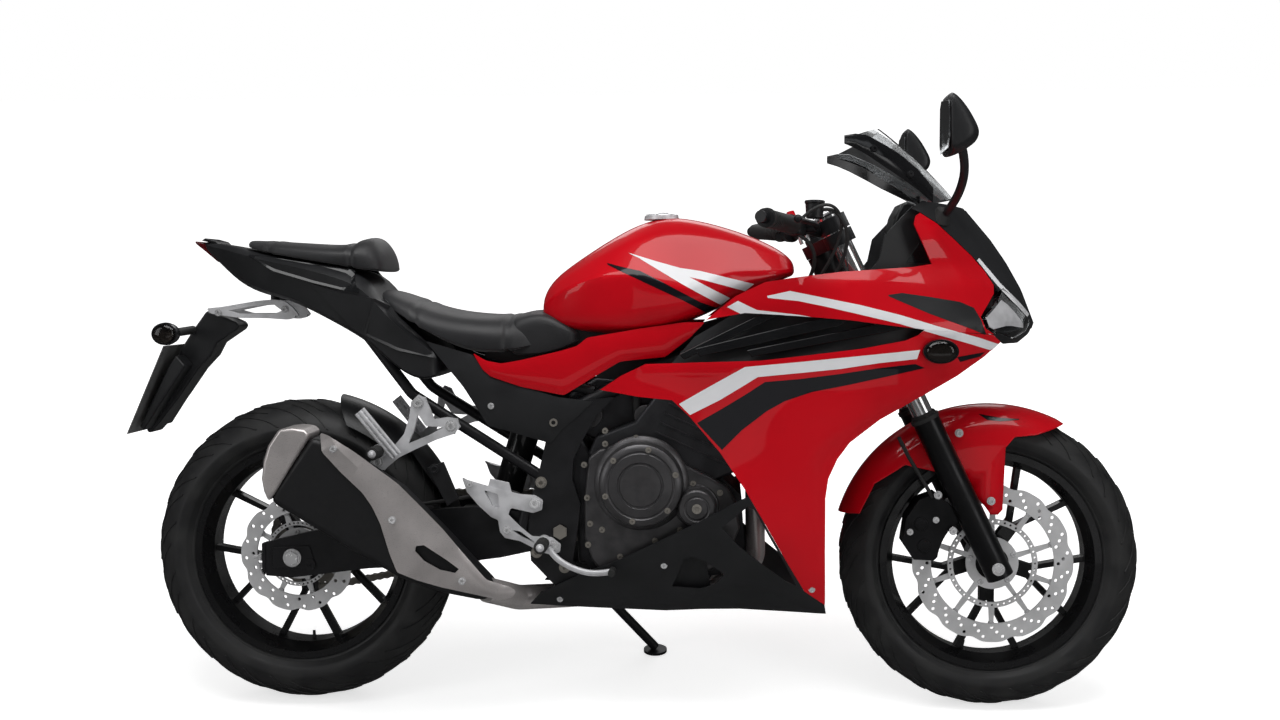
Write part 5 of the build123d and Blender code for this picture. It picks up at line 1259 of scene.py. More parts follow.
def lengthwise_edges(bm, ring_size, rows, column):
    """Edges that join like points of neighbouring rings, at one place of the half ring and its mirror image."""
    bm.verts.index_update()
    bm.verts.ensure_lookup_table()
    bm.edges.index_update()
    found = []
    for row in range(rows - 1):
        for place in {column, (ring_size - column) % ring_size}:
            edge = bm.edges.get((bm.verts[row * ring_size + place], bm.verts[(row + 1) * ring_size + place]))
            if edge:
                found.append(edge)
    return found


def section_skin(sections, creases):
    """Skin over half sections, with creases along it at places of the half ring."""
    bm = bmesh.new()
    rings = [half_ring(x, points) for x, points in sections]
    skin(bm, rings)
    for column, amount in creases.items():
        crease(bm, lengthwise_edges(bm, len(rings[0]), len(rings), column), amount)
    return bm


class MOTORCYCLE_OT_tank(Operator):
    """Fuel tank with its creased flanks, and its filler cap"""

    bl_idname = "motorcycle.tank"
    bl_label = "Fuel tank"

    def execute(self, context):
        shell_skin = section_skin(TANK_SECTIONS, TANK_CREASES)
        add_piece("tank_shell", shell_skin, "red", ("fuel_tank",), smooth=50, levels=3)

        cap = bmesh.new()
        x, z = CAP_AT
        foot = spot(x, 0, z - 6)
        up = Vector((-0.02, 0, 1)).normalized()
        bar(cap, foot, foot + up * 0.009, 0.036, 0.0345, 48)
        bar(cap, foot + up * 0.009, foot + up * 0.012, 0.029, 0.027, 48)
        flap = [foot + up * 0.0115 + spot(*corner, 0) for corner in ((-6, -16), (-6, 16), (14, 16), (14, -16))]
        thicken(cap, sheet_face(cap, flap), up * 0.003)
        add_piece("filler_cap", cap, "silver", bevel=0.0008)
        bolts = bmesh.new()
        for turn in turns(7):
            bolt(bolts, foot + up * 0.0088 + Vector((math.cos(turn), math.sin(turn), 0)) * 0.0315, up, 0.0024, 0.0022)
        add_piece("filler_cap_bolts", bolts, "bright")
        return {"FINISHED"}


# Seats: half sections across the machine, from the crest out and down to the foot, in millimetres
RIDER_SEAT_SECTIONS = (
    (-503, ((0, 855), (34, 855), (60, 852), (74, 846), (78, 840), (60, 838))),
    (-478, ((0, 853), (46, 852), (84, 846), (102, 832), (104, 820), (84, 818))),
    (-445, ((0, 842), (56, 841), (100, 834), (122, 817), (124, 803), (100, 801))),
    (-405, ((0, 826), (60, 825), (108, 817), (134, 795), (136, 778), (108, 776))),
    (-360, ((0, 813), (62, 812), (112, 803), (138, 780), (139, 757), (110, 745))),
    (-310, ((0, 806), (62, 805), (112, 795), (138, 770), (136, 738), (108, 726))),
    (-262, ((0, 803), (56, 802), (100, 793), (130, 768), (130, 733), (104, 724))),
    (-218, ((0, 803), (48, 802), (84, 794), (116, 772), (122, 736), (100, 730))),
    (-186, ((0, 810), (40, 808), (70, 799), (98, 778), (110, 742), (92, 736))),
    (-174, ((0, 806), (34, 805), (60, 795), (86, 776), (98, 746), (80, 740))),
)
PILLION_SEAT_SECTIONS = (
    (-787, ((0, 958), (20, 958), (34, 955), (41, 950), (40, 945), (30, 943))),
    (-758, ((0, 957), (38, 956), (60, 952), (74, 944), (73, 937), (58, 936))),
    (-700, ((0, 954), (50, 953), (82, 948), (98, 938), (97, 925), (80, 923))),
    (-640, ((0, 950), (54, 949), (90, 944), (109, 931), (107, 916), (88, 914))),
    (-590, ((0, 947), (54, 946), (92, 941), (114, 928), (112, 907), (92, 905))),
    (-556, ((0, 949), (52, 948), (90, 942), (114, 926), (110, 902), (90, 900))),
    (-534, ((0, 960), (46, 959), (82, 952), (110, 928), (106, 898), (88, 895))),
    (-517, ((0, 965), (40, 963), (74, 953), (102, 924), (100, 896), (84, 892))),
    (-500, ((0, 950), (36, 947), (66, 937), (90, 914), (92, 896), (78, 890))),
    (-489, ((0, 925), (30, 923), (56, 916), (76, 904), (82, 896), (70, 890))),
)
RIDER_NOSE_SECTIONS = (
    (-236, ((0, 801), (48, 800), (88, 793), (110, 774), (112, 728), (92, 722))),
    (-214, ((0, 805), (48, 804), (90, 799), (109, 786), (109, 724), (92, 718))),
    (-168, ((0, 818), (48, 817), (90, 812), (107, 802), (109, 724), (92, 719))),
    (-120, ((0, 788), (56, 788), (94, 786), (109, 778), (110, 738), (94, 734))),
    (-84, ((0, 766), (60, 766), (94, 765), (107, 762), (107, 756), (92, 754))),
)

SEAT_CREASES = {4: 0.7}
# Sewn channels, in metres: how deep and wide a seam is, and how the cover puffs up on both sides of it
LONG_EDGE = 0.009
SEAM_DEPTH, SEAM_WIDTH = 0.0032, 0.0042
PUFF, PUFF_AWAY, PUFF_WIDTH = 0.0011, 0.011, 0.007


class MOTORCYCLE_OT_seats(Operator):
    """Rider's and pillion's seats, with welts and stitched channels"""

    bl_idname = "motorcycle.seats"
    bl_label = "Seats"

    def execute(self, context):
        rows = (
            ("rider_seat_pad", "rider_seat", RIDER_SEAT_SECTIONS, (-418, -236)),
            ("pillion_seat_pad", "pillion_seat", PILLION_SEAT_SECTIONS, (-725, -552)),
            ("rider_seat_nose", "rider_seat", RIDER_NOSE_SECTIONS, ()),
        )
        for name, node, sections, channels in rows:
            pad = add_piece(name, section_skin(sections, SEAT_CREASES), "seat", (node,), smooth=60, levels=3)
            self.sew(pad, channels)
        return {"FINISHED"}

    def sew(self, pad, channels):
        """Applies the smooth skin and presses sewn channels across the pad."""
        depsgraph = bpy.context.evaluated_depsgraph_get()
        bm = bmesh.new()
        bm.from_object(pad, depsgraph)
        pad.modifiers.clear()
        long_edges = [edge for edge in bm.edges if edge.calc_length() > LONG_EDGE]
        bmesh.ops.subdivide_edges(bm, edges=long_edges, cuts=1, use_grid_fill=True)
        bm.normal_update()
        for vert in bm.verts:
            place = UPRIGHT @ vert.co
            depth = 0.0
            for x in channels:
                gap = abs(place.x - x * MM)
                depth += SEAM_DEPTH * math.exp(-((gap / SEAM_WIDTH) ** 2))
                depth -= PUFF * math.exp(-(((gap - PUFF_AWAY) / PUFF_WIDTH) ** 2))
            vert.co -= vert.normal * depth
        for face in bm.faces:
            face.smooth = True
        bm.to_mesh(pad.data)
        bm.free()


# Stripe outlines in the photograph's pixels, as upper and lower edges of bands
FAIRING_WHITE = (
    (((767, 296), (790, 291), (820, 297), (860, 305), (900, 315), (940, 327), (980, 338), (1001, 345)),
     ((768, 298), (798, 301), (825, 306.5), (862, 315), (900, 324), (940, 335.5), (967, 343), (990, 350))),
    (((920, 350), (880, 354), (840, 358), (800, 362), (745, 367), (725, 378), (700, 392), (679, 404)),
     ((917, 359), (880, 363), (840, 369), (800, 373), (758, 377), (740, 388), (720, 400), (690, 415))),
    (((727, 307), (738, 301), (757, 310), (800, 315), (840, 322), (890, 331)),
     ((735, 311), (745, 316), (765, 318.5), (800, 321), (840, 326), (880, 332))),
)
FAIRING_BLACK = (
    (((915, 364), (880, 368), (840, 374), (800, 379), (765, 382), (745, 395), (720, 410), (697, 423)),
     ((925, 368), (885, 377), (848, 385), (812, 392), (785, 401), (767, 411), (742, 430), (722, 450))),
    (((957, 357), (985, 352)), ((960, 362), (980, 356.5))),
)
INSERT_BLACK = (
    (((888, 295), (902, 293), (930, 297), (960, 302), (974, 308), (981, 320), (986, 334)),
     ((889, 296.5), (904, 303), (930, 314), (952, 322), (962, 325.5), (974, 330), (985, 335))),
)
# White strip along the top of each headlight: the lamp's strip, with the glint on it as a painted highlight
LAMP_STRIP_AND_GLINT = (
    (((979, 258), (990, 271), (1000, 283), (1010, 293), (1020, 303), (1029, 314)),
     ((977, 260.5), (988, 274.5), (998, 286.5), (1008, 297), (1018, 307), (1027, 317))),
)
LAMP_DARK = (
    (((986, 318), (995, 308), (1001, 300), (1008, 305), (1016, 314), (1023, 324)),
     ((990, 330), (998, 328), (1006, 326), (1012, 326), (1018, 327), (1023, 328))),
)
GUARD_VENT = (
    (((979, 414.5), (987, 420), (1000, 421.5), (1019, 420)),
     ((979, 414), (990, 416), (1001, 418), (1019, 419))),
)
TANK_WHITE = (
    (((629, 253), (655, 261), (680, 268), (700, 271), (754, 284)),
     ((630, 254), (657, 266.5), (689, 277), (705, 280.5), (745, 291))),
    (((640, 258.5), (660, 267), (689, 277), (712, 289), (730, 298)),
     ((641, 259.5), (660, 271), (680, 283), (700, 294), (721, 305))),
)
TANK_BLACK = (
    (((607, 263), (622, 267), (640, 271), (660, 281), (700, 302), (717, 308)),
     ((608, 265), (620, 271), (635, 278), (652, 286), (682, 300), (709, 314))),
)


class MOTORCYCLE_OT_stripes(Operator):
    """Stripes on the fairing and the tank, the lamps' strips with a painted highlight of their glint, and the lamps'
    reflectors
    """

    bl_idname = "motorcycle.stripes"
    bl_label = "Stripes"

    def execute(self, context):
        fairing = [bpy.data.objects["upper_cowl_panels"], bpy.data.objects["side_fairing_panels"]]
        tank = [bpy.data.objects["tank_shell"]]
        nose = [bpy.data.objects["nose_cowl_shell"], bpy.data.objects["headlight_lens"]]
        rows = (
            ("fairing_stripes_white", fairing, FAIRING_WHITE, "white"),
            ("fairing_stripes_black", fairing, FAIRING_BLACK, "dark"),
            ("fairing_inserts", fairing, INSERT_BLACK, "plastic"),
            ("tank_stripes_white", tank, TANK_WHITE, "white"),
            ("tank_stripes_black", tank, TANK_BLACK, "dark"),
            # The lamps' white strips hold a painted highlight: the glint on them
            ("lamp_strips_and_glint", nose, LAMP_STRIP_AND_GLINT, "white"),
            ("lamp_reflectors", nose[1:], LAMP_DARK, "silver"),
        )
        for name, sources, bands, finish in rows:
            add_stripe(name, sources, bands, finish)
        return {"FINISHED"}


# Silencer, seen from the side, in millimetres
MUFFLER_OUTLINE = (
    (-607, 571), (-583, 560), (-510, 514), (-435, 466), (-350, 380), (-300, 326), (-262, 286), (-244, 262), (-270, 247),
    (-350, 262), (-438, 292), (-540, 350), (-620, 398), (-691, 440), (-684, 462), (-650, 510),
)
END_CAP_OUTLINE = (
    (-668, 584), (-640, 587), (-616, 584), (-607, 572), (-640, 520), (-676, 462), (-691, 441), (-700, 462), (-704, 486),
    (-700, 520), (-690, 552),
)
SHIELD_OUTLINE = (
    (-586, 577), (-570, 572), (-520, 541), (-435, 479), (-392, 436), (-349, 392), (-300, 334), (-263, 292), (-214, 277),
    (-205, 270), (-212, 258), (-240, 252), (-273, 260), (-350, 276), (-400, 290), (-438, 305), (-452, 340), (-470, 400),
    (-486, 434), (-504, 460), (-546, 500), (-583, 540),
)
SHIELD_CREASE = ((-560, 556), (-500, 500), (-440, 440), (-390, 372), (-330, 312), (-262, 276))
# The shield's slot and screws, in the photograph's pixels
SHIELD_SCREWS = ((462, 581), (333, 449), (392, 520))
SHIELD_SLOT = ((416, 546), (424, 545), (447, 560), (459, 569), (455, 573), (440, 570), (424, 561), (415, 551))


def turned(bm, x, z, rows, steps=64):
    """Round part about a crosswise axis through (x, z), from rows of (radius, distance to the left) in millimetres."""
    profile = [spot(x + radius, y, z) for radius, y in rows]
    ring_path(bm, profile, spot(x, 0, z), steps)


class MOTORCYCLE_OT_exhaust(Operator):
    """Silencer body, end cap with its outlets, and the slotted heat shield"""

    bl_idname = "motorcycle.exhaust"
    bl_label = "Silencer"

    def execute(self, context):
        body = ((MUFFLER_OUTLINE, -218, -136),)
        add_plates("silencer_body", body, "silencer", "muffler", smooth=40, bevel=0.016)
        add_plates("silencer_end_cap", ((END_CAP_OUTLINE, -223, -133),), "steel", smooth=40, bevel=0.011)
        outlets = bmesh.new()
        for y, z in ((-160, 528), (-196, 514)):
            start = spot(-676, y, z)
            way = Vector((-0.92, 0, 0.36)).normalized()
            turn = way.to_track_quat("Z", "Y").to_matrix().to_4x4()
            place = Matrix.Translation(start) @ turn
            rows = ((0.0135, 0.0), (0.0135, 0.026), (0.0145, 0.028), (0.0165, 0.028), (0.0175, 0.026), (0.0175, 0.0))
            ring_path(outlets, [place @ Vector((r, 0, h)) for r, h in rows], start, 32, way)
            bar(outlets, start, start + way * 0.006, 0.0134)
        add_piece("silencer_outlets", outlets, "silencer")

        slot = [sight_xz(pixel, -226) for pixel in SHIELD_SLOT]
        shield = panel_mesh(rounded(SHIELD_OUTLINE, 6), shield_depth, (SHIELD_CREASE,), [slot], step=9.0)
        bmesh.ops.solidify(shield, geom=shield.faces[:], thickness=2.2 * MM)
        add_piece("silencer_shield", shield, "steel", ("muffler_covers",), smooth=28)

        screws = bmesh.new()
        for pixel in SHIELD_SCREWS:
            x, z = sight_xz(pixel, -228)
            bolt(screws, spot(x, -227.0 if pixel[0] < 460 else -228, z), -ACROSS, 0.0055, 0.005)
        add_piece("silencer_screws", screws, "bright")

        strap = bmesh.new()
        plate(strap, ((-392, 500), (-360, 512), (-330, 440), (-352, 424)), -150, -138)
        bolt(strap, spot(-376, -150, 498), -ACROSS, 0.008, 0.007)
        add_piece("silencer_strap", strap, "frame", bevel=0.002)
        return {"FINISHED"}


def sight_xz(pixel, across):
    """Place in millimetres, seen from the side, where the camera's ray meets a distance to the left."""
    place = sight(pixel, across) / MM
    return place.x, place.z


def shield_depth(x, z):
    """The heat shield is dished: it curls in towards its rim."""
    gap = segment_gap(x, z, SHIELD_OUTLINE + SHIELD_OUTLINE[:1])[0]
    return 221.0 + 6.5 * (1 - math.exp(-gap / 7.0))


# Engine: round covers as rows of radius and distance to the left, in millimetres, and bolts in the photograph's pixels
CLUTCH_ROWS = (
    (94, -132), (94, -139), (91, -143), (84, -146), (82, -165), (80, -172), (75, -176), (68, -177.5), (66, -176),
    (64, -176), (62, -178), (46, -181), (44, -179), (42, -179), (40, -182), (24, -184), (0.4, -184.5),
)
POINTS_ROWS = (
    (44, -128), (44, -138), (42, -141), (39, -142), (37.5, -160), (36, -167), (33, -170), (26, -171), (24, -169.5),
    (22, -169.5), (20, -171.5), (8, -172.5), (7, -171), (0.4, -171),
)
GENERATOR_ROWS = (
    (92, 132), (92, 139), (88, 143), (80, 146), (78, 166), (75, 173), (69, 177), (60, 178.5), (58, 177), (54, 177),
    (52, 180), (20, 183), (18, 181), (0.4, 181),
)
COVER_BOLTS = (
    (605, 431), (605, 444), (636, 438), (661, 444), (680, 462), (693, 484), (720, 493), (584, 465), (587, 498),
    (590, 524), (602, 530), (588, 545), (620, 557), (655, 541), (680, 530),
)
COVER_OUTLINE = (
    (-72, 520), (-50, 536), (-20, 545), (20, 549), (60, 548), (96, 530), (125, 505), (165, 485), (205, 462), (222, 430),
    (228, 380), (208, 332), (180, 300), (120, 274), (60, 262), (0, 268), (-40, 280), (-66, 316), (-80, 360), (-80, 440),
)
# Middles of the round covers, and the ring of bolts on the greater one, as (radius, first angle, number)
CLUTCH_AT, POINTS_AT = (34, 470), (144, 424)
CLUTCH_RING = (72, 0.3, 6)
FRAME_BOLTS = ((-140, 590), (-166, 470), (-120, 300), (-176, 330))
PIVOT_AT = (-128, 372)
# Blocks of the engine: outline and half width, or both distances to the left
CRANKCASE_BLOCKS = (
    (((-76, 520), (-60, 560), (20, 590), (60, 640), (130, 660), (210, 640), (248, 590), (240, 500), (180, 470)),
     -118, 118),
    (((-118, 640), (-86, 560), (-60, 548), (20, 560), (60, 628), (44, 668), (-60, 676)), -78, 78),
    (((-150, 540), (-112, 470), (-100, 380), (-96, 300), (-70, 300), (-66, 520), (-90, 560)), -100, 96),
)
OIL_PAN = ((-40, 276), (60, 268), (180, 284), (160, 250), (40, 240), (-20, 250))
RADIATOR_TANK = ((288, 382), (322, 372), (356, 640), (324, 650))
RADIATOR_FINS = 52
HOSES = (
    ("coolant_hose_right", ((250, -70, 600), (286, -96, 612), (302, -118, 606), (318, -122, 612)), 0.013),
    ("coolant_hose_left", ((96, 84, 610), (150, 128, 560), (236, 132, 470), (300, 118, 420)), 0.013),
    ("breather_hose", ((40, -60, 560), (10, -104, 610), (20, -100, 668), (44, -70, 700)), 0.009),
    ("oil_line", ((-60, 112, 420), (-74, 140, 460), (-40, 144, 520), (0, 118, 566)), 0.005),
)


def on_clutch(turn, y):
    """Place on the ring of bolts of the greater round cover."""
    x, z = CLUTCH_AT
    return spot(x + CLUTCH_RING[0] * math.cos(turn), y, z + CLUTCH_RING[0] * math.sin(turn))


class MOTORCYCLE_OT_engine(Operator):
    """Engine covers with their bolts, cylinder ribs, hoses and the radiator's fins"""

    bl_idname = "motorcycle.engine"
    bl_label = "Engine"

    def execute(self, context):
        sides = ((COVER_OUTLINE, -137, -105), (COVER_OUTLINE, 105, 137))
        add_plates("engine_cover_castings", sides, "cover", "engine_covers", smooth=40, bevel=0.007)

        ring = turns(CLUTCH_RING[2], CLUTCH_RING[1])
        domes = bmesh.new()
        turned(domes, *CLUTCH_AT, CLUTCH_ROWS)
        turned(domes, *POINTS_AT, POINTS_ROWS, 48)
        turned(domes, *CLUTCH_AT, GENERATOR_ROWS)
        turned(domes, *POINTS_AT, [(radius, -y) for radius, y in POINTS_ROWS], 48)
        for turn in ring:
            place = on_clutch(turn, -173)
            bar(domes, place + ACROSS * 0.012, place - ACROSS * 0.004, 0.0062)
        add_piece("engine_round_covers", domes, "cover", smooth=30)

        bolts = bmesh.new()
        for pixel in COVER_BOLTS:
            x, z = sight_xz(pixel, -140)
            for hand in HANDS:
                bolt(bolts, spot(x, hand * 136.5, z), ACROSS * hand, 0.0046, 0.006)
        for turn in ring:
            for hand in HANDS:
                bolt(bolts, on_clutch(turn, hand * 176.5), ACROSS * hand, 0.0045, 0.004)
        bolt(bolts, spot(POINTS_AT[0], -170.5, POINTS_AT[1]), -ACROSS, 0.01, 0.004)
        for x, z in FRAME_BOLTS:
            for hand in HANDS:
                bolt(bolts, spot(x, hand * 133, z), ACROSS * hand, 0.0085, 0.008)
        x, z = PIVOT_AT
        for hand in HANDS:
            bar(bolts, spot(x, hand * 138, z), spot(x, hand * 144, z), 0.015, segments=6)
        add_piece("engine_and_frame_bolts", bolts, "chain")
        add_plates("crankcase_top", CRANKCASE_BLOCKS, "engine", smooth=40, bevel=0.008)
        throttles = bmesh.new()
        for hand in HANDS:
            bar(throttles, spot(-20, hand * 44, 640), spot(50, hand * 44, 676), 0.027, 0.03, 36)
            bar(throttles, spot(-70, hand * 100, 600), spot(-70, hand * 60, 600), 0.024, segments=32)
        bar(throttles, spot(40, -104, 600), spot(40, 104, 600), 0.022, segments=32)
        add_piece("throttle_bodies", throttles, "cover", smooth=40, bevel=0.002)

        ribs = bmesh.new()
        way = Vector((0.42, 0, 0.91))
        for number in range(6):
            foot = Vector((104, 0, 548)) + way * number * 21
            for hand in HANDS:
                low = Vector((foot.x - 44, 0, foot.z + 20))
                high = Vector((foot.x + 100, 0, foot.z - 46))
                corners = (low, high, high + way * 4, low + way * 4)
                plate(ribs, [(corner.x, corner.z) for corner in corners], hand * 112, hand * 121)
        plate(ribs, ((96, 664), (118, 700), (184, 700), (262, 658), (256, 640), (180, 676), (112, 676)), -96, 96)
        add_piece("cylinder_ribs", ribs, "engine", bevel=0.0015)

        add_plates("oil_pan", ((OIL_PAN, -62, 62),), "engine", smooth=40, bevel=0.008)
        filter_can = bmesh.new()
        bar(filter_can, spot(222, 30, 330), spot(262, 30, 318), 0.034, segments=40)
        bar(filter_can, spot(258, 30, 319), spot(270, 30, 316), 0.031, 0.026, segments=14)
        add_piece("oil_filter", filter_can, "silencer", bevel=0.002)

        for name, points, radius in HOSES:
            cable(name, [spot(*place) for place in points], radius, "rubber")

        fins = bmesh.new()
        low, high = Vector((292, 0, 384)), Vector((326, 0, 644))
        for number in range(RADIATOR_FINS):
            foot = low + (high - low) * ((number + 0.5) / RADIATOR_FINS)
            x, z = foot.x + 26, foot.z + 1
            bar(fins, spot(x, -138, z), spot(x, 138, z), 0.0011, segments=4)
        add_piece("radiator_fins", fins, "silver", slot="radiator_alloy")
        add_plates("radiator_tanks", [(RADIATOR_TANK, hand * 138, hand * 149) for hand in HANDS], "engine", bevel=0.003)
        return {"FINISHED"}


# Brake discs: middle, number of waves, rows of holes, inner radius as a share of the outer one, arms of the carrier
DISCS = (
    ("front_disc_ring", "front_wheel", "front_disc", FRONT_AXLE, 12, 3, 0.765, 10),
    ("rear_disc_ring", "rear_wheel", "rear_disc", REAR_AXLE, 10, 2, 0.72, 8),
)
# Sizes of the discs and their carriers, in metres
WAVE_DEPTH = 0.006
DISC_HOLE = 0.0036
TONE_SLOT = 0.0024
TONE_SLOTS = 44
DISC_HALF = 0.0024
HUB = 0.046
VALVE_REACH = 0.212
RING_STEPS = 240
INNER_STEPS = 120
HOLE_STEPS = 12


def around(radius, turn):
    """Point of a circle in a disc's own plane."""
    return Vector((math.cos(turn), math.sin(turn))) * radius


def wave(radius, turn, count, drop):
    """Radius of a wave-edged disc at an angle."""
    return radius - drop * (0.5 - 0.5 * math.cos(turn * count)) ** 3


class MOTORCYCLE_OT_wheels(Operator):
    """Drilled brake discs on their carriers with bobbins and bolts, tone rings and valves"""

    bl_idname = "motorcycle.wheels"
    bl_label = "Wheels"

    def execute(self, context):
        for name, body, node, centre, waves, rows, inner_share, arms in DISCS:
            solid = NODES[node]
            corners = [UPRIGHT @ (solid.matrix_world @ Vector(corner)) for corner in solid.bound_box]
            across = sum((corner.y for corner in corners), 0.0) / 8
            radius = max(corner.x for corner in corners) - centre.x
            inner = radius * inner_share
            holes = []
            for group in range(waves * 2):
                for row in range(rows):
                    turn = math.tau * (group + 0.28 * row) / (waves * 2)
                    holes.append((turn, inner + 0.008 + (radius - inner - 0.018) * (row / (rows - 1)), DISC_HOLE))
            self.ring(name, body, (node,), centre, across, radius, inner, (waves, WAVE_DEPTH), holes)
            tone = radius * 0.56
            slots = [(turn, tone * 0.945, TONE_SLOT) for turn in turns(TONE_SLOTS)]
            self.ring(name.replace("disc", "tone"), body, (), centre, across, tone, tone * 0.88, (1, 0.0), slots)
            self.carrier(name, body, centre, across, inner, tone, arms)
        self.fittings()
        return {"FINISHED"}

    def ring(self, name, body, replaced, centre, across, radius, inner, waves, places):
        """Ring with a wavy edge and small holes."""
        count, drop = waves
        loops = [
            [around(wave(radius, turn, count, drop), turn) for turn in turns(RING_STEPS)],
            [around(inner, turn) for turn in turns(INNER_STEPS)],
        ]
        holes = [(around(away, turn), size) for turn, away, size in places]
        loops += [[middle + around(size, turn) for turn in turns(HOLE_STEPS)] for middle, size in holes]
        points, edges = [], []
        for loop in loops:
            start = len(points)
            points += loop
            edges += [(start + i, start + (i + 1) % len(loop)) for i in range(len(loop))]
        verts, _, faces, _, _, _ = delaunay_2d_cdt(points, edges, [], 0, 0.00001)
        bm = bmesh.new()
        made = [bm.verts.new(centre + Vector((p.x, across - centre.y - DISC_HALF, p.y))) for p in verts]
        for face in faces:
            middle = sum((verts[i] for i in face), Vector((0, 0))) / len(face)
            if middle.length < inner or middle.length > wave(radius, math.atan2(middle.y, middle.x), count, drop):
                continue
            if any((middle - spot_at).length < size * 0.97 for spot_at, size in holes):
                continue
            bm.faces.new([made[i] for i in face])
        bmesh.ops.delete(bm, geom=[v for v in bm.verts if not v.link_faces], context="VERTS")
        bmesh.ops.solidify(bm, geom=bm.faces[:], thickness=-DISC_HALF * 2)
        add_piece(name, bm, "disc", replaced, smooth=30, body=body)

    def carrier(self, name, body, centre, across, inner, tone, count):
        """Inner carrier: a bolted hub plate with arms out to round bobbins on the disc's inner edge."""
        bm = bmesh.new()
        near, far = HUB * 0.72, HUB * 1.14
        section = ((near, -0.003), (far, -0.003), (far, 0.003), (near, 0.003), (near, -0.003))
        ring_path(bm, [centre + Vector((away, across + side, 0)) for away, side in section], centre, 72)
        arms = turns(count, 0.31)
        for number, turn in enumerate(arms):
            way = Vector((math.cos(turn), 0, math.sin(turn)))
            side = Vector((-way.z, 0, way.x))
            legs = [(tone * 0.99, inner - 0.004, 0.006)]
            if number % 2 == 0:
                legs.append((HUB * 1.1, tone * 0.9, 0.0055))
            for start, end, wide in legs:
                corners = [
                    way * start - side * wide, way * end - side * wide * 0.75, way * end + side * wide * 0.75,
                    way * start + side * wide,
                ]
                face = sheet_face(bm, [centre + Vector((c.x, across - 0.0016, c.z)) for c in corners])
                thicken(bm, face, ACROSS * 0.0032)
        add_piece(name.replace("ring", "carrier"), bm, "disc", smooth=30, body=body)
        pins = bmesh.new()
        for turn in arms:
            place = centre + Vector((math.cos(turn) * (inner + 0.001), across, math.sin(turn) * (inner + 0.001)))
            bar(pins, place - ACROSS * 0.0034, place + ACROSS * 0.0034, 0.0062, segments=20)
        for turn in turns(5, 0.4):
            place = centre + Vector((math.cos(turn) * HUB * 0.97, across, math.sin(turn) * HUB * 0.97))
            bolt(pins, place - ACROSS * 0.003, -ACROSS, 0.0042, 0.004)
        add_piece(name.replace("ring", "bobbins"), pins, "bright", smooth=30, body=body)

    def fittings(self):
        """Valves, on the side of the hub where the photograph shows them."""
        rows = (
            ("front_wheel_fittings", "front_wheel", FRONT_AXLE, (962, 645)),
            ("rear_wheel_fittings", "rear_wheel", REAR_AXLE, (314, 627)),
        )
        for name, body, centre, pixel in rows:
            bm = bmesh.new()
            place = sight(pixel, 0)
            way = Vector((place.x - centre.x, 0, place.z - centre.z)).normalized()
            start = centre + way * VALVE_REACH
            bar(bm, start, start - way * 0.022, 0.0045, 0.004, 16)
            bar(bm, start - way * 0.022, start - way * 0.034, 0.0036, 0.003, 16)
            add_piece(name, bm, "rubber", body=body)


# Tail: half sections from the crest out and down, in millimetres
TAIL_SECTIONS = (
    (-884, ((0, 957), (24, 956), (32, 952), (26, 947), (14, 945))),
    (-856, ((0, 953), (38, 952), (50, 944), (44, 926), (24, 921))),
    (-800, ((0, 944), (62, 943), (84, 934), (64, 880), (40, 862))),
    (-745, ((0, 929), (78, 928), (103, 918), (86, 855), (50, 842))),
    (-690, ((0, 919), (90, 918), (120, 908), (100, 842), (64, 832))),
    (-630, ((0, 910), (100, 908), (131, 896), (114, 820), (80, 803))),
    (-575, ((0, 900), (104, 897), (137, 880), (122, 790), (92, 776))),
    (-520, ((0, 888), (100, 884), (140, 862), (128, 762), (104, 744))),
    (-470, ((0, 806), (110, 804), (141, 800), (133, 716), (116, 704))),
    (-430, ((0, 772), (112, 771), (142, 766), (136, 684), (120, 676))),
    (-394, ((0, 748), (114, 747), (143, 742), (138, 676), (124, 670))),
    (-360, ((0, 716), (118, 714), (143, 708), (139, 690), (128, 688))),
)
TAIL_CREASES = {1: 0.75, 2: 0.75, 3: 0.5}
# Panels of the tail in the photograph's pixels, then its hangers and lamp seen from the side in millimetres
TAIL_LINE_HIGH = ((243, 254), (262, 256), (300, 262), (352, 269), (362, 294), (315, 283), (272, 271))
TAIL_LINE_LOW = (
    (312, 284), (345, 293), (362, 296), (385, 300), (400, 318), (430, 345), (440, 358), (400, 350), (355, 330),
)
HANGER_OUTLINE = (
    (-875, 812), (-832, 797), (-812, 788), (-806, 780), (-812, 772), (-854, 744), (-868, 718), (-895, 690), (-935, 634),
    (-978, 580), (-1000, 556), (-1008, 560), (-1006, 576), (-990, 640), (-962, 678), (-945, 702), (-925, 742),
    (-902, 776),
)
HANGER_ARM_OUTLINE = (
    (-870, 817), (-838, 820), (-765, 832), (-730, 835), (-705, 832), (-688, 818), (-676, 803), (-684, 797), (-700, 793),
    (-740, 796), (-802, 797), (-862, 806),
)
HANGER_BACK = ((-940, 700), (-925, 722), (-905, 700), (-960, 620), (-996, 566), (-1004, 574))
TAIL_LENS = ((-897, 956), (-880, 953), (-858, 946), (-838, 926), (-830, 912), (-848, 912), (-874, 934), (-894, 950))
TAIL_RIM = ((-880, 957), (-856, 951), (-836, 930), (-828, 914), (-822, 918), (-832, 938), (-850, 956), (-872, 962))
# Indicators: place seen from the side, start (the rear ones) or the body's skin, reach, and half sizes
INDICATORS = ((-912, 768, 140, 34, (27, 23)), (608, 733, None, 30, (35, 24)))
POD_ROWS = ((0.0, 0.72), (0.15, 0.92), (0.5, 1.0), (0.82, 0.96))
LENS_ROWS = ((0.8, 0.86), (0.94, 0.8), (1.02, 0.55), (1.05, 0.12))
# Number plate: its upper and lower edges seen from the side, and its half width
PLATE_EDGES = ((-939.5, 741), (-1019.5, 561))
PLATE_HALF = 99
HANGER_SLOT = ((-822, 812), (-770, 822), (-728, 824), (-712, 812), (-726, 806), (-800, 806))


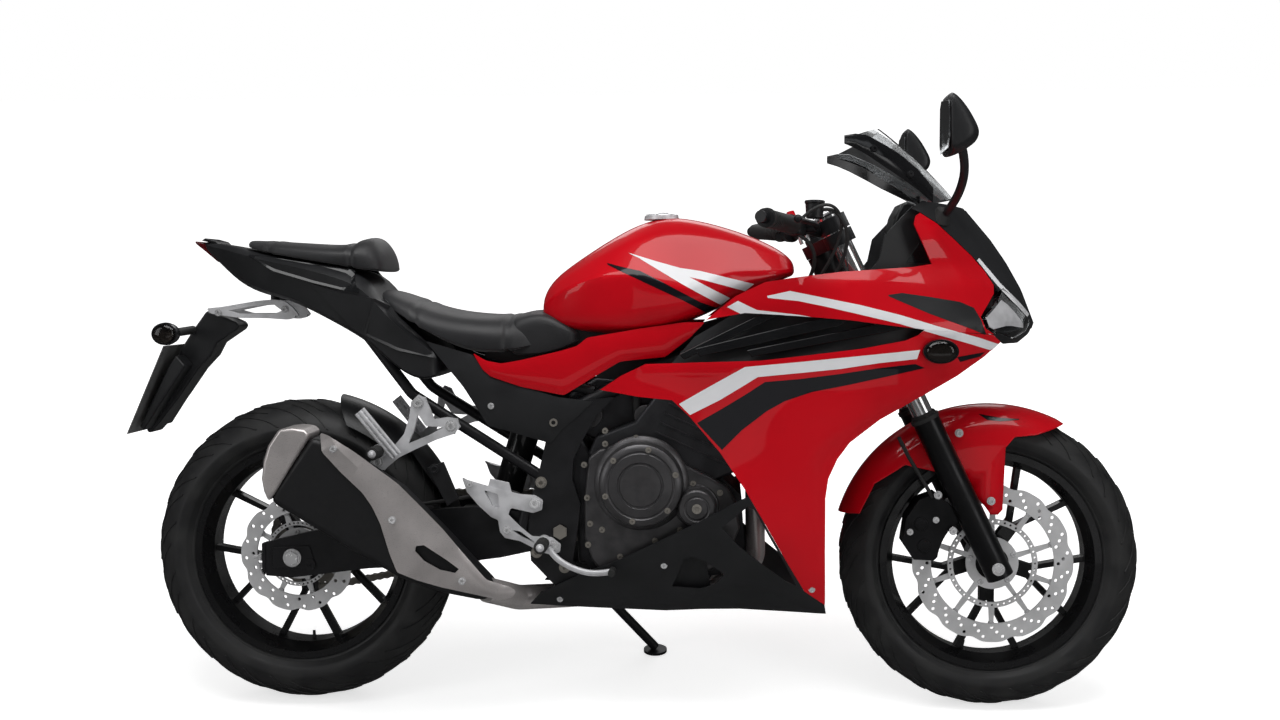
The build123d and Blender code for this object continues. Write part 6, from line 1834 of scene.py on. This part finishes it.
class MOTORCYCLE_OT_tail(Operator):
    """Tail cowl with its side panels, tail light, plate hanger and indicators"""

    bl_idname = "motorcycle.tail"
    bl_label = "Tail"

    def execute(self, context):
        cowl = section_skin(TAIL_SECTIONS, TAIL_CREASES)
        add_piece("tail_cowl_shell", cowl, "plastic", ("tail_cowl",), smooth=40, levels=2)

        for name, line, finish, lift in (
            ("tail_upper_panel", TAIL_LINE_HIGH, "gloss", 1.6), ("tail_lower_panel", TAIL_LINE_LOW, "plastic", 2.4)
        ):
            places = [sight_xz(pixel, -120) for pixel in line]
            panel = panel_mesh(rounded(places, 6), lambda x, z, lift=lift: tail_half(x, z) + lift, step=9.0)
            shell(panel, 2.0)
            add_piece(name, panel, finish, smooth=30)

        add_plates("tail_light_lens", ((TAIL_LENS, -34, 34),), "ruby", "tail_light", bevel=0.004)
        add_plates("tail_light_rim", ((TAIL_RIM, -40, 40),), "gloss", bevel=0.002)
        hanger = ((HANGER_OUTLINE, -33, 33), (HANGER_BACK, -78, 78))
        add_plates("plate_hanger_body", hanger, "plastic", "plate_hanger", smooth=40, bevel=0.005)
        arm = panel_mesh(rounded(HANGER_ARM_OUTLINE, 5), lambda x, z: 46.0, (), (HANGER_SLOT,), step=10.0)
        shell(arm, 7.0)
        add_piece("plate_hanger_arms", arm, "silver", smooth=30, bevel=0.001)
        stems = bmesh.new()
        for hand in HANDS:
            bar(stems, spot(-905, hand * 30, 772), spot(-912, hand * 142, 768), 0.009, 0.0085)
        add_piece("indicator_stems", stems, "rubber")

        pods = bmesh.new()
        lenses = bmesh.new()
        for x, z, start, reach, (wide, tall) in INDICATORS:
            for hand in HANDS:
                near = start if start else body_half(x, z) - 6
                for bm, rows in ((pods, POD_ROWS), (lenses, LENS_ROWS)):
                    skin(bm, [
                        self.oval(x, hand * (near + reach * share), z, wide * size, tall * size)
                        for share, size in rows
                    ])
        add_piece("indicator_pods", pods, "gloss", ("indicators",), smooth=50)
        add_piece("indicator_lenses", lenses, "amber", smooth=50)

        sheet = bmesh.new()
        (top, high), (foot, low) = PLATE_EDGES
        corners = ((top, -1, high), (top, 1, high), (foot, 1, low), (foot, -1, low))
        face = sheet_face(sheet, [spot(x, hand * PLATE_HALF, z) for x, hand, z in corners])
        thicken(sheet, face, Vector((-0.0022, 0, 0.001)))
        add_piece("number_plate_blank", sheet, "plate", ("number_plate",), bevel=0.0008)
        screws = bmesh.new()
        for y in (-60, 60):
            bolt(screws, spot(-956, y, 712), Vector((-0.91, 0, 0.4)), 0.005, 0.004)
        for x, z in ((-845, 808), (-705, 815)):
            for hand in HANDS:
                bolt(screws, spot(x, hand * 46, z), ACROSS * hand, 0.0055, 0.005)
        add_piece("hanger_screws", screws, "bright")
        return {"FINISHED"}

    def oval(self, x, y, z, wide, tall):
        """Ring of an indicator at a distance to the left."""
        return [spot(x + wide * math.cos(turn), y, z + tall * math.sin(turn)) for turn in turns(24)]


def tail_half(x, z):
    """Half width of the tail cowl at a place, in millimetres."""
    places = [row[0] for row in TAIL_SECTIONS]
    column = [eased(places, [row[1][i][0] for row in TAIL_SECTIONS], x) for i in range(5)]
    heights = [eased(places, [row[1][i][1] for row in TAIL_SECTIONS], x) for i in range(5)]
    order = sorted(zip(heights[1:4], column[1:4]))
    return eased([h for h, _ in order], [w for _, w in order], z)


# Mirror head seen from the side, in millimetres, and its share of size across the machine
MIRROR_HEAD = (
    (598, 1205), (606, 1207), (620, 1195), (634, 1178), (646, 1158), (655, 1141), (657, 1130), (653, 1118),
    (644, 1110), (626, 1099), (606, 1092), (600, 1096),
)
MIRROR_STEPS = ((241, 0.72), (244, 0.9), (256, 0.99), (290, 1.0), (330, 0.98), (352, 0.9), (364, 0.76), (369, 0.55))
MIRROR_FACE, MIRROR_MIDDLE = 598, 1148
# Mirror glass seen from behind, and the way of a stalk from the fairing to the head
MIRROR_GLASS = ((252, 1100), (350, 1104), (362, 1122), (363, 1160), (352, 1188), (262, 1197), (248, 1184), (246, 1118))
MIRROR_STALK = ((630, 94, 996), (640, 150, 1016), (650, 200, 1048), (646, 246, 1086), (632, 268, 1122))
# Instrument housing seen from the side; its face from the lower to the upper edge
HOUSING_OUTLINE = (
    (540, 958), (532, 972), (540, 1000), (552, 1022), (564, 1028), (580, 1020), (596, 992), (600, 984), (598, 958),
)
FACE_LOW, FACE_HIGH = Vector((537.5, 0, 976)), Vector((555, 0, 1019))
# Inner panels between the screen and the fairing, traced in the photograph's pixels
INNER_PANEL = ((868, 272), (878, 259), (883, 236), (900, 218), (913, 205), (923, 207), (930, 232), (944, 270))
INNER_RECESS = ((905, 263), (919, 243), (929, 241), (938, 263))
# A guide of bright wire for the cables beside the top yoke, in the photograph's pixels
GUIDE_PIXELS = ((829, 212), (819, 217), (809, 224), (805, 234), (809, 241))
# Screen trims: place of a section, and its half height; screws of the trims
TRIM_SCREWS = ((482, 186.5, 1118), (556, 146, 1073))
TRIM_ROWS = (
    (424, 212, 1134, 7), (446, 202, 1132, 13), (470, 190, 1125, 18), (505, 172, 1106, 20), (536, 158.4, 1088, 21),
    (576, 126, 1062, 19), (608, 90, 1036, 14),
)
# Cables and levers of the bars: side (1 is the right), steps from the switches inwards along the grip, ahead and up
# in millimetres, and radius in metres
CONTROL_CABLES = (
    ("brake_line", 1, ((43, 30, 24), (43, 60, 46), (73, 100, 4), (103, 75, -60), (118, 30, -120)), 0.0036),
    ("throttle_cable", 1, ((12, 12, 10), (20, 50, 50), (60, 90, 40), (90, 70, -30), (100, 20, -100)), 0.0032),
    ("clutch_cable", -1, ((47, 30, 0), (63, 80, 0), (93, 100, -20), (123, 60, -90)), 0.0032),
    ("switch_loom_right", 1, ((30, 0, -14), (50, 30, -30), (80, 30, -60), (100, 0, -100)), 0.0038),
)
LEVER_STEPS = ((43, 36, 0), (13, 47, 0), (-27, 50, 0), (-72, 46, 0), (-107, 50, 0))
# The last stretch of a grip's points that gives its end, in metres
GRIP_END = 0.012


class MOTORCYCLE_OT_cockpit(Operator):
    """Mirrors, screen trims, instruments, clip-on controls and their cables"""

    bl_idname = "motorcycle.cockpit"
    bl_label = "Cockpit"

    def execute(self, context):
        self.mirrors()
        self.screen()
        self.instruments()
        self.inner_panels()
        self.controls()
        return {"FINISHED"}

    def mirrors(self):
        """Rounded mirror heads on curved stalks, with their glass."""
        face, middle = MIRROR_FACE, MIRROR_MIDDLE
        heads = bmesh.new()
        skin(heads, [
            [spot(face + (x - face) * share, -y, middle + (z - middle) * (0.35 + 0.65 * share)) for x, z in MIRROR_HEAD]
            for y, share in MIRROR_STEPS
        ])
        mirrored(heads)
        add_piece("mirror_heads", heads, "plastic", ("mirrors",), smooth=50, levels=2)
        glass = bmesh.new()
        pane = sheet_face(glass, [spot(face - 1.4, -y, z) for y, z in MIRROR_GLASS])
        thicken(glass, pane, Vector((0.0015, 0, 0)))
        mirrored(glass)
        add_piece("mirror_glasses", glass, "mirror", bevel=0.0005)
        for name, hand in (("mirror_stalk_right", -1), ("mirror_stalk_left", 1)):
            cable(name, [spot(x, hand * y, z) for x, y, z in MIRROR_STALK], 0.0085, "plastic")
        feet = bmesh.new()
        for hand in HANDS:
            start = spot(627, hand * 90, 996)
            bar(feet, start - Vector((0.006, 0, 0.012)), start + Vector((0.002, hand * 0.01, 0.012)), 0.021, 0.0135, 32)
        add_piece("mirror_feet", feet, "rubber", bevel=0.002)

    def screen(self):
        """Side trims of the windscreen as rounded blades, with screws."""
        trims = bmesh.new()
        screws = bmesh.new()
        for hand in HANDS:
            loops = []
            for x, y, z, half in TRIM_ROWS:
                near, far = hand * (y - 1.0), hand * (y + 6.0)
                loops.append([
                    spot(x, near, z - half), spot(x, (near + far) / 2, z - half - 1), spot(x, far, z - half * 0.75),
                    spot(x, far + hand, z), spot(x, far, z + half * 0.75), spot(x, (near + far) / 2, z + half + 1),
                    spot(x, near, z + half),
                ])
            skin(trims, loops)
            for x, y, z in TRIM_SCREWS:
                bolt(screws, spot(x, hand * (y + 6), z), Vector((0.2, hand, 0.1)), 0.0052, 0.0045)
        add_piece("screen_trim_blades", trims, "gloss", ("screen_trims",), smooth=40)
        add_piece("screen_trim_screws", screws, "frame")

    def instruments(self):
        """Instrument housing with its display and buttons."""
        housing = ((HOUSING_OUTLINE, -66, 66),)
        add_plates("instrument_housing", housing, "plastic", "instrument_panel", smooth=40, bevel=0.007)
        centre = (FACE_LOW + FACE_HIGH) / 2
        way = (FACE_HIGH - FACE_LOW).normalized()
        out = Vector((-way.z, 0, way.x))
        for name, wide, tall, lift, finish in (
            ("instrument_bezel", 52, 20, 1.0, "gloss"), ("instrument_display", 44, 15, 2.0, "display")
        ):
            bm = bmesh.new()
            middle = centre + out * lift
            top, foot = middle + way * tall, middle - way * tall
            half, narrow = ACROSS * wide, ACROSS * wide * 0.9
            corners = [top + half, top - half, foot - narrow, foot + narrow]
            face = sheet_face(bm, [corner * MM for corner in corners])
            thicken(bm, face, out * 0.003)
            add_piece(name, bm, finish, bevel=0.0015)
        buttons = bmesh.new()
        for y in (-50, 50):
            start = (centre + out * 3 + way * -4) * MM + ACROSS * y * MM
            bar(buttons, start, start + out * 0.004, 0.0048, segments=20)
        add_piece("instrument_buttons", buttons, "rubber", bevel=0.0008)

    def inner_panels(self):
        """Moulded panels inside the fairing on both sides of the instruments."""
        panels = bmesh.new()
        recesses = bmesh.new()
        for hand in HANDS:
            for bm, outline, wall in ((panels, INNER_PANEL, 0.004), (recesses, INNER_RECESS, 0.0045)):
                places = [sight_xz(pixel, -95) for pixel in outline]
                corners = [spot(x, hand * (110 - (x - 505) * 0.2), z) for x, z in places]
                thicken(bm, sheet_face(bm, corners), ACROSS * hand * wall)
        add_piece("inner_panels", panels, "plastic", bevel=0.0015)
        add_piece("inner_panel_recesses", recesses, "gloss", bevel=0.0004)

    def controls(self):
        """Grips with end weights, levers, switch housings and cables, on the steering body."""
        right = right_side("grips")
        far, near = min(v.y for v in right), max(v.y for v in right)
        outer = mean([v for v in right if v.y < far + GRIP_END])
        inner = mean([v for v in right if v.y > near - GRIP_END])
        way = (inner - outer).normalized()
        length = (inner - outer).length
        ahead = way.cross(Vector((0, 0, 1))).normalized()
        if ahead.x < 0:
            ahead = -ahead
        up = ahead.cross(way).normalized()
        if up.z < 0:
            up = -up
        ribs = bmesh.new()
        for number in range(13):
            start = outer + way * (0.012 + number * (length - 0.03) / 13)
            bar(ribs, start, start + way * 0.0035, 0.0168, segments=36)
        bar(ribs, inner - way * 0.007, inner - way * 0.002, 0.0195, segments=36)
        bar(ribs, outer + way * 0.002, outer + way * 0.007, 0.0185, segments=36)
        mirrored(ribs)
        add_piece("grip_ribs", ribs, "rubber", bevel=0.0008, body="steering")
        weights = bmesh.new()
        bar(weights, outer - way * 0.001, outer + way * 0.001, 0.016, segments=36)
        mirrored(weights)
        add_piece("bar_ends", weights, "frame", bevel=0.0006, body="steering")

        housings = bmesh.new()
        start = inner + way * 0.003
        box_verts = bmesh.ops.create_cube(housings, size=1.0)["verts"]
        turn = Matrix((way, ahead, up)).transposed().to_4x4()
        place = Matrix.Translation(start + way * 0.019 + up * 0.001) @ turn @ Matrix.Diagonal((0.034, 0.034, 0.036, 1))
        bmesh.ops.transform(housings, matrix=place, verts=box_verts)
        mirrored(housings)
        add_piece("switch_housings", housings, "plastic", ("hand_controls",), smooth=40, bevel=0.005, body="steering")
        keys = bmesh.new()
        for along, high, wide in ((0.012, 0.004, 0.005), (0.026, 0.004, 0.004)):
            middle = start + way * along - ahead * 0.017 + up * high
            bar(keys, middle, middle - ahead * 0.004, wide, segments=16)
        mirrored(keys)
        add_piece("switch_keys", keys, "rubber", bevel=0.0008, body="steering")
        stop = bmesh.new()
        middle = start + way * 0.014 - ahead * 0.006 + up * 0.017
        bar(stop, middle, middle + up * 0.010 - ahead * 0.003, 0.009, 0.0075, 24)
        add_piece("stop_switch", stop, "red", bevel=0.001, body="steering")

        clamp = bmesh.new()
        root = start + way * 0.043
        bar(clamp, root - way * 0.011, root + way * 0.011, 0.0185, segments=32)
        bar(clamp, root + ahead * 0.004, root + ahead * 0.036 + way * -0.004, 0.0115, 0.0105, 24)
        mirrored(clamp)
        add_piece("lever_perches", clamp, "frame", bevel=0.0015, body="steering")
        pot = bmesh.new()
        seat_at = root + ahead * 0.03 + up * 0.016
        bar(pot, seat_at, seat_at + up * 0.028, 0.016, 0.018, 32)
        bar(pot, seat_at + up * 0.028, seat_at + up * 0.034, 0.0195, segments=32)
        add_piece("brake_reservoir", pot, "plastic", bevel=0.0012, body="steering")

        def reached(steps, hand):
            places = [start + (way * along + ahead * front + up * high) * MM for along, front, high in steps]
            return flipped(places, hand)

        for name, hand, steps, radius in CONTROL_CABLES:
            cable(name, reached(steps, hand), radius, "rubber", body="steering")
        guide = [sight(pixel, -114) for pixel in GUIDE_PIXELS]
        for name, hand in (("cable_guide_right", 1), ("cable_guide_left", -1)):
            cable(name, flipped(guide, hand), 0.0042, "bright", body="steering")
        for name, hand in (("brake_lever", 1), ("clutch_lever", -1)):
            places = reached(LEVER_STEPS, hand)
            cable(name, places, 0.0052, "frame", body="steering")
            tip = bmesh.new()
            ball(tip, places[-1], 0.0078)
            add_piece(name + "_tip", tip, "frame", smooth=60, body="steering")

# Bolts of the mudguard (both sides) and of the caliper: pixel, distance from the middle, sides and radius
FRONT_BOLTS = (
    ((959, 433), 80, HANDS, 0.0062), ((991, 501), 80, HANDS, 0.0062),
    ((938, 495), 104, HANDS[:1], 0.006), ((953, 531), 104, HANDS[:1], 0.006),
)
CALIPER_BOSSES = ((921, 524), (924, 546))
CALIPER_BOLTS = ((910, 532), (936, 520))
GUARD_EDGE = 0.02


class MOTORCYCLE_OT_front(Operator):
    """Mudguard with its vents, fork seals and caps, axle caps and the caliper with its bosses and bolts"""

    bl_idname = "motorcycle.front"
    bl_label = "Front end"

    def execute(self, context):
        way = fork_way().normalized()
        guard = upright_copy(NODES["front_mudguard"])
        long_edges = [edge for edge in guard.edges if edge.calc_length() > GUARD_EDGE]
        bmesh.ops.subdivide_edges(guard, edges=long_edges, cuts=1, use_grid_fill=True)
        add_piece("front_mudguard_shell", guard, "red", ("front_mudguard",), smooth=48, body="steering")

        bolts = bmesh.new()
        for pixel, out, hands, radius in FRONT_BOLTS:
            x, z = sight_xz(pixel, -out)
            for hand in hands:
                bolt(bolts, spot(x, hand * out, z), ACROSS * hand, radius, 0.006)
        add_piece("front_end_bolts", bolts, "bright", body="steering")
        self.fork(way)
        self.caliper()
        add_stripe("mudguard_vents", [bpy.data.objects["front_mudguard_shell"]], GUARD_VENT, "gloss", "steering")
        return {"FINISHED"}

    def fork(self, way):
        """Dust seals, fork caps and the caps of the front axle."""
        rows = {}
        for name in ("fork_sliders", "fork_tubes"):
            side = right_side(name)
            reach = max(v.dot(way) for v in side)
            rows[name] = mean([v for v in side if v.dot(way) > reach - 0.004])
        seals = bmesh.new()
        start = rows["fork_sliders"]
        bar(seals, start - way * 0.006, start + way * 0.003, 0.0292, segments=48)
        bar(seals, start + way * 0.003, start + way * 0.010, 0.0265, 0.0235, 48)
        mirrored(seals)
        add_piece("fork_seals", seals, "rubber", bevel=0.001, body="steering")
        caps = bmesh.new()
        top = rows["fork_tubes"]
        bar(caps, top - way * 0.001, top + way * 0.004, 0.0195, segments=40)
        bar(caps, top + way * 0.004, top + way * 0.008, 0.0105, segments=6)
        mirrored(caps)
        add_piece("fork_caps", caps, "frame", bevel=0.0012, body="steering")
        nut = bmesh.new()
        sliders = upright_copy(NODES["fork_sliders"])
        near = [v.co for v in sliders.verts if math.hypot(v.co.x - FRONT_AXLE.x, v.co.z - FRONT_AXLE.z) < 0.03]
        side = max(abs(place.y) for place in near)
        sliders.free()
        for hand in HANDS:
            place = Vector((FRONT_AXLE.x, hand * (side - 0.002), FRONT_AXLE.z))
            bar(nut, place, place + ACROSS * hand * 0.003, 0.0125, segments=32)
            bar(nut, place + ACROSS * hand * 0.003, place + ACROSS * hand * 0.005, 0.0085, segments=6)
        add_piece("front_axle_caps", nut, "bright", bevel=0.0008, body="steering")

    def caliper(self):
        """Caliper body with its pistons' bosses and its bolts."""
        bm = upright_copy(NODES["front_caliper"])
        bmesh.ops.dissolve_limit(bm, angle_limit=math.radians(1), verts=bm.verts, edges=bm.edges)
        outer = min(v.co.y for v in bm.verts)
        add_piece("front_caliper_body", bm, "slider", ("front_caliper",), smooth=35, bevel=0.0035, body="steering")
        bosses = bmesh.new()
        for pixel in CALIPER_BOSSES:
            place = sight(pixel, outer / MM)
            bar(bosses, place + ACROSS * 0.002, place - ACROSS * 0.003, 0.0135, 0.0125, 36)
            bar(bosses, place, place - ACROSS * 0.0036, 0.008, segments=28)
        add_piece("front_caliper_bosses", bosses, "slider", bevel=0.0008, body="steering")
        pins = bmesh.new()
        for pixel in CALIPER_BOLTS:
            place = sight(pixel, outer / MM)
            bolt(pins, place, -ACROSS, 0.0048, 0.005)
        add_piece("front_caliper_bolts", pins, "bright", body="steering")


def fork_way():
    """Direction of the fork: the steering axis, upright and pointing up."""
    axis = Vector(JOINTS["steering"]["axis"])
    axis = UPRIGHT.to_3x3() @ axis
    return axis if axis.z > 0 else -axis


# Hangers of the pegs in the photograph's pixels, with their openings
PILLION_HANGER = (
    (418, 395), (425, 398), (430, 408), (434, 419), (448, 417), (457, 419), (460, 427), (454, 434), (436, 440),
    (414, 450), (398, 458), (384, 470), (375, 470), (370, 462), (378, 454), (394, 446), (404, 434), (409, 418),
    (411, 402),
)
PILLION_HOLES = (((418, 414), (426, 426), (444, 427), (428, 436), (408, 444), (414, 430)),)
RIDER_HANGER = (
    (462, 478), (482, 484), (500, 489), (520, 494), (535, 495), (543, 500), (542, 510), (533, 513), (511, 508),
    (508, 514), (520, 526), (532, 536), (552, 537), (561, 544), (560, 552), (552, 555), (541, 552), (520, 541),
    (505, 538), (500, 532), (498, 520), (491, 517), (478, 505), (467, 492),
)
RIDER_HOLES = (((484, 490), (498, 494), (500, 508), (492, 506)), ((512, 530), (520, 531), (536, 543), (522, 537)))
# Bolts of both hangers in the photograph's pixels, and their radii
HANGER_BOLTS = (
    ((418, 403), 0.0085), ((451, 426), 0.0085), ((377, 462), 0.009), ((535, 503), 0.0085), ((552, 546), 0.0085),
    ((507, 530), 0.006), ((470, 484), 0.0045),
)
# The other foot controls and the fittings round the swingarm, in millimetres
HEEL_GUARD = ((-268, 478), (-230, 470), (-222, 440), (-232, 404), (-262, 420), (-276, 448))
PEG_REACH, PEG_NEAR = 209, 146
PEGS_AT = ((-488, 534), (-160, 352))
BRAKE_PEDAL = ((-150, -150, 342), (-138, -156, 322), (-100, -162, 300), (-58, -168, 292), (-24, -172, 300))
SHIFT_LEVER = ((-150, 150, 342), (-128, 156, 320), (-90, 162, 306), (-44, 168, 312))
SHIFT_ROD = ((-120, 146, 336), (-80, 142, 360), (-44, 138, 380))
REAR_HOSE = (
    (-196, -130, 424), (-206, -124, 460), (-300, -118, 440), (-420, -112, 420), (-520, -108, 410), (-566, -96, 396),
)
ADJUSTER = ((-716, 292), (-716, 334), (-640, 338), (-632, 314), (-640, 290))
ADJUSTER_CAP = ((-738, 284), (-731, 284), (-731, 342), (-738, 342))


class MOTORCYCLE_OT_feet(Operator):
    """Peg hangers with openings, folding pegs, heel guards, pedals and their links"""

    bl_idname = "motorcycle.feet"
    bl_label = "Foot controls"

    def execute(self, context):
        for name, node, outline, holes, near in (
            ("pillion_hanger_castings", "pillion_peg_hangers", PILLION_HANGER, PILLION_HOLES, 142.0),
            ("rider_hanger_castings", "rider_foot_controls", RIDER_HANGER, RIDER_HOLES, 142.0),
        ):
            outline = [sight_xz(pixel, -near) for pixel in outline]
            holes = [[sight_xz(pixel, -near) for pixel in hole] for hole in holes]
            closed = outline + outline[:1]

            def rise(x, z, closed=closed, near=near):
                return near + 2.0 * (1 - math.exp(-segment_gap(x, z, closed)[0] / 4.0))

            bm = panel_mesh(rounded(outline, 3), rise, (), [rounded(hole, 4) for hole in holes], step=7.0)
            bmesh.ops.solidify(bm, geom=bm.faces[:], thickness=7.0 * MM)
            mirrored(bm)
            add_piece(name, bm, "silver", (node,), smooth=30, bevel=0.0012)

        pegs = bmesh.new()
        rubbers = bmesh.new()
        reach, near = PEG_REACH, PEG_NEAR
        for x, z in PEGS_AT:
            for hand in HANDS:
                bar(pegs, spot(x, hand * 134, z), spot(x, hand * (near + 10), z), 0.0135, segments=32)
                bar(pegs, spot(x, hand * (near + 8), z), spot(x, hand * reach, z), 0.0085, 0.008, 24)
                bar(rubbers, spot(x, hand * (near + 12), z), spot(x, hand * (reach - 1), z), 0.0118, 0.0108, 28)
                for number in range(7):
                    start = near + 14 + number * 7
                    bar(rubbers, spot(x, hand * start, z), spot(x, hand * (start + 3.6), z), 0.0132, 0.0132, 12)
                ball(pegs, spot(x, hand * (reach + 1.5), z), 0.0064)
        add_piece("foot_pegs", pegs, "silver", smooth=40, bevel=0.001)
        add_piece("foot_peg_rubbers", rubbers, "rubber", smooth=30, bevel=0.0008)

        bolts = bmesh.new()
        for pixel, radius in HANGER_BOLTS:
            x, z = sight_xz(pixel, -143)
            for hand in HANDS:
                bolt(bolts, spot(x, hand * 143.5, z), ACROSS * hand, radius, 0.007)
        folded = bmesh.new()
        for hand in HANDS:
            low, high = (sight_xz(pixel, -158) for pixel in ((396, 456), (360, 411)))
            foot = spot(low[0], hand * 156, low[1])
            top = spot(high[0], hand * 162, high[1])
            along = (top - foot).normalized()
            bar(folded, foot, top, 0.0052, segments=20)
            over = along.cross(ACROSS).normalized()
            for side in (-1, 1):
                bar(folded, foot + over * side * 0.0085, top + over * side * 0.0085, 0.0038, segments=16)
            for number in range(8):
                start = foot + (top - foot) * ((number + 0.5) / 8)
                bar(folded, start - over * 0.011, start + over * 0.011, 0.0036, segments=12)
        add_piece("pillion_peg_treads", folded, "silver", smooth=40)
        add_piece("hanger_bolts", bolts, "bright")

        guards = [(HEEL_GUARD, hand * 134, hand * 136.5) for hand in HANDS]
        add_plates("heel_guards", guards, "silver", smooth=40, bevel=0.001)
        cable("brake_pedal", [spot(*place) for place in BRAKE_PEDAL], 0.0062, "silver")
        cable("shift_lever", [spot(*place) for place in SHIFT_LEVER], 0.006, "silver")
        pads = bmesh.new()
        bar(pads, spot(-22, -160, 300), spot(-22, -194, 300), 0.0075, segments=24)
        bar(pads, spot(-42, 160, 313), spot(-42, 194, 313), 0.008, segments=24)
        add_piece("pedal_pads", pads, "rubber", bevel=0.001)
        cable("shift_rod", [spot(*place) for place in SHIFT_ROD], 0.0034, "bright", 3)
        nuts = bmesh.new()
        adjusters = bmesh.new()
        for hand in HANDS:
            plate(adjusters, ADJUSTER, hand * 119, hand * 122)
            plate(adjusters, ADJUSTER_CAP, hand * 104, hand * 121)
            bar(nuts, spot(-675, hand * 121, 313.3), spot(-675, hand * 125, 313.3), 0.0185, segments=36)
            bar(nuts, spot(-675, hand * 125, 313.3), spot(-675, hand * 131, 313.3), 0.0145, segments=6)
            bar(nuts, spot(-757, hand * 112, 313), spot(-731, hand * 112, 313), 0.004, segments=16)
            bar(nuts, spot(-746, hand * 112, 313), spot(-740, hand * 112, 313), 0.0085, segments=6)
        add_piece("chain_adjusters", adjusters, "frame", bevel=0.001)
        add_piece("rear_axle_nuts", nuts, "bright", bevel=0.0008)
        cylinder = bmesh.new()
        bar(cylinder, spot(-206, -130, 372), spot(-196, -130, 424), 0.0105, segments=28)
        bar(cylinder, spot(-208, -130, 360), spot(-206, -130, 372), 0.006, segments=20)
        add_piece("rear_master_cylinder", cylinder, "frame", bevel=0.001)
        cable("rear_brake_hose", [spot(*place) for place in REAR_HOSE], 0.0042, "rubber")
        return {"FINISHED"}


class MOTORCYCLE_PT_pieces(Panel):
    """Buttons and settings of the motorcycle's pieces."""

    bl_idname = "MOTORCYCLE_PT_pieces"
    bl_label = "Sport motorcycle"
    bl_space_type = "VIEW_3D"
    bl_region_type = "UI"
    bl_category = "Motorcycle"

    def draw(self, context):
        for settings in ("motorcycle_paint", "motorcycle_tyres", "motorcycle_light"):
            group = getattr(context.scene, settings)
            for label in group.bl_rna.properties.keys():
                if label not in ("rna_type", "name"):
                    self.layout.prop(group, label)
        for operator in OPERATORS:
            self.layout.operator(operator.bl_idname)


SETTINGS = {"motorcycle_paint": PaintSettings, "motorcycle_tyres": TyreSettings, "motorcycle_light": LightSettings}
OPERATORS = (
    MOTORCYCLE_OT_stage,
    MOTORCYCLE_OT_finish_nodes,
    MOTORCYCLE_OT_tyres,
    MOTORCYCLE_OT_body,
    MOTORCYCLE_OT_tank,
    MOTORCYCLE_OT_seats,
    MOTORCYCLE_OT_stripes,
    MOTORCYCLE_OT_exhaust,
    MOTORCYCLE_OT_engine,
    MOTORCYCLE_OT_wheels,
    MOTORCYCLE_OT_tail,
    MOTORCYCLE_OT_cockpit,
    MOTORCYCLE_OT_front,
    MOTORCYCLE_OT_feet,
)


def register():
    """Adds the settings, the operators and the panel."""
    for name, group in SETTINGS.items():
        bpy.utils.register_class(group)
        setattr(bpy.types.Scene, name, PointerProperty(type=group))
    for operator in OPERATORS:
        bpy.utils.register_class(operator)
    bpy.utils.register_class(MOTORCYCLE_PT_pieces)


def unregister():
    """Takes them away again."""
    bpy.utils.unregister_class(MOTORCYCLE_PT_pieces)
    for operator in reversed(OPERATORS):
        bpy.utils.unregister_class(operator)
    for name, group in SETTINGS.items():
        delattr(bpy.types.Scene, name)
        bpy.utils.unregister_class(group)


def main():
    """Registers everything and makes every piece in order."""
    register()
    for operator in OPERATORS:
        group, action = operator.bl_idname.split(".")
        getattr(getattr(bpy.ops, group), action)()


if __name__ == "__main__":
    main()
